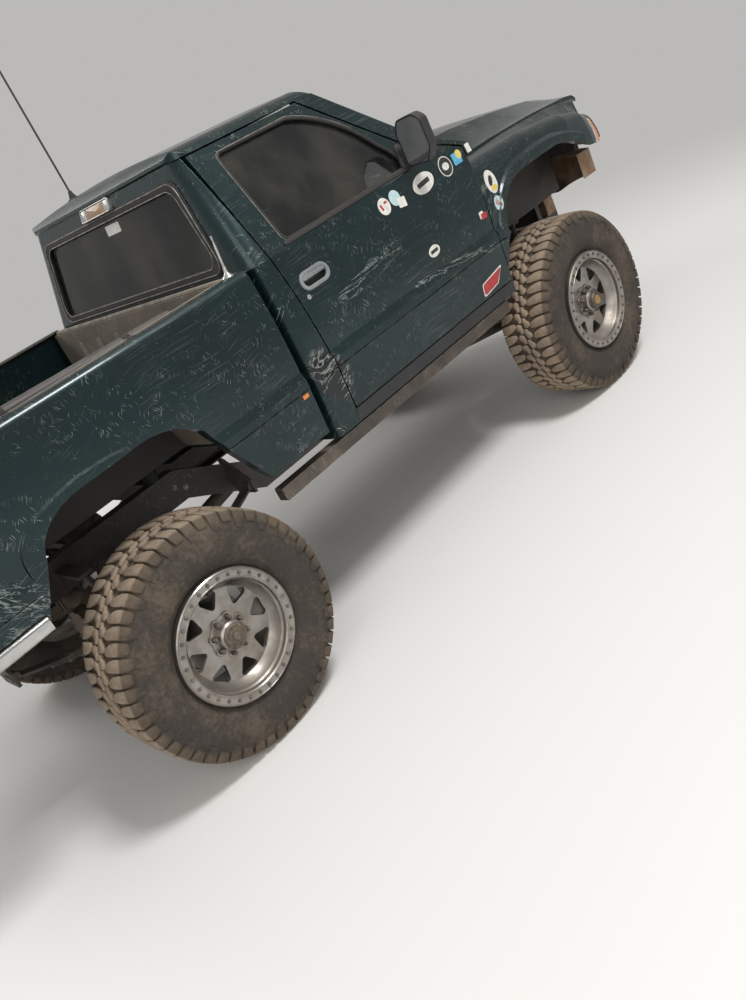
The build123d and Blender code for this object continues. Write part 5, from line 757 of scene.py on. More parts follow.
class Paintbox:
    """All finishes of the truck, each made once."""

    PAINT = Finish(
        "green metallic paint", "paint", (0.0034, 0.0215, 0.0240), 0.34, second=(0.0022, 0.0140, 0.0160),
        metallic=0.6, coat=0.45, coat_roughness=0.1, dust=0.12, dust_base=0.02, splash=1.0, wear=0.4,
        wear_width=0.004, wear_colour=(0.3, 0.32, 0.3), scratches=0.8, variation_scale=2.0, soften=0.004,
        scuffs=(
            Scuff((-0.25, -0.99, 1.08), (0.1, 0.12, 0.15), 0.35, 9.0, dark=0.8, strength=0.5),
            Scuff((0.2, -0.98, 1.35), (0.26, 0.12, 0.045), 0.12, 12.0, strength=0.5),
            Scuff((0.75, -0.98, 1.13), (0.38, 0.12, 0.03), -0.12, 11.0, strength=0.5),
            Scuff((-1.9, -1.0, 1.1), (0.2, 0.12, 0.12), -0.5, 12.0, strength=0.35),
            Scuff((-2.22, -1.0, 1.02), (0.14, 0.12, 0.13), 0.6, 12.0, strength=0.35),
            Scuff((1.15, -0.97, 1.3), (0.09, 0.12, 0.1), 0.9, 14.0, strength=0.4),
        ),
    )
    BED_PAINT = Finish(
        "dusty bed paint", "paint", (0.055, 0.062, 0.058), 0.6, second=(0.15, 0.12, 0.09), dust=0.9,
        dust_base=0.3, splash=1.3, scratches=0.6, wear=0.5, variation_scale=5.0, soften=0.003,
        # Painted shade: near black on the bed's faces that look down or outward, under the bed and in the
        # wheel arches.
        painted_shade=(0.022, 0.018, 0.015),
    )
    DUSTY_RAIL = Finish(
        "dusty rail edge", "paint", (0.2, 0.165, 0.13), 0.7, second=(0.06, 0.07, 0.065), dust=0.7,
        dust_base=0.5, scratches=0.6, variation_scale=14.0,
    )
    BLACK_STEEL = Finish(
        "satin black steel", "black_steel", (0.018, 0.018, 0.019), 0.5, second=(0.035, 0.03, 0.027),
        dust=0.5, splash=1.1, wear=0.6, wear_width=0.005, wear_colour=(0.26, 0.235, 0.21), scratches=0.5,
        grain=0.0006, grain_scale=260.0, soften=0.003,
    )
    SCRAPED_STEEL = Finish(
        "scraped steel tube", "black_steel", (0.045, 0.042, 0.04), 0.42, second=(0.13, 0.11, 0.095),
        metallic=0.6, dust=0.55, dust_base=0.35, wear=0.9, wear_width=0.006, wear_colour=(0.38, 0.33, 0.28),
        scratches=1.0, grain=0.0006, grain_scale=200.0, variation_scale=8.0,
    )
    CAST = Finish(
        "cast metal", "cast_metal", (0.055, 0.05, 0.046), 0.62, second=(0.11, 0.07, 0.045), metallic=0.5,
        dust=0.6, splash=1.2, wear=0.4, grain=0.0012, grain_scale=180.0, soften=0.003,
    )
    RUSTY = Finish(
        "rusty plate", "rusty_steel", (0.34, 0.25, 0.175), 0.58, second=(0.2, 0.105, 0.055), metallic=0.45,
        dust=0.5, wear=0.7, wear_colour=(0.5, 0.42, 0.34), scratches=0.6, grain=0.0008, variation_scale=9.0,
        soften=0.003,
    )
    CHROME = Finish(
        "scraped chrome", "chrome", (0.55, 0.55, 0.54), 0.16, second=(0.42, 0.42, 0.41), metallic=1.0,
        dust=0.3, wear=0.5, wear_colour=(0.3, 0.28, 0.25), scratches=0.9, scratch_colour=(0.2, 0.19, 0.17),
        soften=0.004,
    )
    BRIGHT_TRIM = Finish(
        "bright trim", "chrome", (0.5, 0.5, 0.47), 0.3, metallic=0.85, dust=0.3, dust_base=0.3,
    )
    # Painted highlight: light lines along the window rubbers that stand for light caught on their edges.
    GLINT_LINE = Finish(
        "painted glint line", "chrome", (0.34, 0.32, 0.29), 0.5, second=(0.1, 0.1, 0.09), metallic=0.3,
        dust=0.3, dust_base=0.3, variation_scale=30.0,
    )
    RUBBER = Finish("black rubber", "rubber", (0.014, 0.014, 0.014), 0.72, dust=0.25, grain=0.0003)
    PLASTIC = Finish(
        "black plastic", "black_plastic", (0.013, 0.013, 0.014), 0.45, second=(0.022, 0.022, 0.023),
        dust=0.18, wear=0.25, wear_colour=(0.12, 0.12, 0.12), grain=0.0002, grain_scale=900.0, soften=0.003,
    )
    CABIN = Finish(
        "dark cabin lining", "black_plastic", (0.03, 0.03, 0.033), 0.8, second=(0.02, 0.02, 0.023),
        dust=0.12, grain=0.0004, grain_scale=600.0,
    )
    GREY_PLASTIC = Finish(
        "grey handle plastic", "black_plastic", (0.24, 0.26, 0.27), 0.42, second=(0.14, 0.15, 0.16),
        dust=0.3, scratches=0.5, soften=0.002,
    )
    CLOTH = Finish(
        "seat cloth", "seat_cloth", (0.05, 0.052, 0.058), 0.95, second=(0.075, 0.076, 0.08), dust=0.2,
        grain=0.0012, grain_scale=700.0,
    )
    PIPING = Finish("seat piping", "seat_cloth", (0.02, 0.02, 0.022), 0.7, dust=0.2)
    BELT = Finish(
        "belt webbing", "seat_cloth", (0.02, 0.02, 0.022), 0.85, dust=0.15, grain=0.001, grain_scale=900.0,
    )
    RED_LENS = Finish(
        "red lens", "lamp", (0.30, 0.010, 0.009), 0.14, second=(0.2, 0.008, 0.008), coat=0.7, dust=0.25,
        ridges=38.0,
    )
    CLEAR_LENS = Finish(
        "clear lens", "lamp", (0.6, 0.62, 0.62), 0.12, second=(0.45, 0.47, 0.47), metallic=0.35, coat=0.8,
        dust=0.3, ridges=40.0,
    )
    AMBER_LENS = Finish(
        "amber lens", "lamp", (0.75, 0.22, 0.02), 0.16, second=(0.6, 0.16, 0.015), coat=0.8, dust=0.2,
        ridges=46.0,
    )
    PAD = Finish(
        "dusty vinyl pad", "rubber", (0.017, 0.018, 0.022), 0.5, second=(0.04, 0.042, 0.05), dust=0.35,
        dust_base=0.2, scratches=0.4, grain=0.0006, grain_scale=120.0,
    )
    WHITE_STICKER = Finish(
        "white sticker", "black_plastic", (0.72, 0.72, 0.68), 0.45, second=(0.56, 0.55, 0.5), dust=0.2,
        scratches=0.3, scratch_colour=(0.2, 0.2, 0.18), variation_scale=40.0,
    )
    PALE_STICKER = Finish(
        "pale blue sticker", "black_plastic", (0.36, 0.56, 0.58), 0.45, second=(0.5, 0.6, 0.6), dust=0.2,
        variation_scale=40.0,
    )
    BLUE_STICKER = Finish(
        "blue sticker", "black_plastic", (0.05, 0.30, 0.50), 0.45, second=(0.12, 0.4, 0.6), dust=0.15,
        variation_scale=40.0,
    )
    BLACK_STICKER = Finish(
        "black sticker", "black_plastic", (0.012, 0.012, 0.013), 0.45, second=(0.03, 0.03, 0.03), dust=0.15,
        variation_scale=40.0,
    )
    RED_STICKER = Finish(
        "red sticker", "black_plastic", (0.45, 0.025, 0.03), 0.45, second=(0.3, 0.03, 0.03), dust=0.2,
        scratches=0.3, variation_scale=40.0,
    )
    YELLOW_STICKER = Finish(
        "yellow sticker", "black_plastic", (0.66, 0.50, 0.08), 0.45, second=(0.6, 0.5, 0.2), dust=0.2,
        variation_scale=40.0,
    )
    FADED_STICKER = Finish(
        "faded sticker", "black_plastic", (0.30, 0.14, 0.12), 0.5, second=(0.4, 0.36, 0.33), dust=0.3,
        variation_scale=40.0,
    )
    ROOF_AMBER = Finish(
        "dusty amber lens", "lamp", (0.36, 0.21, 0.1), 0.25, second=(0.28, 0.17, 0.09), coat=0.5, dust=0.5,
        dust_base=0.5, ridges=30.0,
    )
    DIAL = Finish(
        "dial face", "black_plastic", (0.02, 0.02, 0.02), 0.3, second=(0.05, 0.05, 0.05), coat=0.6, dust=0.1,
    )
    TYRE = TyreFinish("dusty tyre rubber")
    ALLOY = Finish(
        "machined alloy", "machined_alloy", (0.36, 0.35, 0.335), 0.24, second=(0.24, 0.222, 0.2),
        metallic=1.0, dust=0.38, dust_base=0.35, splash=0.7, wear=0.2, scratches=0.5,
        scratch_colour=(0.22, 0.19, 0.16), variation_scale=12.0, soften=0.002,
    )
    DARK_ALLOY = Finish(
        "dark hub metal", "machined_alloy", (0.06, 0.055, 0.05), 0.45, second=(0.11, 0.09, 0.07),
        metallic=0.8, dust=0.4, dust_base=0.3, wear=0.7, wear_width=0.002,
    )
    BOLTS = Finish(
        "plain steel bolts", "machined_alloy", (0.2, 0.19, 0.175), 0.35, second=(0.11, 0.09, 0.075),
        metallic=0.95, dust=0.35, dust_base=0.3, variation_scale=40.0,
    )
    BRASS = Finish("hub dial", "machined_alloy", (0.5, 0.32, 0.11), 0.35, metallic=0.8, dust=0.25)
    MIRROR = Finish("mirror glass", "glass", (0.6, 0.62, 0.63), 0.04, metallic=1.0, dust=0.15)
    # Painted shade: this near-black glass stands in for the shaded inside of the cab as well as its tint.
    GLASS = GlassFinish("tinted glass with painted cab shade", "glass", (0.006, 0.008, 0.008))

    def __init__(self) -> None:
        """Start with no material made."""
        self._made: dict[str, bpy.types.Material] = {}

    def get(self, finish: "AnyFinish") -> bpy.types.Material:
        """Return a finish's material, made when first asked for.

        Args:
            finish: The finish.

        Returns:
            Its material.
        """
        if finish.name not in self._made:
            self._made[finish.name] = finish.material()
        return self._made[finish.name]


AnyFinish = Finish | GlassFinish | TyreFinish
PAINTS = Paintbox()


def dress(piece: bpy.types.Object, finish: AnyFinish) -> None:
    """Give a whole piece one finish.

    Args:
        piece: Mesh object.
        finish: Finish that it gets.
    """
    piece.data.materials.clear()
    piece.data.materials.append(PAINTS.get(finish))


# Mesh helpers


def frame_at(origin: Sequence[float], across: Sequence[float], out: Sequence[float]) -> Matrix:
    """Place a form so that its X runs across and its Z points out.

    Args:
        origin: Where the form's origin goes.
        across: Direction of its X, made square to Z.
        out: Direction of its Z.

    Returns:
        The placing matrix.
    """
    z = Vector(out).normalized()
    x = Vector(across)
    x = (x - z * x.dot(z)).normalized()
    return Matrix.Translation(origin) @ Matrix((x, z.cross(x), z)).transposed().to_4x4()


MIRROR = Matrix.Diagonal((1.0, -1.0, 1.0, 1.0))


class Form:
    """A piece being modelled in a bmesh, in metres."""

    def __init__(self) -> None:
        """Start empty."""
        self.mesh = bmesh.new()

    def take(self, other: "Form", *places: Matrix) -> "Form":
        """Take in another form, once for each place, and free it.

        Args:
            other: Form to take in.
            places: Placing matrices; none means as it stands.

        Returns:
            This form.
        """
        data = bpy.data.meshes.new("taken")
        for place in places or (Matrix(),):
            other.mesh.to_mesh(data)
            data.transform(place)
            if place.determinant() < 0:
                data.flip_normals()
            self.mesh.from_mesh(data)
        bpy.data.meshes.remove(data)
        other.mesh.free()
        return self

    def move(self, place: Matrix) -> "Form":
        """Move the whole form."""
        bmesh.ops.transform(self.mesh, matrix=place, verts=self.mesh.verts)
        return self

    def round(
        self, width: float, segments: int = 2, edges: Iterable[bmesh.types.BMEdge] | None = None,
    ) -> "Form":
        """Round edges.

        Args:
            width: Width of the rounding.
            segments: Its steps.
            edges: The edges; none means all.

        Returns:
            This form.
        """
        bmesh.ops.bevel(
            self.mesh, geom=list(self.mesh.edges if edges is None else edges), offset=width,
            offset_type="OFFSET", segments=segments, profile=0.5, affect="EDGES", clamp_overlap=True,
            material=-1,
        )
        return self

    def cut(self, origin: Sequence[float], normal: Sequence[float]) -> "Form":
        """Add an edge loop where a plane crosses the form.

        Args:
            origin: Point on the plane.
            normal: The plane's normal.

        Returns:
            This form.
        """
        geom = self.mesh.verts[:] + self.mesh.edges[:] + self.mesh.faces[:]
        bmesh.ops.bisect_plane(self.mesh, geom=geom, dist=1e-6, plane_co=origin, plane_no=normal)
        return self

    def map(self, rule: Callable[[Vector], Vector]) -> "Form":
        """Move each vertex by a rule.

        Args:
            rule: Gives a vertex's new place from its old one.

        Returns:
            This form.
        """
        for vertex in self.mesh.verts:
            vertex.co = rule(vertex.co)
        return self


def slab(low: Sequence[float], high: Sequence[float], edge: float = 0.0, segments: int = 2) -> Form:
    """Box between two corners.

    Args:
        low: Its lowest corner.
        high: Its highest corner.
        edge: Rounding of its edges.
        segments: Steps of the rounding.

    Returns:
        The box.
    """
    form = Form()
    verts = bmesh.ops.create_cube(form.mesh, size=1.0)["verts"]
    low, high = Vector(low), Vector(high)
    bmesh.ops.scale(form.mesh, vec=high - low, verts=verts)
    bmesh.ops.translate(form.mesh, vec=(low + high) / 2, verts=verts)
    return form.round(edge, segments) if edge else form


def prism(outline: Outline, depth: float, edge: float = 0.0, segments: int = 2) -> Form:
    """Outline in XY made thick towards +Z.

    Args:
        outline: The outline.
        depth: The thickness.
        edge: Rounding of its upper rim.
        segments: Steps of the rounding.

    Returns:
        The solid form.
    """
    form = Form()
    face = form.mesh.faces.new([form.mesh.verts.new((x, y, 0.0)) for x, y in outline])
    made = bmesh.ops.extrude_face_region(form.mesh, geom=[face])["geom"]
    bmesh.ops.translate(
        form.mesh, vec=(0.0, 0.0, depth), verts=[v for v in made if isinstance(v, bmesh.types.BMVert)],
    )
    bmesh.ops.recalc_face_normals(form.mesh, faces=form.mesh.faces[:])
    if edge:
        form.round(
            edge, segments, [e for e in form.mesh.edges if all(v.co.z > depth - 1e-7 for v in e.verts)],
        )
    return form


def turned(profile: Outline, steps: int = 32, closed: bool = False) -> Form:
    """Profile turned about Z.

    Args:
        profile: Radius and height of its points.
        steps: Steps round the axis.
        closed: Whether the profile is a loop.

    Returns:
        The turned form.
    """
    form = Form()
    verts = [form.mesh.verts.new((radius, 0.0, height)) for radius, height in profile]
    edges = [form.mesh.edges.new(pair) for pair in zip(verts, verts[1:] + ([verts[0]] if closed else []))]
    bmesh.ops.spin(
        form.mesh, geom=verts + edges, cent=(0, 0, 0), axis=(0, 0, 1), angle=math.tau, steps=steps,
        use_merge=True, use_duplicate=False,
    )
    bmesh.ops.remove_doubles(form.mesh, verts=form.mesh.verts[:], dist=1e-6)
    bmesh.ops.recalc_face_normals(form.mesh, faces=form.mesh.faces[:])
    return form


def tube(
    points: Sequence[Sequence[float]], radius: float, closed: bool = False, smooth: bool = False,
    sides: int = 2,
) -> Form:
    """Round bar along points.

    Args:
        points: Points of its middle line.
        radius: Its radius.
        closed: Whether it is a ring.
        smooth: Whether it curves smoothly between the points.
        sides: Roundness of its section.

    Returns:
        The bar.
    """
    curve = bpy.data.curves.new("run", "CURVE")
    curve.dimensions = "3D"
    curve.bevel_depth = radius
    curve.bevel_resolution = sides
    curve.use_fill_caps = not closed
    curve.resolution_u = 8
    spline = curve.splines.new("NURBS" if smooth else "POLY")
    spline.points.add(len(points) - 1)
    for point, place in zip(spline.points, points):
        point.co = (*place, 1.0)
    spline.use_cyclic_u = closed
    if smooth:
        spline.order_u = 3
        spline.use_endpoint_u = not closed
    carrier = bpy.data.objects.new("run", curve)
    data = bpy.data.meshes.new_from_object(carrier)
    form = Form()
    form.mesh.from_mesh(data)
    bpy.data.objects.remove(carrier)
    bpy.data.curves.remove(curve)
    bpy.data.meshes.remove(data)
    bmesh.ops.remove_doubles(form.mesh, verts=form.mesh.verts[:], dist=1e-6)
    bmesh.ops.recalc_face_normals(form.mesh, faces=form.mesh.faces[:])
    return form


def bolt(radius: float, height: float) -> Form:
    """Hexagon head on a washer, standing on XY.

    Args:
        radius: Reach of the head's corners.
        height: Height of the head.

    Returns:
        The bolt.
    """
    form = turned(((radius * 1.35, 0.0), (radius * 1.35, height * 0.2), (radius * 0.9, height * 0.25)), 14)
    hexagon = [(radius * math.cos(k * math.pi / 3), radius * math.sin(k * math.pi / 3)) for k in range(6)]
    return form.take(prism(hexagon, height, radius * 0.14, 1))


def round_about(count: int, reach: float, height: float = 0.0, start: float = 0.0) -> list[Matrix]:
    """Places in a ring about Z.

    Args:
        count: How many.
        reach: Their distance from Z.
        height: Their height.
        start: Turn of the first, in radians.

    Returns:
        The placing matrices.
    """
    return [
        Matrix.Rotation(start + k * math.tau / count, 4, "Z") @ Matrix.Translation((reach, 0.0, height))
        for k in range(count)
    ]


def arc_points(
    first: Sequence[float], middle: Sequence[float], last: Sequence[float], count: int = 6,
) -> Corners:
    """Points of the arc through three points in a plane.

    Args:
        first: Where it starts.
        middle: A point on its way.
        last: Where it ends.
        count: How many steps it takes.

    Returns:
        Its points, without the first.
    """
    (ax, ay), (bx, by), (cx, cy) = first, middle, last
    d = 2 * (ax * (by - cy) + bx * (cy - ay) + cx * (ay - by))
    a, b, c = ax * ax + ay * ay, bx * bx + by * by, cx * cx + cy * cy
    ux = (a * (by - cy) + b * (cy - ay) + c * (ay - by)) / d
    uy = (a * (cx - bx) + b * (ax - cx) + c * (bx - ax)) / d
    start, halfway, end = (math.atan2(y - uy, x - ux) for x, y in (first, middle, last))
    sweep = (end - start) % math.tau
    if (halfway - start) % math.tau > sweep:
        sweep -= math.tau
    reach = math.hypot(ax - ux, ay - uy)
    return [
        (ux + reach * math.cos(start + sweep * k / count), uy + reach * math.sin(start + sweep * k / count))
        for k in range(1, count + 1)
    ]


def oval(width: float, height: float, count: int = 28) -> Corners:
    """Outline of an oval.

    Args:
        width: Size along X.
        height: Size along Y.
        count: How many points it has.

    Returns:
        The outline.
    """
    return [
        (width / 2 * math.cos(k * math.tau / count), height / 2 * math.sin(k * math.tau / count))
        for k in range(count)
    ]


def stadium(length: float, height: float, count: int = 8) -> Corners:
    """Outline of a slot with round ends.

    Args:
        length: Size along X.
        height: Size along Y.
        count: Steps of each end.

    Returns:
        The outline.
    """
    reach = (length - height) / 2
    return [
        (side * (reach + height / 2 * math.sin(turn)), -side * height / 2 * math.cos(turn))
        for side in (1, -1) for turn in (math.pi * k / count for k in range(count + 1))
    ]


def soft_box(width: float, height: float, corner: float, count: int = 4) -> Corners:
    """Outline of a rectangle with round corners.

    Args:
        width: Size along X.
        height: Size along Y.
        corner: Radius of the corners.
        count: Steps of each corner.

    Returns:
        The outline.
    """
    points = []
    for quarter, (sx, sy) in enumerate(((1, 1), (-1, 1), (-1, -1), (1, -1))):
        for k in range(count + 1):
            turn = (quarter + k / count) * math.pi / 2
            x = sx * (width / 2 - corner) + corner * math.cos(turn)
            y = sy * (height / 2 - corner) + corner * math.sin(turn)
            points.append((x, y))
    return points


SKINS: dict[str, BVHTree] = {}


def hit(node: str, origin: Sequence[float], way: Sequence[float]) -> tuple[Vector, Vector] | None:
    """Find where a line first meets a CAD node.

    Args:
        node: The node.
        origin: Start of the line.
        way: Its direction.

    Returns:
        The point on the node and its normal towards the start, or None where the line misses.
    """
    if node not in SKINS:
        data = frame["nodes"][node].data
        SKINS[node] = BVHTree.FromPolygons(
            [v.co for v in data.vertices], [p.vertices[:] for p in data.polygons],
        )
    point, normal, _, _ = SKINS[node].ray_cast(Vector(origin), Vector(way).normalized(), 4.0)
    if point is None:
        return None
    return point, normal if normal.dot(Vector(way)) < 0 else -normal


def land(node: str, origin: Sequence[float], way: Sequence[float]) -> tuple[Vector, Vector]:
    """Find where a line first meets a CAD node that it must meet.

    Args:
        node: The node.
        origin: Start of the line.
        way: Its direction.

    Returns:
        The point on the node and its normal towards the start.
    """
    found = hit(node, origin, way)
    if found is None:
        raise ValueError(f"no {node} seen from {tuple(origin)}")
    return found


def keep(
    name: str, form: Form, finish: AnyFinish | None, body: str | None = "chassis", angle: float = 38.0,
) -> bpy.types.Object:
    """Turn a form into a piece at the origin that rides on a body.

    Args:
        name: Name of the piece.
        form: The form, which is freed.
        finish: Its finish.
        body: CAD body that it rides on; None for the stage.
        angle: Edges sharper than this many degrees stay sharp.

    Returns:
        The new object.
    """
    data = bpy.data.meshes.new(name)
    form.mesh.to_mesh(data)
    form.mesh.free()
    data.shade_smooth()
    data.set_sharp_from_angle(angle=math.radians(angle))
    made = bpy.data.objects.new(name, data)
    bpy.context.scene.collection.objects.link(made)
    if finish is not None:
        dress(made, finish)
    if body is None:
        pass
    else:
        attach(made, body)
        log.info("made %s on %s: %d faces", name, body, len(data.polygons))
    return made


def rim(outline: Outline, inset: float, depth: float, edge: float = 0.0) -> Form:
    """Flat rim inside an outline, made thick towards +Z.

    Args:
        outline: Closed outline in XY.
        inset: Width of the rim.
        depth: Its thickness.
        edge: Rounding of its upper edges.

    Returns:
        The rim.
    """
    form = Form()
    face = form.mesh.faces.new([form.mesh.verts.new((x, y, 0.0)) for x, y in outline])
    if face.calc_area() and face.normal.z < 0:
        face.normal_flip()
    form.mesh.normal_update()
    band = bmesh.ops.inset_region(
        form.mesh, faces=[face], thickness=inset, use_even_offset=True, use_boundary=True,
    )["faces"]
    bmesh.ops.delete(form.mesh, geom=[face], context="FACES_ONLY")
    made = bmesh.ops.extrude_face_region(form.mesh, geom=band)["geom"]
    bmesh.ops.translate(
        form.mesh, vec=(0.0, 0.0, depth), verts=[v for v in made if isinstance(v, bmesh.types.BMVert)],
    )
    bmesh.ops.recalc_face_normals(form.mesh, faces=form.mesh.faces[:])
    if edge:
        high = [e for e in form.mesh.edges if all(v.co.z > depth - 1e-7 for v in e.verts)]
        outer = [
            e for e in high if len(e.link_faces) == 2 and any(abs(f.normal.z) < 0.5 for f in e.link_faces)
        ]
        form.round(edge, 2, outer)
    return form


def corner_points(points: Outline, radii: Sequence[float], count: int = 5) -> Corners:
    """Round each corner of an outline by its own radius.

    Args:
        points: Corners of the outline.
        radii: Radius at each; 0 keeps it sharp.
        count: Steps of each rounding.

    Returns:
        The rounded outline.
    """
    outline = []
    for k, (x, y) in enumerate(points):
        if not radii[k]:
            outline.append((x, y))
            continue
        corner = Vector((x, y))
        back = (Vector(points[k - 1]) - corner).normalized()
        ahead = (Vector(points[(k + 1) % len(points)]) - corner).normalized()
        half = back.angle(ahead) / 2
        run = radii[k] / math.tan(half)
        centre = corner + (back + ahead).normalized() * radii[k] / math.sin(half)
        first, last = corner + back * run - centre, corner + ahead * run - centre
        sweep = math.atan2(first.x * last.y - first.y * last.x, first.dot(last))
        start = math.atan2(first.y, first.x)
        for step in range(count + 1):
            turn = start + sweep * step / count
            outline.append((centre.x + radii[k] * math.cos(turn), centre.y + radii[k] * math.sin(turn)))
    return outline


# Wheels


@dataclass
class MudTyre:
    """Tread and carcass of one mud tyre, in millimetres about the axle.

    The rows of groove and crown are distance from the tread's middle, width and radius. Those of a
    long or short lug are distance, shift round the tyre and half width. The carcass's are radius
    and width, and the other lugs' are points round the tyre and across it.
    """

    pitches: int = 26
    radius: float = 480.0
    depth: float = 18.0
    bevel: float = 2.2
    groove: Rows = (
        (0, 0, 482), (60, 60, 482), (110, 110, 480), (138, 135, 474), (152, 146, 464), (175, 152, 452),
        (200, 160, 430), (215, 165, 420), (240, 169.5, 396),
    )
    crown: Rows = (
        (0, 0, 500), (60, 60, 499.5), (110, 110, 498), (138, 140, 494), (152, 153, 484), (175, 161, 462),
        (200, 166, 438), (215, 169, 421), (240, 172.5, 396),
    )
    long_lug: Rows = (
        (50, 17, 8), (62, 15, 16), (84, 9, 21), (108, 3, 23.5), (132, -1, 24.5), (156, -2, 24.5),
        (182, -3, 22), (212, -2, 17),
    )
    short_lug: Rows = (
        (58, 17, 8), (70, 14, 16), (90, 8, 21), (112, 3, 23.5), (134, -1, 24.5), (158, -2, 23.5),
        (184, -3, 18),
    )
    middle_lug: Rows = (
        (-26, 6), (-4, 3), (7, 10), (21, 11), (28, 28), (17, 48), (-4, 43), (-12, 27), (-27, 22),
    )
    side_block: Rows = ((-24, 219), (-7, 219), (-9, 231), (-23, 231))
    carcass: Rows = (
        (254.4, 136), (275, 136), (283, 150), (300, 158), (304, 162), (310, 162), (314, 165), (345, 171),
        (375, 173), (405, 170), (432, 163), (452, 153), (466, 146), (476, 136), (480.5, 110), (482, 60),
        (482, 0),
    )

    @staticmethod
    def _meridian(rows: Rows, t: float) -> tuple[float, float]:
        """Find a point of the groove's or the crown's line.

        Args:
            rows: Distance, width and radius of its points.
            t: Distance from the tread's middle, with its side's sign.

        Returns:
            Width and radius there.
        """
        reach = abs(t)
        for (t0, w0, r0), (t1, w1, r1) in zip(rows, rows[1:]):
            if reach <= t1:
                share = (reach - t0) / (t1 - t0)
                return math.copysign(w0 + (w1 - w0) * share, t), r0 + (r1 - r0) * share
        return math.copysign(rows[-1][1], t), rows[-1][2]

    def _bend(self, point: Vector) -> Vector:
        """Take a point from the flat tread to the tyre.

        Args:
            point: Point round the tyre, across it and above the groove, in millimetres.

        Returns:
            The point about the axle, in metres.
        """
        share = point.z / self.depth
        w0, r0 = self._meridian(self.groove, point.y)
        w1, r1 = self._meridian(self.crown, point.y)
        width, reach = w0 + (w1 - w0) * share, r0 + (r1 - r0) * share
        turn = point.x / self.radius
        return Vector((reach * math.cos(turn), reach * math.sin(turn), width)) / 1000.0

    def _lug(self, outline: Outline, rows: Iterable[float], depth: float) -> Form:
        """One lug on the flat tread, open below.

        Args:
            outline: Its outline.
            rows: Distances at which it is cut, where the tyre bends.
            depth: Its height.

        Returns:
            The lug.
        """
        form = prism(outline, depth, self.bevel, 1)
        floor = [face for face in form.mesh.faces if all(v.co.z < 0.01 for v in face.verts)]
        bmesh.ops.delete(form.mesh, geom=floor, context="FACES")
        for row in rows:
            form.cut((0, row, 0), (0, 1, 0))
        return form

    @staticmethod
    def _strip(rows: Rows) -> Corners:
        """Outline of a shoulder lug from its rows."""
        ahead = [(shift + half, t) for t, shift, half in rows]
        return ahead + [(shift - half, t) for t, shift, half in reversed(rows)]

    def pattern(self) -> Form:
        """All lugs of the tread, about the axle in metres.

        Returns:
            The lugs.
        """
        side = Form()
        step = math.tau * self.radius / self.pitches
        side.take(self._lug(self._strip(self.long_lug), (110, 138, 152, 175, 200), self.depth))
        half_step = Matrix.Translation((step / 2, 0, 0))
        side.take(self._lug(self._strip(self.short_lug), (110, 138, 152, 175), self.depth), half_step)
        side.take(self._lug(self.middle_lug, (), self.depth), Matrix(), half_step)
        between = Matrix.Translation((step / 2 + 4, -6, 0))
        side.take(self._lug(self.side_block, (), self.depth * 0.8), Matrix(), between)
        other_side = Matrix.Translation((step / 4, 0, 0)) @ Matrix.Rotation(math.pi, 4, "Z")
        whole = Form().take(side, Matrix(), other_side)
        whole.map(self._bend)
        everything = whole.mesh.verts[:] + whole.mesh.edges[:] + whole.mesh.faces[:]
        bmesh.ops.spin(
            whole.mesh, geom=everything, cent=(0, 0, 0), axis=(0, 0, 1),
            angle=math.tau * (self.pitches - 1) / self.pitches, steps=self.pitches - 1, use_duplicate=True,
        )
        return whole

    def build(self) -> bpy.types.Mesh:
        """Mesh of the whole tyre about the axle, with each point's reach.

        Returns:
            The mesh.
        """
        rows = [(r / 1000.0, w / 1000.0) for r, w in self.carcass]
        form = turned(rows + [(r, -w) for r, w in reversed(rows[:-1])], 104)
        form.take(self.pattern())
        reach = form.mesh.verts.layers.float.new("reach")
        for vertex in form.mesh.verts:
            vertex[reach] = math.hypot(vertex.co.x, vertex.co.y)
        data = bpy.data.meshes.new("tyre")
        form.mesh.to_mesh(data)
        form.mesh.free()
        return data


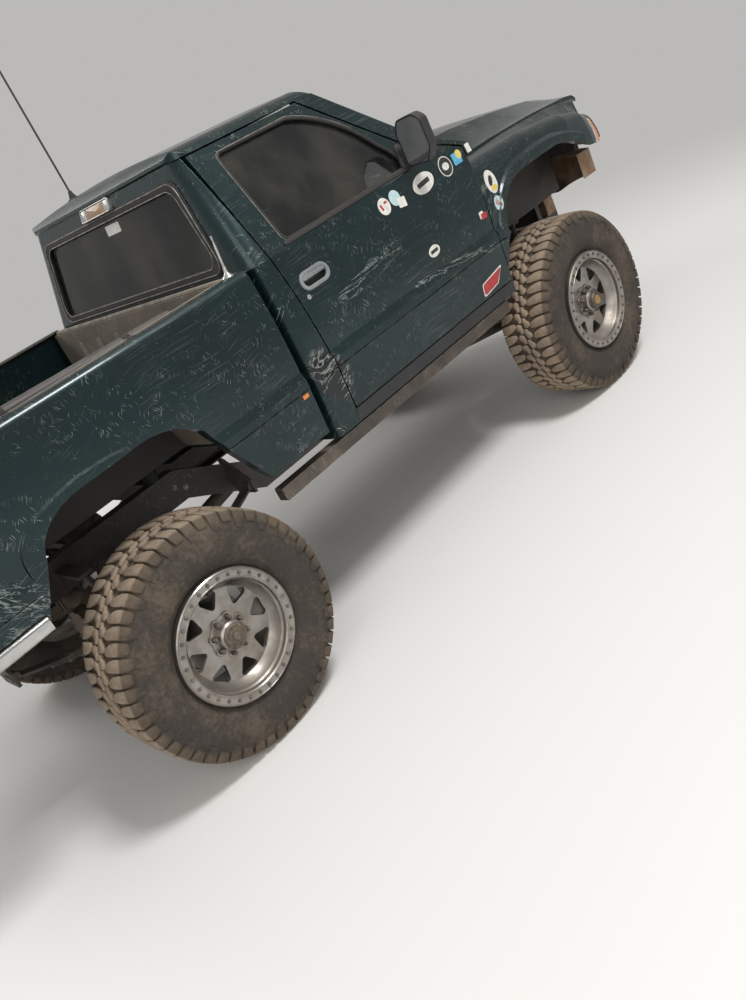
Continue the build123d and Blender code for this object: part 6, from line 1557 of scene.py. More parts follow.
@dataclass
class WheelTrim:
    """Bolts, hub and dial on one wheel, in metres with Z pointing outboard."""

    ring_reach: float = 0.25
    ring_face: float = 0.170
    ring_bolts: int = 32
    boss_face: float = 0.150
    nuts: int = 8
    nut_reach: float = 0.0745
    flange_face: float = 0.102

    def ring(self) -> Form:
        """Bolts of the clamping ring.

        Returns:
            The bolts.
        """
        return Form().take(
            bolt(0.0064, 0.0062), *round_about(self.ring_bolts, self.ring_reach, self.ring_face),
        )

    def ring_lips(self) -> Form:
        """Raised lips inside and outside the clamping ring's bolts.

        Returns:
            Both lips.
        """
        face = self.ring_face
        lip = turned(
            ((0.2335, face - 0.004), (0.2335, face + 0.0015), (0.2365, face + 0.0025), (0.2385, face)), 96,
        )
        outer = turned(
            ((0.2625, face), (0.264, face + 0.002), (0.2665, face + 0.001), (0.2668, face - 0.003)), 96,
        )
        return lip.take(outer)

    def nut_ring(self) -> Form:
        """Lug nuts on the hub's flange.

        Returns:
            The nuts.
        """
        nut = turned(
            ((0.0, 0.030), (0.0045, 0.0295), (0.0085, 0.0255), (0.0100, 0.022), (0.0100, 0.0), (0.0155, 0.0)),
            6,
        )
        return Form().take(nut, *round_about(self.nuts, self.nut_reach, self.flange_face, math.pi / 8))

    def nut_seats(self) -> Form:
        """Raised seats round the nuts."""
        seat = turned(((0.012, 0.003), (0.0185, 0.003), (0.0205, 0.0), (0.0205, -0.004)), 20)
        return Form().take(seat, *round_about(self.nuts, self.nut_reach, self.flange_face, math.pi / 8))

    def drive_hub(self) -> Form:
        """Flange of the rear axle shaft with its bolts.

        Returns:
            The flange.
        """
        face = self.boss_face
        reaches = (0.0, 0.030, 0.033, 0.048, 0.050, 0.050)
        heights = (0.006, 0.006, 0.003, 0.003, 0.001, -0.003)
        form = Form().take(turned([(r, face + h) for r, h in zip(reaches, heights)], 48))
        return form.take(bolt(0.0052, 0.006), *round_about(8, 0.041, face + 0.003))

    def drive_cap(self) -> Form:
        """Bright cap in the middle of the rear hub.

        Returns:
            The cap.
        """
        face = self.boss_face + 0.006
        return turned(
            ((0.0, face + 0.008), (0.012, face + 0.0065), (0.0165, face + 0.003), (0.0175, face - 0.001)), 32,
        )

    def locking_hub(self) -> Form:
        """Dark body of a front locking hub.

        Returns:
            The hub.
        """
        face = self.boss_face
        reaches = (0.0, 0.026, 0.029, 0.040, 0.046, 0.0485, 0.0485)
        heights = (0.014, 0.014, 0.018, 0.018, 0.012, 0.002, -0.003)
        form = turned([(r, face + h) for r, h in zip(reaches, heights)], 40)
        rib = slab((-0.003, 0.0, -0.001), (0.003, 0.0035, 0.011), 0.0008, 1)
        outward = Matrix.Translation((0.0, 0.0455, face))
        return form.take(rib, *[Matrix.Rotation(k * math.tau / 10, 4, "Z") @ outward for k in range(10)])

    def dial(self) -> Form:
        """Turning dial of a front locking hub.

        Returns:
            The dial.
        """
        face = self.boss_face + 0.014
        form = turned(
            ((0.0, face + 0.003), (0.022, face + 0.003), (0.0255, face + 0.0015), (0.026, face)), 32,
        )
        return form.take(slab((-0.018, -0.0035, face + 0.002), (0.018, 0.0035, face + 0.0085), 0.0015, 2))

    def valve_stem(self) -> Form:
        """Valve stem on the dish.

        Returns:
            The stem.
        """
        form = turned(
            ((0.0, 0.034), (0.003, 0.034), (0.0042, 0.031), (0.0042, 0.014), (0.003, 0.013), (0.003, 0.0)),
            12,
        )
        return form.move(frame_at((0.0, 0.208, 0.098), (1, 0, 0), (0.0, -0.25, 1.0)))


@dataclass
class Wheels:
    """Tyres and wheel trim at the four corners."""

    axle_height: float = 0.5
    track_half: float = 0.9

    def _hub(self, axle: Axle, side: Side) -> Matrix:
        """Place of one wheel, with Z pointing outboard.

        Args:
            axle: The axle.
            side: The side.

        Returns:
            The placing matrix.
        """
        return frame_at(
            (axle.value, side.value * self.track_half, self.axle_height), (1, 0, 0), (0, side.value, 0),
        )

    def build(self) -> None:
        """Build and dress all four corners."""
        tread = MudTyre().build()
        trim = WheelTrim()
        for axle in Axle:
            for side in Side:
                place = self._hub(axle, side)
                corner = f"{axle.word}_{side.word}"
                body = f"wheel_{corner}"
                form = Form()
                form.mesh.from_mesh(tread)
                tyre = keep(f"mud_tyre_{corner}", form.move(place), Paintbox.TYRE, body, 50.0)
                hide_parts(f"tyre_{corner}")
                keep(f"ring_bolts_{corner}", trim.ring().move(place), Paintbox.BOLTS, body)
                keep(f"ring_lips_{corner}", trim.ring_lips().move(place), Paintbox.ALLOY, body)
                keep(f"lug_nuts_{corner}", trim.nut_ring().move(place), Paintbox.DARK_ALLOY, body, 25.0)
                keep(f"nut_seats_{corner}", trim.nut_seats().move(place), Paintbox.ALLOY, body)
                keep(f"valve_stem_{corner}", trim.valve_stem().move(place), Paintbox.RUBBER, body)
                if axle is Axle.REAR:
                    keep(f"drive_flange_{corner}", trim.drive_hub().move(place), Paintbox.DARK_ALLOY, body)
                    keep(f"drive_cap_{corner}", trim.drive_cap().move(place), Paintbox.BOLTS, body)
                else:
                    keep(f"locking_hub_{corner}", trim.locking_hub().move(place), Paintbox.DARK_ALLOY, body)
                    keep(f"hub_dial_{corner}", trim.dial().move(place), Paintbox.BRASS, body)
        bpy.data.meshes.remove(tread)


# Doors


BELT_Z = 1.627
SHOULDER_Z = 1.395
ROOF_EDGE_Z = 2.117
SHOULDER_Y = 0.990
BELT_Y = 0.966
ROOF_EDGE_Y = 0.766


def flank(z: float) -> float:
    """Reach of the cab's side from the middle at a height.

    Args:
        z: Height above the floor.

    Returns:
        The reach, in metres.
    """
    if z >= BELT_Z:
        return BELT_Y - (z - BELT_Z) / (ROOF_EDGE_Z - BELT_Z) * (BELT_Y - ROOF_EDGE_Y)
    if z >= SHOULDER_Z:
        return SHOULDER_Y - (z - SHOULDER_Z) / (BELT_Z - SHOULDER_Z) * (SHOULDER_Y - BELT_Y)
    return SHOULDER_Y


@dataclass
class DoorTrim:
    """Seals, handle, mirror and inner panel of the doors, drawn for the left."""

    window_foot: float = 1.650
    window_head: float = 2.069
    window_rear: float = -0.128
    handle_at: tuple[float, float] = (-0.098, 1.470)
    handle_size: tuple[float, float] = (0.176, 0.084)
    mirror_at: Point = (0.735, 1.058, 1.760)
    panel_y: float = 0.886
    mirror_corners: Rows = (
        (-0.078, -0.120), (0.052, -0.126), (0.092, -0.06), (0.090, 0.064), (0.050, 0.094), (-0.052, 0.092),
        (-0.080, 0.04),
    )
    mirror_radii: tuple[float, ...] = (0.02, 0.035, 0.05, 0.04, 0.03, 0.035, 0.04)

    def window(self) -> Corners:
        """Outline of the door window along and up, from its front foot.

        Returns:
            The outline.
        """
        low, high, rear = self.window_foot, self.window_head, self.window_rear
        points = [(0.727, low)]
        corner = 0.032
        turns = [k * math.pi / 10 for k in range(6)]
        points += [(rear + corner - corner * math.sin(t), low + corner - corner * math.cos(t)) for t in turns]
        points += [
            (rear + corner - corner * math.cos(t), high - corner + corner * math.sin(t)) for t in turns
        ]
        points += [(0.305, high)]
        points += arc_points((0.305, high), (0.515, 1.962), (0.653, 1.792), 10)
        points += arc_points((0.653, 1.792), (0.701, 1.724), (0.727, low), 5)[:-1]
        return points

    def _on_flank(self, form: Form, sink: float) -> Form:
        """Lay a form drawn along X and Y, thick in Z, on the door above its belt."""
        return form.map(lambda p: Vector((p.x, flank(p.y) - sink + p.z, p.y)))

    def seal(self) -> Form:
        """Rubber round the window."""
        return tube([(x, flank(z) - 0.007, z) for x, z in self.window()], 0.0085, closed=True)

    def glint_line(self) -> Form:
        """Thin light line outside the seal, behind and over the glass: a painted highlight where the
        weatherstrip catches light.

        Returns:
            The line.
        """
        points = [p for p in self.window() if p[0] < 0.6]
        middle = Vector((0.3, 1.85))
        run = []
        for x, z in points:
            apart = (Vector((x, z)) - middle).normalized() * 0.010
            run.append((x + apart.x, flank(z + apart.y) + 0.0005, z + apart.y))
        return tube(run[1:], 0.0015)

    def belt_strip(self) -> Form:
        """Wiper strip along the foot of the glass.

        Returns:
            The strip.
        """
        return self._on_flank(
            slab((self.window_rear - 0.02, 1.634, 0.0), (0.735, 1.652, 0.010), 0.003), 0.0035,
        )

    def glass_run(self) -> Form:
        """Inner rubber channel of the window."""
        return tube([(x, flank(z) - 0.030, z) for x, z in self.window()], 0.006, closed=True, sides=1)

    def handle_ring(self) -> Form:
        """Grey ring of the outer handle.

        Returns:
            The ring.
        """
        width, height = self.handle_size
        form = rim(stadium(width, height, 10), 0.017, 0.013, 0.004)
        return self._place(form)

    def handle_lever(self) -> Form:
        """Grip that bridges the ring.

        Returns:
            The grip.
        """
        width, _ = self.handle_size
        grip = prism(stadium(width - 0.034, 0.026, 8), 0.016, 0.005, 3)
        return self._place(grip.move(Matrix.Translation((0.0, 0.016, -0.006))))

    def handle_cup(self) -> Form:
        """Dark cup behind the grip.

        Returns:
            The cup.
        """
        width, height = self.handle_size
        cup = prism(stadium(width - 0.03, height - 0.03, 8), 0.002)
        return self._place(cup.move(Matrix.Translation((0.0, 0.0, -0.018))))

    def _place(self, form: Form) -> Form:
        """Set a part of the handle on the door's skin."""
        x, z = self.handle_at
        return form.move(frame_at((x, flank(z) - 0.001, z), (-1, 0, 0), (0, 1, 0.12)))

    def lock(self) -> Form:
        """Key cylinder below the handle.

        Returns:
            The cylinder.
        """
        form = turned(((0.0, 0.004), (0.0075, 0.004), (0.0105, 0.0025), (0.0115, 0.0)), 24)
        form.take(slab((-0.0012, -0.005, 0.0035), (0.0012, 0.005, 0.0045)))
        return form.move(frame_at((-0.175, flank(1.41), 1.41), (1, 0, 0), (0, 1, 0.08)))

    def mirror_shell(self) -> Form:
        """Crowned shell of the mirror's head.

        Returns:
            The shell.
        """
        x, y, z = self.mirror_at
        outline = corner_points(self.mirror_corners, self.mirror_radii)
        form = prism(outline, 0.058, 0.020, 4)
        return form.move(frame_at((x - 0.030, y, z), (0, 1, 0), (1, 0, 0)))

    def mirror_lip(self) -> Form:
        """Edge round the mirror glass.

        Returns:
            The edge.
        """
        x, y, z = self.mirror_at
        outline = corner_points(self.mirror_corners, self.mirror_radii)
        rearward = Matrix(((0, 0, -1, 0), (1, 0, 0, 0), (0, 1, 0, 0), (0, 0, 0, 1)))
        return Form().take(
            rim(outline, 0.009, 0.006, 0.002), Matrix.Translation((x - 0.029, y, z)) @ rearward,
        )

    def mirror_glass(self) -> Form:
        """Mirror glass, facing rearward.

        Returns:
            The glass.
        """
        x, y, z = self.mirror_at
        corners = (
            (-0.070, -0.112), (0.048, -0.118), (0.084, -0.056), (0.082, 0.060), (0.046, 0.086),
            (-0.048, 0.084), (-0.072, 0.036),
        )
        outline = corner_points(corners, (0.02, 0.03, 0.045, 0.035, 0.03, 0.03, 0.035))
        forward = Matrix(((0, 0, 1, 0), (1, 0, 0, 0), (0, 1, 0, 0), (0, 0, 0, 1)))
        return prism(outline, 0.003).move(Matrix.Translation((x - 0.033, y, z)) @ forward)

    def mirror_foot(self) -> Form:
        """Arm and triangular foot of the mirror, on the door's front corner.

        Returns:
            Arm and foot.
        """
        x, _, _ = self.mirror_at
        corners = ((0.062, -0.055), (-0.080, -0.055), (-0.050, 0.02), (0.010, 0.075))
        foot = prism(corner_points(corners, (0.012, 0.014, 0.02, 0.02)), 0.016, 0.006)
        foot.move(frame_at((x, flank(1.70) + 0.001, 1.695), (-1, 0, 0), (0, 1, 0.42)))
        corners = ((-0.030, -0.026), (0.030, -0.026), (0.024, 0.026), (-0.024, 0.026))
        arm = prism(corner_points(corners, (0.01,) * 4), 0.075, 0.006)
        arm.move(frame_at((x, flank(1.67) - 0.01, 1.668), (1, 0, 0), (0, 1, 0.12)))
        return foot.take(arm)

    def inner_panel(self) -> Form:
        """Lining of the door's inner side.

        Returns:
            The lining.
        """
        outline = corner_points(
            [(-0.150, 0.955), (0.960, 0.955), (0.960, 1.600), (-0.150, 1.600)], [0.05] * 4,
        )
        form = prism(outline, 0.010, 0.004)
        return form.map(lambda p: Vector((p.x, self.panel_y - p.z + (1.3 - p.y) * 0.008, p.y)))

    def inner_details(self) -> Form:
        """Pull, crank, lock knob and speaker ring on the lining.

        Returns:
            The parts.
        """
        y = self.panel_y - 0.010
        form = Form()
        speaker = rim(oval(0.19, 0.19, 36), 0.012, 0.008, 0.003)
        form.take(speaker, frame_at((0.66, y, 1.10), (1, 0, 0), (0, -1, 0)))
        crank = turned(((0.0, 0.02), (0.018, 0.018), (0.022, 0.0)), 20)
        crank.take(slab((-0.011, -0.105, 0.012), (0.011, 0.0, 0.020), 0.004))
        knob = turned(((0.0, 0.046), (0.008, 0.044), (0.011, 0.036), (0.009, 0.018)), 16)
        crank.take(knob, Matrix.Translation((0.0, -0.098, 0.0)))
        form.take(crank, frame_at((0.47, y, 1.20), (1, 0, 0), (0, -1, 0)))
        pull = prism(soft_box(0.11, 0.05, 0.018), 0.010, 0.004)
        form.take(pull, frame_at((0.60, y, 1.49), (1, 0, 0), (0, -1, 0)))
        form.take(tube([(-0.12, flank(1.66) - 0.05, 1.60), (-0.12, flank(1.66) - 0.05, 1.64)], 0.005))
        return form

    def build(self) -> None:
        """Build and dress both doors."""
        for side in Side:
            body = f"door_{side.word}"
            place = side.place

            def put(name: str, form: Form, finish: AnyFinish, angle: float = 38.0) -> bpy.types.Object:
                """Keep a form on this door."""
                return keep(f"{name}_{side.word}", Form().take(form, place), finish, body, angle)

            put("window_seal", self.seal(), Paintbox.RUBBER)
            put("window_line", self.glint_line(), Paintbox.GLINT_LINE)
            put("belt_strip", self.belt_strip(), Paintbox.RUBBER)
            put("glass_channel", self.glass_run(), Paintbox.RUBBER)
            put("handle_ring", self.handle_ring(), Paintbox.GREY_PLASTIC)
            put("handle_grip", self.handle_lever(), Paintbox.GREY_PLASTIC)
            put("handle_cup", self.handle_cup(), Paintbox.RUBBER)
            put("door_lock", self.lock(), Paintbox.BRIGHT_TRIM)
            shell = put("mirror_shell", self.mirror_shell(), Paintbox.PLASTIC, 50.0)
            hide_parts(f"mirror_{side.word}")
            put("mirror_foot", self.mirror_foot(), Paintbox.PLASTIC)
            put("mirror_glass", self.mirror_glass(), Paintbox.MIRROR)
            put("mirror_lip", self.mirror_lip(), Paintbox.PLASTIC)
            put("door_lining", self.inner_panel(), Paintbox.CABIN)
            put("door_lining_parts", self.inner_details(), Paintbox.PLASTIC)


# Cab


@dataclass
class CabTrim:
    """Glass seals, roof lamp, wipers, aerial foot and what hangs in the cab."""

    rear_foot: float = 1.670
    rear_head: float = 2.033
    rear_half_foot: float = 0.776
    rear_half_head: float = 0.653

    @staticmethod
    def back(z: float) -> float:
        """Place of the cab's back wall along the truck at a height above the belt."""
        return -0.360 + (z - BELT_Z) * 0.1293

    def _rear_outline(self, grow: float) -> Corners:
        """Outline of the rear window, grown outward.

        Args:
            grow: How far outward.

        Returns:
            The outline.
        """
        low, high = self.rear_foot - grow, self.rear_head + grow
        foot, head = self.rear_half_foot + grow, self.rear_half_head + grow
        return corner_points(
            [(-foot, low), (foot, low), (head, high), (-head, high)], [0.05, 0.05, 0.075, 0.075], 7,
        )

    def _on_back(self, form: Form, sink: float) -> Form:
        """Lay a form drawn across and up, thick in Z, on the cab's back wall."""
        return form.map(lambda p: Vector((self.back(p.y) + sink - p.z, p.x, p.y)))

    def rear_seal(self) -> Form:
        """Wide rubber round the rear window."""
        return self._on_back(rim(self._rear_outline(0.030), 0.042, 0.014, 0.004), 0.006)

    def rear_glint_lines(self) -> Form:
        """Two thin painted highlight lines in the rear window's rubber, where its edges catch light.

        Returns:
            Both lines.
        """
        form = Form()
        for grow, proud in ((0.020, 0.0095), (-0.006, 0.0095)):
            points = [(self.back(z) - proud + 0.001, y, z) for y, z in self._rear_outline(grow)]
            form.take(tube(points, 0.0026, closed=True, sides=1))
        return form

    def roof_lamp(self) -> tuple[Form, Form, Form]:
        """Housing, amber middle and clear ends of the high stop lamp at the roof's rear edge.

        Returns:
            Housing, middle and ends.
        """
        place = frame_at((-0.300, 0.0, 2.086), (0, 1, 0), (-1, 0, 0.32))
        housing = rim(soft_box(0.300, 0.062, 0.012), 0.006, 0.020, 0.003).move(place)
        amber = prism(soft_box(0.186, 0.050, 0.006), 0.017, 0.004).move(place)
        ends = Form()
        for reach in (-0.119, 0.119):
            end = prism(soft_box(0.050, 0.050, 0.006), 0.017, 0.004)
            ends.take(end, place @ Matrix.Translation((reach, 0.0, 0.0)))
        return housing, amber, ends

    def _screen_edge(self, z: float) -> float:
        """Reach of the windscreen from the middle at a height.

        Args:
            z: The height.

        Returns:
            The reach.
        """
        for step in range(90):
            y = 0.89 - step * 0.004
            found = hit("cab_glass", (1.6, y, z), (-1, 0, 0))
            if found and found[0].x > 0.3:
                return y
        return 0.6

    def screen_seal(self) -> Form:
        """Black rubber round the windscreen, found on the glass itself.

        Returns:
            The rubber.
        """
        heights = (1.692, 1.76, 1.86, 1.96, 2.05, 2.098)
        edges = [(self._screen_edge(z) - 0.004, z) for z in heights]
        foot, head = edges[0], edges[-1]
        ring = list(edges)
        ring += [(head[0] * share, head[1]) for share in (0.6, 0.2, -0.2, -0.6)]
        ring += [(-y, z) for y, z in reversed(edges)]
        ring += [(foot[0] * share, foot[1]) for share in (-0.6, -0.2, 0.2, 0.6)]
        points = []
        for y, z in ring:
            found = hit("cab_glass", (1.6, y * 0.995, z), (-1, 0, 0))
            if found:
                points.append((found[0].x + 0.003, y * 0.995, z))
        return tube(points, 0.0095, closed=True)

    def wipers(self) -> Form:
        """Wiper arms and blades, resting at the windscreen's foot.

        Returns:
            Both wipers.
        """
        form = Form()
        for across, reach in ((-0.30, 0.36), (0.36, 0.34)):
            pivot = Vector((0.968, across + 0.30, 1.668))
            ends = []
            for y, z in ((across - 0.05 + reach / 2, 1.712), (across - 0.05 - reach / 2, 1.728)):
                spot, normal = land("cab_glass", (1.6, y, z), (-1, 0, 0))
                ends.append(spot + normal * 0.012)
            middle = (ends[0] + ends[1]) / 2
            elbow = pivot.lerp(middle, 0.5) + Vector((0.012, 0, 0.014))
            form.take(tube([pivot, elbow, middle + Vector((0.006, 0, 0.008))], 0.0065, smooth=True))
            lift = Vector((0.004, 0, 0.004))
            bow = [ends[0] + lift, middle + Vector((0.005, 0, 0.006)), ends[1] + lift]
            form.take(tube(bow, 0.006, smooth=True))
            form.take(tube(ends, 0.0045, sides=1))
            cap = turned(((0.0, 0.022), (0.012, 0.018), (0.015, 0.0)), 18)
            form.take(cap, frame_at(pivot - Vector((0, 0, 0.008)), (1, 0, 0), (0.2, 0, 1)))
        return form

    def aerial_foot(self) -> Form:
        """Rubber boot under the roof whip.

        Returns:
            The boot.
        """
        spot, _ = land("cab_roof", (-0.205, 0.320, 2.6), (0, 0, -1))
        profile = ((0.0, 0.046), (0.009, 0.044), (0.012, 0.03), (0.019, 0.012), (0.032, 0.005), (0.034, 0.0))
        return turned(profile, 28).move(Matrix.Translation(spot - Vector((0, 0, 0.002))))

    def mirror_inside(self) -> Form:
        """Inner mirror on its stalk.

        Returns:
            The mirror.
        """
        spot, normal = land("cab_glass", (1.6, 0.0, 2.02), (-1, 0, 0))
        head = spot + Vector((-0.075, 0.0, -0.060))
        form = prism(soft_box(0.235, 0.068, 0.028), 0.024, 0.010, 3)
        form.move(frame_at(head, (0, 1, 0), (0.98, 0.05, 0.12)))
        stalk = [spot - normal * 0.004, spot + Vector((-0.045, 0, -0.012)), head + Vector((0.008, 0, 0.01))]
        return form.take(tube(stalk, 0.007, smooth=True))

    def charm(self) -> Form:
        """Air freshener leaf that hangs right under the inner mirror.

        Returns:
            The leaf.
        """
        spot, _ = land("cab_glass", (1.6, 0.0, 2.02), (-1, 0, 0))
        x, z = spot.x - 0.07, spot.z - 0.092
        corners = ((0.0, 0.0), (-0.020, -0.045), (-0.012, -0.105), (0.012, -0.105), (0.020, -0.045))
        outline = corner_points(corners, (0.004, 0.012, 0.008, 0.008, 0.012))
        return prism(outline, 0.003, 0.001, 1).move(frame_at((x, 0.004, z), (0, 1, 0), (1, 0, 0)))

    def visors(self) -> Form:
        """Sun visors folded up behind the windscreen's head.

        Returns:
            Both visors.
        """
        pad = prism(soft_box(0.44, 0.15, 0.03), 0.018, 0.008, 3)
        return Form().take(
            pad, *[frame_at((0.395, y, 2.088), (0, 1, 0), (0.10, 0, -1)) for y in (0.33, -0.33)],
        )

    def headlining(self) -> Form:
        """Fabric lining under the roof.

        Returns:
            The lining.
        """
        form = Form()
        bmesh.ops.create_grid(form.mesh, x_segments=14, y_segments=16, size=0.5)

        def rule(p: Vector) -> Vector:
            """Lay the grid under the roof.

            Args:
                p: Point of the flat form.

            Returns:
                Its place under the roof.
            """
            x, y = 0.085 + p.x * 0.66, p.y * 1.34
            found = hit("cab_roof", (x, y, 1.95), (0, 0, 1))
            return Vector((x, y, (found[0].z if found else 2.11) - 0.010))

        form.map(rule)
        bmesh.ops.reverse_faces(form.mesh, faces=form.mesh.faces[:])
        bmesh.ops.solidify(form.mesh, geom=form.mesh.faces[:], thickness=0.004)
        return form

    def grab_handle(self) -> Form:
        """Grab handle on the right front pillar.

        Returns:
            The handle.
        """
        return tube(
            [(0.560, -0.745, 1.935), (0.585, -0.715, 1.900), (0.690, -0.755, 1.775), (0.720, -0.800, 1.745)],
            0.012, smooth=True, sides=3,
        )

    def gear_levers(self) -> Form:
        """Gear and transfer levers with their boots.

        Returns:
            Both levers.
        """
        form = Form()
        bellows = (
            (0.014, 0.11), (0.024, 0.08), (0.032, 0.075), (0.036, 0.045), (0.05, 0.04), (0.056, 0.01),
            (0.07, 0.006), (0.072, 0.0),
        )
        turns = [k * math.pi / 10 for k in range(11)]
        for base, top, knob in (
            ((0.52, 0.055, 1.035), (0.42, 0.04, 1.43), 0.026),
            ((0.40, -0.10, 1.035), (0.36, -0.09, 1.29), 0.021),
        ):
            x, y, z = base
            form.take(tube([base, (x - 0.02, y, z + 0.15), top], 0.009, smooth=True))
            ball = turned([(knob * math.sin(t), -knob * math.cos(t)) for t in turns], 20)
            form.take(ball, Matrix.Translation(top))
            form.take(turned(bellows, 24), Matrix.Translation((x, y, z + 0.004)))
        return form

    def pedals(self) -> Form:
        """Pedals and their arms.

        Returns:
            The pedals.
        """
        form = Form()
        for y, width, x in ((0.56, 0.075, 1.0), (0.43, 0.075, 1.0), (0.27, 0.055, 1.02)):
            pad = prism(soft_box(width, 0.060 if width > 0.06 else 0.14, 0.008), 0.012, 0.003)
            form.take(pad, frame_at((x - 0.03, y, 1.02), (0, 1, 0), (-1, 0, 0.45)))
            form.take(tube([(x, y, 1.02), (x + 0.06, y, 1.15), (x + 0.05, y, 1.335)], 0.008, smooth=True))
        return form

    def dash_parts(self) -> tuple[Form, Form]:
        """Vents, knobs, radio and glove-box line, and the dial faces.

        Returns:
            The parts and the dials.
        """
        form, dials = Form(), Form()

        def face(y: float, z: float) -> Matrix:
            """Place on the dashboard's face."""
            spot, normal = land("dashboard", (0.4, y, z), (1, 0, 0))
            return frame_at(spot - normal * 0.001, (0, 1, 0), normal)

        vent = rim(soft_box(0.13, 0.062, 0.010), 0.007, 0.008, 0.002)
        for k in range(4):
            vent.take(slab((-0.055, -0.019 + k * 0.0125, 0.0), (0.055, -0.0165 + k * 0.0125, 0.006)))
        form.take(vent, *[face(y, 1.528) for y in (-0.66, -0.12, 0.16, 0.68)])
        knob = turned(((0.0, 0.022), (0.013, 0.021), (0.016, 0.016), (0.018, 0.0)), 20)
        form.take(knob, *[face(y, 1.425) for y in (-0.075, 0.0, 0.075)])
        form.take(prism(soft_box(0.19, 0.055, 0.006), 0.006, 0.002), face(0.0, 1.485))
        form.take(rim(soft_box(0.42, 0.12, 0.02), 0.004, 0.003, 0.001), face(-0.42, 1.445))
        form.take(prism(soft_box(0.06, 0.018, 0.006), 0.006, 0.002), face(-0.42, 1.50))
        form.take(rim(soft_box(0.35, 0.125, 0.04), 0.010, 0.010, 0.003), face(0.40, 1.535))
        dials.take(prism(oval(0.085, 0.085, 30), 0.003, 0.001, 1), face(0.33, 1.535), face(0.455, 1.535))
        dials.take(prism(oval(0.042, 0.042, 20), 0.003, 0.001, 1), face(0.265, 1.555), face(0.525, 1.555))
        return form, dials

    def belts(self) -> Form:
        """Shoulder belts from their high anchors to the seat's sides, drawn for the left.

        Returns:
            The belt.
        """
        run = ((-0.205, 0.795, 1.845), (-0.212, 0.812, 1.60), (-0.205, 0.825, 1.30), (-0.195, 0.832, 1.02))
        spine = [Vector(point) for point in run]
        strip = slab((-0.024, -0.0012, -0.41), (0.024, 0.0012, 0.41), 0.0005, 1)
        strip.cut((0, 0, 0.14), (0, 0, 1)).cut((0, 0, -0.14), (0, 0, 1))

        def rule(p: Vector) -> Vector:
            """Bend the webbing along the pillar.

            Args:
                p: Point of the flat form.

            Returns:
                Its place along the pillar.
            """
            share = (0.41 - p.z) / 0.82 * 3
            k = min(int(share), 2)
            spot = spine[k].lerp(spine[k + 1], share - k)
            return Vector((spot.x + p.x, spot.y + p.y, spot.z))

        return strip.map(rule)

    def belt_anchors(self) -> Form:
        """High anchors and reels of the belts, drawn for the left.

        Returns:
            Anchor and reel.
        """
        form = prism(soft_box(0.055, 0.085, 0.02), 0.016, 0.005)
        form.move(frame_at((-0.205, 0.800, 1.865), (1, 0, 0), (0, -1, 0)))
        return form.take(slab((-0.24, 0.80, 0.93), (-0.165, 0.86, 1.03), 0.012, 3))

    def cowl_slats(self) -> Form:
        """Slats of the air inlet in front of the windscreen.

        Returns:
            The slats.
        """
        form = Form()
        for k in range(26):
            y = -0.65 + k * 0.052
            found = hit("cab_floor", (1.045, y, 1.9), (0, 0, -1))
            if found and found[1].z > 0.6 and found[0].z > 1.55:
                spot, normal = found
                slat = slab((-0.024, -0.0085, 0.0), (0.024, 0.0085, 0.0025), 0.001, 1)
                form.take(slat, frame_at(spot - normal * 0.0003, (1, 0, 0), normal))
        return form

    def build(self) -> None:
        """Build and dress the cab."""
        both = (Matrix(), MIRROR)
        keep("rear_window_rubber", self.rear_seal(), Paintbox.RUBBER)
        keep("rear_window_lines", self.rear_glint_lines(), Paintbox.GLINT_LINE)
        housing, amber, ends = self.roof_lamp()
        keep("roof_lamp_housing", housing, Paintbox.BRIGHT_TRIM)
        keep("roof_lamp_amber", amber, Paintbox.ROOF_AMBER)
        keep("roof_lamp_ends", ends, Paintbox.CLEAR_LENS)
        keep("windscreen_rubber", self.screen_seal(), Paintbox.RUBBER)
        keep("wiper_arms", self.wipers(), Paintbox.PLASTIC)
        keep("aerial_boot", self.aerial_foot(), Paintbox.RUBBER)
        keep("inner_mirror", self.mirror_inside(), Paintbox.PLASTIC)
        keep("hanging_leaf", self.charm(), Paintbox.CABIN)
        keep("sun_visors", self.visors(), Paintbox.CABIN)
        keep("head_lining", self.headlining(), Paintbox.CABIN)
        keep("grab_handle", self.grab_handle(), Paintbox.PLASTIC)
        keep("gear_levers", self.gear_levers(), Paintbox.PLASTIC)
        keep("pedals", self.pedals(), Paintbox.RUBBER)
        parts, dials = self.dash_parts()
        keep("dashboard_parts", parts, Paintbox.PLASTIC)
        keep("dashboard_dials", dials, Paintbox.DIAL)
        keep("belt_webbing", Form().take(self.belts(), *both), Paintbox.BELT)
        keep("belt_anchors", Form().take(self.belt_anchors(), *both), Paintbox.PLASTIC)
        keep("cowl_slats", self.cowl_slats(), Paintbox.PLASTIC)


# Seat


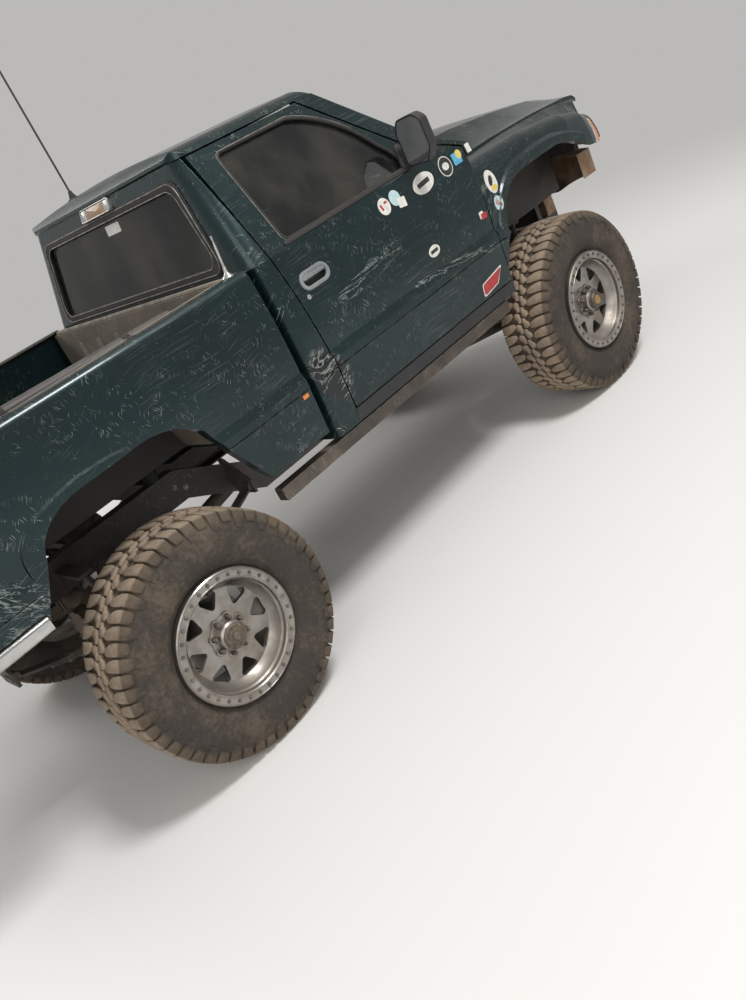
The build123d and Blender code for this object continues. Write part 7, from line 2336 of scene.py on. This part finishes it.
@dataclass
class BenchSeat:
    """Three-place bench: a frame, and padded cushions that replace the seat solid."""

    places: tuple[tuple[float, float], ...] = ((-0.415, 0.532), (0.0, 0.268), (0.415, 0.532))

    @staticmethod
    def cushion(width: float, length: float, thick: float, crown: float, channels: Sequence[float]) -> Form:
        """Crowned pad with pulled-in sides and sewn channels, its middle at the origin.

        Args:
            width: Size along X.
            length: Size along Y.
            thick: Size along Z.
            crown: Rise of its top at the middle.
            channels: Places of the channels along Y.

        Returns:
            The pad.
        """
        form = slab((-width / 2, -length / 2, -thick / 2), (width / 2, length / 2, thick / 2))
        for axis, size in ((0, width), (1, length), (2, thick)):
            parts = max(int(size / 0.04), 3)
            normal = [1.0 if k == axis else 0.0 for k in range(3)]
            for step in range(1, parts):
                form.cut([n * (-size / 2 + size * step / parts) for n in normal], normal)
        for place in channels:
            for apart in (-0.009, 0.0, 0.009):
                form.cut((0, place + apart, 0), (0, 1, 0))

        def rule(p: Vector) -> Vector:
            """Crown the top, round the plan and press the channels in.

            Args:
                p: Point of the plain pad.

            Returns:
                Its place on the padded one.
            """
            u, v, w = p.x / (width / 2), p.y / (length / 2), p.z / (thick / 2)
            pull = 1.0 - 0.05 * w * w
            x, y = p.x * (pull - 0.02 * v ** 4), p.y * (pull - 0.02 * u ** 4)
            z = p.z + (crown * (1 - u * u) * (1 - v * v) if p.z > 0 else 0.0)
            edge = max(abs(u), abs(v))
            if p.z > 0 and edge > 0.8:
                z -= thick * 0.22 * ((edge - 0.8) / 0.2) ** 2
            if p.z > 0 and abs(u) < 0.86:
                for place in channels:
                    z -= 0.011 * max(0.0, 1.0 - abs(p.y - place) / 0.009)
            return Vector((x, y, z))

        return form.map(rule)

    @staticmethod
    def piping(width: float, length: float, thick: float) -> Form:
        """Piping sewn round a pad's upper edge.

        Args:
            width: The pad's size along X.
            length: Its size along Y.
            thick: Its size along Z.

        Returns:
            The piping.
        """
        outline = soft_box(width * 0.965, length * 0.965, min(width, length) * 0.10)
        points = [(x, y, thick * 0.30) for x, y in outline]
        return tube(points, 0.0042, closed=True, sides=1)

    def build(self) -> None:
        """Build and dress the bench."""
        base = slab((-0.235, -0.665, 1.085), (0.335, 0.665, 1.185), 0.012)
        keep("seat_frame", base, Paintbox.CABIN)
        pipes = Form()
        for k, (y, width) in enumerate(self.places):
            squab = frame_at((0.135, y, 1.258), (0, 1, 0), (-0.035, 0, 1))
            back = frame_at((-0.195, y, 1.565), (0, 1, 0), (0.979, 0, 0.205))
            rows = (-0.12, 0.0, 0.12) if width > 0.4 else (-0.08, 0.08)
            pads = (
                ("squab", squab, self.cushion(width, 0.49, 0.165, 0.016, rows)),
                ("backrest", back, self.cushion(width, 0.455, 0.10, 0.014, rows)),
            )
            for word, place, form in pads:
                made = keep(f"seat_{word}_{k}", form.move(place), Paintbox.CLOTH, angle=180.0)
                rounder = made.modifiers.new("crown", "SUBSURF")
                rounder.levels = rounder.render_levels = 1
                if word == "squab" and k == 1:
                    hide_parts("seat")
            pipes.take(self.piping(width, 0.49, 0.165), squab)
            pipes.take(self.piping(width, 0.455, 0.10), back)
        keep("seat_piping", pipes, Paintbox.PIPING)


# Bed


@dataclass
class BedTrim:
    """What lines the load bed and hangs on its rails and tailgate."""

    floor: float = 1.150
    bulkhead: float = -0.435
    rail_top: float = 1.643

    def floor_ribs(self) -> Form:
        """Pressed ribs along the bed floor.

        Returns:
            The ribs.
        """
        form = Form()
        for k in range(-5, 6):
            rib = prism(stadium(1.72, 0.052, 6), 0.007, 0.005, 2)
            form.take(rib, Matrix.Translation((-1.36, k * 0.105, self.floor - 0.0005)))
        return form

    def bulkhead_ribs(self) -> Form:
        """Upright ribs pressed into the bed's front wall.

        Returns:
            The ribs.
        """
        form = Form()
        for k in range(-3, 4):
            rib = prism(stadium(0.33, 0.06, 6), 0.008, 0.005, 2)
            form.take(rib, frame_at((self.bulkhead + 0.0005, k * 0.21, 1.385), (0, 0, 1), (-1, 0, 0)))
        return form

    def bulkhead_lip(self) -> Form:
        """Rolled dusty lip on the bed's front wall."""
        return tube([(-0.418, y, 1.628) for y in (-0.86, -0.4, 0.0, 0.4, 0.86)], 0.0125)

    def pad_bar(self) -> Form:
        """Black padded bar along the right rail, inside the bed.

        Returns:
            The bar.
        """
        start, end = Vector((-0.72, -0.862, 1.626)), Vector((-2.285, -0.852, 1.660))
        way = (end - start).normalized()
        form = Form()
        nose = [(0.0, 0.0), (0.010, 0.001), (0.019, 0.006), (0.0245, 0.016), (0.0255, 0.03)]
        creases = [(0.0255 + 0.0006 * (k % 2), 0.03 + (1.535 / 24) * k) for k in range(1, 25)]
        shape = turned(nose + creases + [(0.019, 1.5637), (0.0, 1.5657)], 20)
        return form.take(shape, frame_at(start, (0, 0, 1), way))

    def pad_straps(self) -> Form:
        """Webbing straps that tie the padded bar to the rail.

        Returns:
            The straps.
        """
        form = Form()
        for x in (-0.95, -1.5, -2.1):
            z = 1.626 + (x + 0.72) / (-1.565) * 0.034
            band = turned(
                ((0.0272, -0.014), (0.0288, -0.014), (0.0288, 0.014), (0.0272, 0.014)), 20, closed=True,
            )
            form.take(band, frame_at((x, -0.862 + (x + 0.72) / -1.565 * 0.01, z), (0, 0, 1), (1, 0, 0)))
            low, high = (x - 0.014, -0.936, self.rail_top - 0.001), (x + 0.014, -0.868, self.rail_top + 0.002)
            form.take(slab(low, high, 0.0008, 1))
        return form

    def rail_strip(self) -> tuple[Form, Form]:
        """Bare pale strip, part blue, on top of the right rail near its rear end.

        Returns:
            The pale part and the blue part.
        """
        low, high = self.rail_top - 0.0008, self.rail_top + 0.0018
        pale = slab((-2.33, -0.932, low), (-2.05, -0.912, high), 0.0008, 1)
        blue = slab((-2.05, -0.932, low), (-1.95, -0.912, high), 0.0008, 1)
        return pale, blue

    def rail_edges(self) -> Form:
        """Dusty folded inner edge of the rails, drawn for the left."""
        return tube([(x, 0.899, 1.6385) for x in (-0.42, -1.4, -2.36)], 0.0065)

    def stub_mast(self) -> Form:
        """Short bright mast on a foot at the bed's front right corner.

        Returns:
            The mast.
        """
        spot, _ = land("bed_sides", (-0.45, -0.925, 2.0), (0, 0, -1))
        profile = (
            (0.0, 0.172), (0.0035, 0.170), (0.0045, 0.160), (0.0035, 0.150), (0.0038, 0.14), (0.0055, 0.13),
            (0.0055, 0.045), (0.0075, 0.043), (0.009, 0.02), (0.016, 0.012), (0.024, 0.006), (0.026, 0.0),
        )
        return turned(profile, 20).move(frame_at(spot - Vector((0, 0, 0.001)), (1, 0, 0), (0.10, 0.0, 1.0)))

    def tailgate_handle(self) -> tuple[Form, Form]:
        """Bezel and paddle of the tailgate latch.

        Returns:
            Bezel and paddle.
        """
        spot, normal = land("tailgate", (-3.0, 0.0, 1.47), (1, 0, 0))
        place = frame_at(spot - normal * 0.001, (0, -1, 0), normal)
        bezel = rim(soft_box(0.205, 0.098, 0.018), 0.016, 0.010, 0.003).move(place)
        paddle = prism(soft_box(0.165, 0.040, 0.010), 0.012, 0.004)
        paddle.move(place @ Matrix.Translation((0.0, 0.012, 0.0)))
        return bezel, paddle

    def tailgate_ribs(self) -> Form:
        """Stiffening ribs on the tailgate's inner face.

        Returns:
            The ribs.
        """
        form = Form()
        for k in (-2, -1, 0, 1, 2):
            rib = prism(stadium(0.36, 0.07, 6), 0.008, 0.005, 2)
            form.take(rib, frame_at((-2.3255, k * 0.32, 1.37), (0, 0, 1), (1, 0, 0)))
        return form

    def lamp_parts(self) -> tuple[Form, Form]:
        """Clear reversing lens and screws of the rear lamps, drawn for the left.

        Returns:
            Lens and screws.
        """
        place = frame_at((-2.3845, 0.935, 1.375), (0, -1, 0), (-1, 0, 0))
        clear = prism(soft_box(0.066, 0.082, 0.006), 0.003, 0.001).move(place)
        ends = [frame_at((-2.3845, 0.960, z), (0, 1, 0), (-1, 0, 0)) for z in (1.545, 1.255)]
        return clear, Form().take(bolt(0.0045, 0.003), *ends)

    def bumper_parts(self) -> tuple[Form, Form]:
        """Step pads and bolts of the rear bumper.

        Returns:
            Pads and bolts.
        """
        pads, bolts = Form(), Form()
        pad = prism(soft_box(0.095, 0.52, 0.02), 0.006, 0.002)
        for k in range(9):
            tread = prism(soft_box(0.075, 0.012, 0.004), 0.009, 0.002, 1)
            pad.take(tread, Matrix.Translation((0.0, -0.2 + k * 0.05, 0.0)))
        pads.take(pad, *[Matrix.Translation((-2.445, y, 1.0845)) for y in (0.58, -0.58)])
        for y in (-0.78, -0.42, 0.42, 0.78):
            spot, normal = land("rear_bumper", (-3.0, y, 1.0), (1, 0, 0))
            bolts.take(bolt(0.011, 0.009), frame_at(spot, (0, 1, 0), normal))
        return pads, bolts

    def side_reflector(self) -> Form:
        """Small orange reflector at the lower front corner of the right bed side.

        Returns:
            The reflector.
        """
        spot, _ = land("bed_sides", (-0.432, -1.5, 1.076), (0, 1, 0))
        form = slab((-0.017, -0.009, 0.0), (0.017, 0.009, 0.004), 0.0015, 2)
        return form.move(frame_at(spot, (1, 0, 0), (0, -1, 0)))

    def build(self) -> None:
        """Build and dress the bed."""
        keep("side_reflector", self.side_reflector(), Paintbox.AMBER_LENS)
        keep("bed_floor_ribs", self.floor_ribs(), Paintbox.BED_PAINT)
        keep("bulkhead_ribs", self.bulkhead_ribs(), Paintbox.BED_PAINT)
        keep("bulkhead_lip", self.bulkhead_lip(), Paintbox.DUSTY_RAIL)
        keep("padded_rail_bar", self.pad_bar(), Paintbox.PAD)
        keep("bar_straps", self.pad_straps(), Paintbox.BELT)
        pale, blue = self.rail_strip()
        keep("rail_strip_pale", pale, Paintbox.WHITE_STICKER)
        keep("rail_strip_blue", blue, Paintbox.BLUE_STICKER)
        keep("rail_edges", Form().take(self.rail_edges(), Matrix(), MIRROR), Paintbox.DUSTY_RAIL)
        keep("stub_mast", self.stub_mast(), Paintbox.BRIGHT_TRIM)
        bezel, paddle = self.tailgate_handle()
        keep("tailgate_bezel", bezel, Paintbox.PLASTIC, "tailgate")
        keep("tailgate_paddle", paddle, Paintbox.PLASTIC, "tailgate")
        keep("tailgate_ribs", self.tailgate_ribs(), Paintbox.PAINT, "tailgate")
        clear, screws = self.lamp_parts()
        keep("reversing_lenses", Form().take(clear, Matrix(), MIRROR), Paintbox.CLEAR_LENS)
        keep("lamp_screws", Form().take(screws, Matrix(), MIRROR), Paintbox.BOLTS)
        pads, bolts = self.bumper_parts()
        keep("step_pads", pads, Paintbox.RUBBER)
        keep("bumper_bolts", bolts, Paintbox.BOLTS)


# Front


@dataclass
class FrontTrim:
    """Marker lenses, lamp bezels and mesh of the front."""

    lamp_y: float = 0.721
    lamp_z: float = 1.293

    def marker_shell(self, low: float, high: float) -> Form:
        """Thin lens over part of the corner marker.

        Args:
            low: Rear end of the part along the truck.
            high: Its front end.

        Returns:
            The lens, drawn for the left.
        """
        form = Form()
        bmesh.ops.create_grid(form.mesh, x_segments=5, y_segments=9, size=0.5)

        def rule(p: Vector) -> Vector:
            """Lay a point of the grid on the marker.

            Args:
                p: Point of the flat form.

            Returns:
                Its place on the marker.
            """
            x, z = low + (p.x + 0.5) * (high - low), 1.203 + (p.y + 0.5) * 0.138
            start, way = (x, 1.5, z), (0, -1, 0)
            found = hit("front_lamps", start, way) or hit("front_fenders", start, way)
            return Vector((x, (found[0].y if found else 0.95) + 0.0022, z))

        form.map(rule)
        bmesh.ops.solidify(form.mesh, geom=form.mesh.faces[:], thickness=0.0026)
        bmesh.ops.recalc_face_normals(form.mesh, faces=form.mesh.faces[:])
        return form

    def lamp_bezel(self) -> Form:
        """Bezel and round reflector rims of one headlamp, drawn for the left.

        Returns:
            The bezel.
        """
        spot, _ = land("front_lamps", (3.0, self.lamp_y, self.lamp_z), (-1, 0, 0))
        place = frame_at((spot.x - 0.001, self.lamp_y, self.lamp_z), (0, 1, 0), (1, 0, 0))
        form = rim(soft_box(0.268, 0.112, 0.018), 0.006, 0.006, 0.002)
        ring = rim(oval(0.092, 0.092, 32), 0.0035, 0.0028, 0.001)
        form.take(ring, Matrix.Translation((-0.065, 0.0, 0.0)), Matrix.Translation((0.065, 0.0, 0.0)))
        return form.move(place)

    def mesh(self) -> Form:
        """Dark mesh behind the grille's bars.

        Returns:
            The mesh.
        """
        form = Form()
        bar = slab((-0.0016, -0.0016, -0.064), (0.0016, 0.0016, 0.064))
        form.take(bar, *[Matrix.Translation((2.3095, -0.56 + k * 0.014, 1.425)) for k in range(81)])
        row = slab((-0.0016, -0.56, -0.0016), (0.0016, 0.56, 0.0016))
        form.take(row, *[Matrix.Translation((2.3065, 0.0, 1.366 + k * 0.014)) for k in range(9)])
        return form

    def build(self) -> None:
        """Build and dress the front."""
        both = (Matrix(), MIRROR)
        keep("marker_amber", Form().take(self.marker_shell(2.276, 2.312), *both), Paintbox.AMBER_LENS)
        keep("marker_pale", Form().take(self.marker_shell(2.258, 2.2755), *both), Paintbox.CLEAR_LENS)
        keep("headlamp_bezels", Form().take(self.lamp_bezel(), *both), Paintbox.BRIGHT_TRIM)
        keep("grille_mesh", self.mesh(), Paintbox.PLASTIC)


# Under the truck


@dataclass
class UnderTrim:
    """Bolts and clamps on the axles, springs, frame and sliders."""

    def diff_bolts(self) -> Form:
        """Cover bolts of both differentials.

        Returns:
            The bolts.
        """
        form = Form()
        for middle, way, node in (((-3.0, 0.0, 0.5), 1, "rear_axle"), ((3.0, 0.25, 0.5), -1, "front_axle")):
            for k in range(12):
                turn = k * math.tau / 12 + 0.13
                y, z = middle[1] + 0.116 * math.cos(turn), middle[2] + 0.116 * math.sin(turn)
                spot, normal = land(node, (middle[0], y, z), (way, 0, 0))
                form.take(bolt(0.0075, 0.007), frame_at(spot - normal * 0.0005, (0, 1, 0), normal))
        return form

    def spring_clamps(self) -> Form:
        """U-bolts and plates that hold the rear springs to the axle, drawn for the left.

        Returns:
            The clamps.
        """
        form = Form()
        bow = (
            (0.525, 0.690), (0.522, 0.52), (0.528, 0.452), (0.56, 0.437), (0.592, 0.452), (0.598, 0.52),
            (0.595, 0.690),
        )
        for x in (-1.345, -1.225):
            run = [(x, y, z) for y, z in bow]
            form.take(tube(run, 0.0075, smooth=True))
            for y in (0.525, 0.595):
                form.take(bolt(0.011, 0.010), Matrix.Translation((x, y, 0.670)))
        form.take(slab((-1.375, 0.508, 0.6545), (-1.195, 0.612, 0.670), 0.004))
        for x in (-1.72, -0.85):
            spot, _ = land("leaf_springs", (x, 0.56, 1.0), (0, 0, -1))
            low, _ = land("leaf_springs", (x, 0.56, 0.3), (0, 0, 1))
            form.take(slab((x - 0.014, 0.522, low.z - 0.004), (x + 0.014, 0.598, spot.z + 0.004), 0.003))
        return form

    def slider_caps(self) -> Form:
        """Welded end caps of the rock sliders, drawn for the left.

        Returns:
            The caps.
        """
        form = Form()
        for x, way in ((-0.706, -1), (1.060, 1)):
            cap = prism(soft_box(0.056, 0.056, 0.004), 0.005, 0.002, 1)
            form.take(cap, frame_at((x, 0.895, 0.764), (0, 1, 0), (way, 0, 0)))
        return form

    def frame_bolts(self) -> Form:
        """Bolt heads along the frame rails' outer sides, drawn for the left.

        Returns:
            The bolts.
        """
        form = Form()
        for x in (-2.1, -1.75, -0.9, -0.45, 0.1, 0.6, 1.0, 2.05):
            found = hit("ladder_frame", (x, 0.9, 0.93), (0, -1, 0))
            if found and found[0].y < 0.6:
                spot, normal = found
                for apart in (Vector((0, 0, 0)), Vector((0.05, 0, -0.03))):
                    form.take(bolt(0.010, 0.009), frame_at(spot - normal * 0.0005 + apart, (1, 0, 0), normal))
        return form

    def build(self) -> None:
        """Build and dress the underside."""
        both = (Matrix(), MIRROR)
        keep("diff_cover_bolts", self.diff_bolts(), Paintbox.BOLTS)
        keep("spring_clamps", Form().take(self.spring_clamps(), *both), Paintbox.BLACK_STEEL)
        keep("slider_caps", Form().take(self.slider_caps(), *both), Paintbox.SCRAPED_STEEL)
        keep("frame_bolts", Form().take(self.frame_bolts(), *both), Paintbox.BOLTS)


# Stickers


class Shape(Enum):
    """Outline of a bare sticker."""

    ROUND = "round"
    OBLONG = "oblong"
    SLANTED = "slanted"


@dataclass(frozen=True)
class Sticker:
    """One bare sticker on the right side, by its middle along and up."""

    name: str
    x: float
    z: float
    width: float
    height: float
    finish: Finish
    shape: Shape = Shape.ROUND
    turn: float = 0.0
    layer: int = 0


@dataclass
class Stickers:
    """Bare coloured stickers on the right side and the rear window."""

    skins: tuple[tuple[str, str], ...] = (
        ("door_right", "door_right"), ("front_fenders", "chassis"), ("cab_roof", "chassis"), ("hood", "hood"),
    )

    def _skin(self, x: float, z: float) -> tuple[Vector, str]:
        """Point on the right side's skin and the body that carries it.

        Args:
            x: Place along the truck.
            z: Height.

        Returns:
            The point and the body.
        """
        best, body = Vector((x, 0.0, z)), "chassis"
        for node, carrier in self.skins:
            found = hit(node, (x, -1.5, z), (0, 1, 0))
            if found and found[0].y < best.y:
                best, body = found[0], carrier
        return best, body

    def on_side(self, sticker: Sticker) -> bpy.types.Object:
        """Lay one sticker on the right side.

        Args:
            sticker: The sticker.

        Returns:
            Its piece.
        """
        if sticker.shape is Shape.ROUND:
            outline = oval(sticker.width, sticker.height, 36)
        elif sticker.shape is Shape.OBLONG:
            outline = soft_box(sticker.width, sticker.height, 0.004)
        else:
            half_x, half_y = sticker.width / 2, sticker.height / 2
            shares = ((-1.0, -1.0), (0.35, -0.6), (1.0, 1.0), (0.2, 0.75), (-0.9, 0.4))
            corners = [(half_x * u, half_y * v) for u, v in shares]
            outline = corner_points(corners, (0.012, 0.01, 0.004, 0.02, 0.015))
        form = prism(outline, 0.0009 + 0.0004 * sticker.layer)
        for share in (-0.33, 0.0, 0.33):
            form.cut((sticker.width * share, 0, 0), (1, 0, 0)).cut((0, sticker.height * share, 0), (0, 1, 0))
        turn = Matrix.Rotation(sticker.turn, 4, "Z")
        _, body = self._skin(sticker.x, sticker.z)

        def rule(p: Vector) -> Vector:
            """Lay a point on the skin.

            Args:
                p: Point of the flat form.

            Returns:
                Its place on the skin.
            """
            flat = turn @ Vector((p.x, p.y, 0.0))
            spot, _ = self._skin(sticker.x + flat.x, sticker.z + flat.y)
            return Vector((spot.x, spot.y - p.z + 0.0003, spot.z))

        return keep(sticker.name, form.map(rule), sticker.finish, body)

    def build(self) -> None:
        """Build and dress all stickers."""
        white, black = Paintbox.WHITE_STICKER, Paintbox.BLACK_STICKER
        red, blue = Paintbox.RED_STICKER, Paintbox.BLUE_STICKER
        pale, yellow, faded = Paintbox.PALE_STICKER, Paintbox.YELLOW_STICKER, Paintbox.FADED_STICKER
        for sticker in (
            Sticker("sticker_white_disc", 0.454, 1.553, 0.078, 0.078, white),
            Sticker("sticker_red_dash_a", 0.437, 1.553, 0.012, 0.030, red, Shape.OBLONG, 0.2, 1),
            Sticker("sticker_red_dash_b", 0.470, 1.567, 0.022, 0.010, red, Shape.OBLONG, 0.1, 1),
            Sticker("sticker_pale_disc", 0.538, 1.560, 0.072, 0.072, pale),
            Sticker("sticker_pale_tab", 0.568, 1.528, 0.052, 0.046, white, Shape.OBLONG, -0.15, 1),
            Sticker("sticker_large_oval", 0.752, 1.547, 0.160, 0.092, white, turn=0.1),
            Sticker("sticker_oval_band", 0.752, 1.548, 0.094, 0.022, black, Shape.OBLONG, 0.1, 1),
            Sticker("sticker_ring_disc", 0.942, 1.556, 0.098, 0.098, white),
            Sticker("sticker_ring_inner", 0.942, 1.556, 0.088, 0.088, black, layer=1),
            Sticker("sticker_ring_mark", 0.942, 1.556, 0.050, 0.036, white, layer=2),
            Sticker("sticker_blue_tab", 1.042, 1.560, 0.066, 0.056, blue, Shape.OBLONG),
            Sticker("sticker_yellow_disc", 1.063, 1.573, 0.044, 0.044, yellow, layer=1),
            Sticker("sticker_white_tab", 1.1505, 1.574, 0.035, 0.044, white, Shape.OBLONG),
            Sticker("sticker_upright_oval", 1.208, 1.372, 0.088, 0.120, white),
            Sticker("sticker_upright_mark", 1.206, 1.378, 0.030, 0.056, black, turn=-0.5, layer=1),
            Sticker("sticker_upright_foot", 1.214, 1.338, 0.050, 0.030, yellow, layer=1),
            Sticker("sticker_small_round", 1.196, 1.262, 0.062, 0.076, pale),
            Sticker("sticker_small_inner", 1.196, 1.262, 0.040, 0.050, faded, layer=1),
            Sticker("sticker_small_oval", 0.628, 1.255, 0.084, 0.054, white, turn=0.05),
            Sticker("sticker_small_band", 0.628, 1.255, 0.056, 0.016, black, Shape.OBLONG, 0.05, 1),
            Sticker("sticker_label_white", 1.040, 1.262, 0.034, 0.034, white, Shape.OBLONG),
            Sticker("sticker_label_red", 1.058, 1.252, 0.046, 0.030, red, Shape.OBLONG, layer=1),
            Sticker("sticker_long_rim", 0.945, 0.948, 0.200, 0.094, white, Shape.SLANTED, 0.0),
            Sticker("sticker_long_red", 0.944, 0.947, 0.184, 0.078, red, Shape.SLANTED, 0.0, 1),
        ):
            self.on_side(sticker)
        bar = prism(soft_box(0.135, 0.046, 0.006), 0.0012)
        spot, normal = land("cab_glass", (-1.0, -0.05, 1.985), (1, 0, 0))
        keep("sticker_window_bar", bar.move(frame_at(spot - normal * 0.0003, (0, -1, 0), normal)), white)


# Studio


@dataclass
class Studio:
    """Floor, soft light and the camera of the reference view."""

    focal_px: float = 878.4
    image_height_px: float = 1000.0
    place: Point = (-2.4948, -3.9406, 2.0454)
    right: Point = (0.6166, -0.6659, -0.4199)
    down: Point = (-0.5739, -0.0151, -0.8188)
    ahead: Point = (0.5389, 0.7459, -0.3914)
    pale: Colour = (0.8, 0.79, 0.77)
    shown: float = 0.62
    lit: float = 0.55

    def camera(self) -> None:
        """Make the camera from the fitted pose."""
        data = bpy.data.cameras.new("reference view")
        data.sensor_fit = "VERTICAL"
        data.sensor_height = 36.0
        data.lens = self.focal_px / self.image_height_px * data.sensor_height
        data.clip_end = 200.0
        turn = Matrix((self.right, [-v for v in self.down], [-v for v in self.ahead])).transposed().to_4x4()
        made = bpy.data.objects.new("reference view", data)
        made.matrix_world = Matrix.Translation(self.place) @ turn
        bpy.context.scene.collection.objects.link(made)
        bpy.context.scene.camera = made

    def floor(self) -> None:
        """Make the pale floor, which fades into the backdrop away from the truck."""
        form = Form()
        bmesh.ops.create_circle(form.mesh, cap_ends=True, segments=96, radius=30.0)
        made = keep("studio_floor", form, None, None)
        material = bpy.data.materials.new("pale floor")
        material.use_nodes = True
        tree = Tree(material.node_tree)
        shader = tree.node("ShaderNodeBsdfPrincipled")
        output = tree.node("ShaderNodeOutputMaterial")
        shader.inputs["Base Color"].default_value = (*self.pale, 1.0)
        shader.inputs["Roughness"].default_value = 0.9
        away = tree.node("ShaderNodeVectorMath", operation="LENGTH")
        tree.feed(away.inputs[0], tree.where())
        backdrop = tree.node("ShaderNodeEmission")
        backdrop.inputs["Color"].default_value = (*self.pale, 1.0)
        backdrop.inputs["Strength"].default_value = self.shown
        far = tree.node("ShaderNodeMixShader")
        tree.feed(far.inputs[0], tree.span(away.outputs["Value"], 4.5, 9.0))
        tree.feed(far.inputs[1], shader.outputs[0])
        tree.feed(far.inputs[2], backdrop.outputs[0])
        tree.feed(output.inputs["Surface"], far.outputs[0])
        made.data.materials.append(material)

    def lights(self) -> None:
        """Make the world's even light and three soft lamps."""
        world = bpy.data.worlds.new("studio")
        bpy.context.scene.world = world
        world.use_nodes = True
        tree = Tree(world.node_tree)
        background = tree.node("ShaderNodeBackground")
        output = tree.node("ShaderNodeOutputWorld")
        tree.feed(output.inputs["Surface"], background.outputs[0])
        rays = tree.node("ShaderNodeLightPath")
        seen = tree.most(
            rays.outputs["Is Camera Ray"], rays.outputs["Is Glossy Ray"], rays.outputs["Is Transmission Ray"],
        )
        tree.feed(background.inputs["Color"], self.pale)
        tree.feed(background.inputs["Strength"], tree.blend(seen, self.lit, self.shown))
        for name, at, aim, size, power in (
            ("key", (1.0, -4.5, 7.5), (0.2, -0.4, 0.8), 2.2, 430.0),
            ("fill", (-5.0, -5.0, 4.0), (0.0, 0.0, 1.0), 5.0, 140.0),
            ("rim", (-3.0, 6.0, 6.0), (0.0, 0.0, 1.2), 4.0, 220.0),
        ):
            data = bpy.data.lights.new(name, "AREA")
            data.shape = "DISK"
            data.size = size
            data.energy = power
            made = bpy.data.objects.new(name, data)
            made.location = at
            made.rotation_euler = (Vector(aim) - Vector(at)).to_track_quat("-Z", "Y").to_euler()
            bpy.context.scene.collection.objects.link(made)
        bpy.context.scene.view_settings.view_transform = "Standard"


def main() -> None:
    """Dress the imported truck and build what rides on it."""
    GROUPS["settled dust"] = build_dust_group()
    GROUPS["edge wear"] = build_edge_group()
    GROUPS["trail scratches"] = build_scratch_group()
    GROUPS["scraped patch"] = build_scuff_group()
    GROUPS["shaded side"] = build_shaded_side_group()
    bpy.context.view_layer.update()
    studio = Studio()
    studio.camera()
    studio.lights()
    studio.floor()
    by_slot = {
        "paint": Paintbox.PAINT, "glass": Paintbox.GLASS, "black_steel": Paintbox.BLACK_STEEL,
        "cast_metal": Paintbox.CAST, "rusty_steel": Paintbox.RUSTY, "chrome": Paintbox.CHROME,
        "rubber": Paintbox.RUBBER, "black_plastic": Paintbox.PLASTIC, "seat_cloth": Paintbox.CLOTH,
        "lamp": Paintbox.RED_LENS, "tyre": Paintbox.RUBBER, "machined_alloy": Paintbox.ALLOY,
    }
    own = {
        "bed_tub": Paintbox.BED_PAINT, "front_lamps": Paintbox.CLEAR_LENS,
        "rock_sliders": Paintbox.SCRAPED_STEEL, "dashboard": Paintbox.CABIN,
        "engine_bay": Paintbox.BLACK_STEEL, "cab_floor": Paintbox.CABIN,
    }
    for entry in frame["record"]["subparts"]:
        node = entry["node"]
        dress(frame["nodes"][node], own.get(node, by_slot[entry["material_slot"]]))
        log.info("dressed %s", node)
    assemblies = (
        Wheels(), DoorTrim(), CabTrim(), BenchSeat(), BedTrim(), FrontTrim(), UnderTrim(), Stickers(),
    )
    for assembly in assemblies:
        assembly.build()


if __name__ == "__main__":
    main()
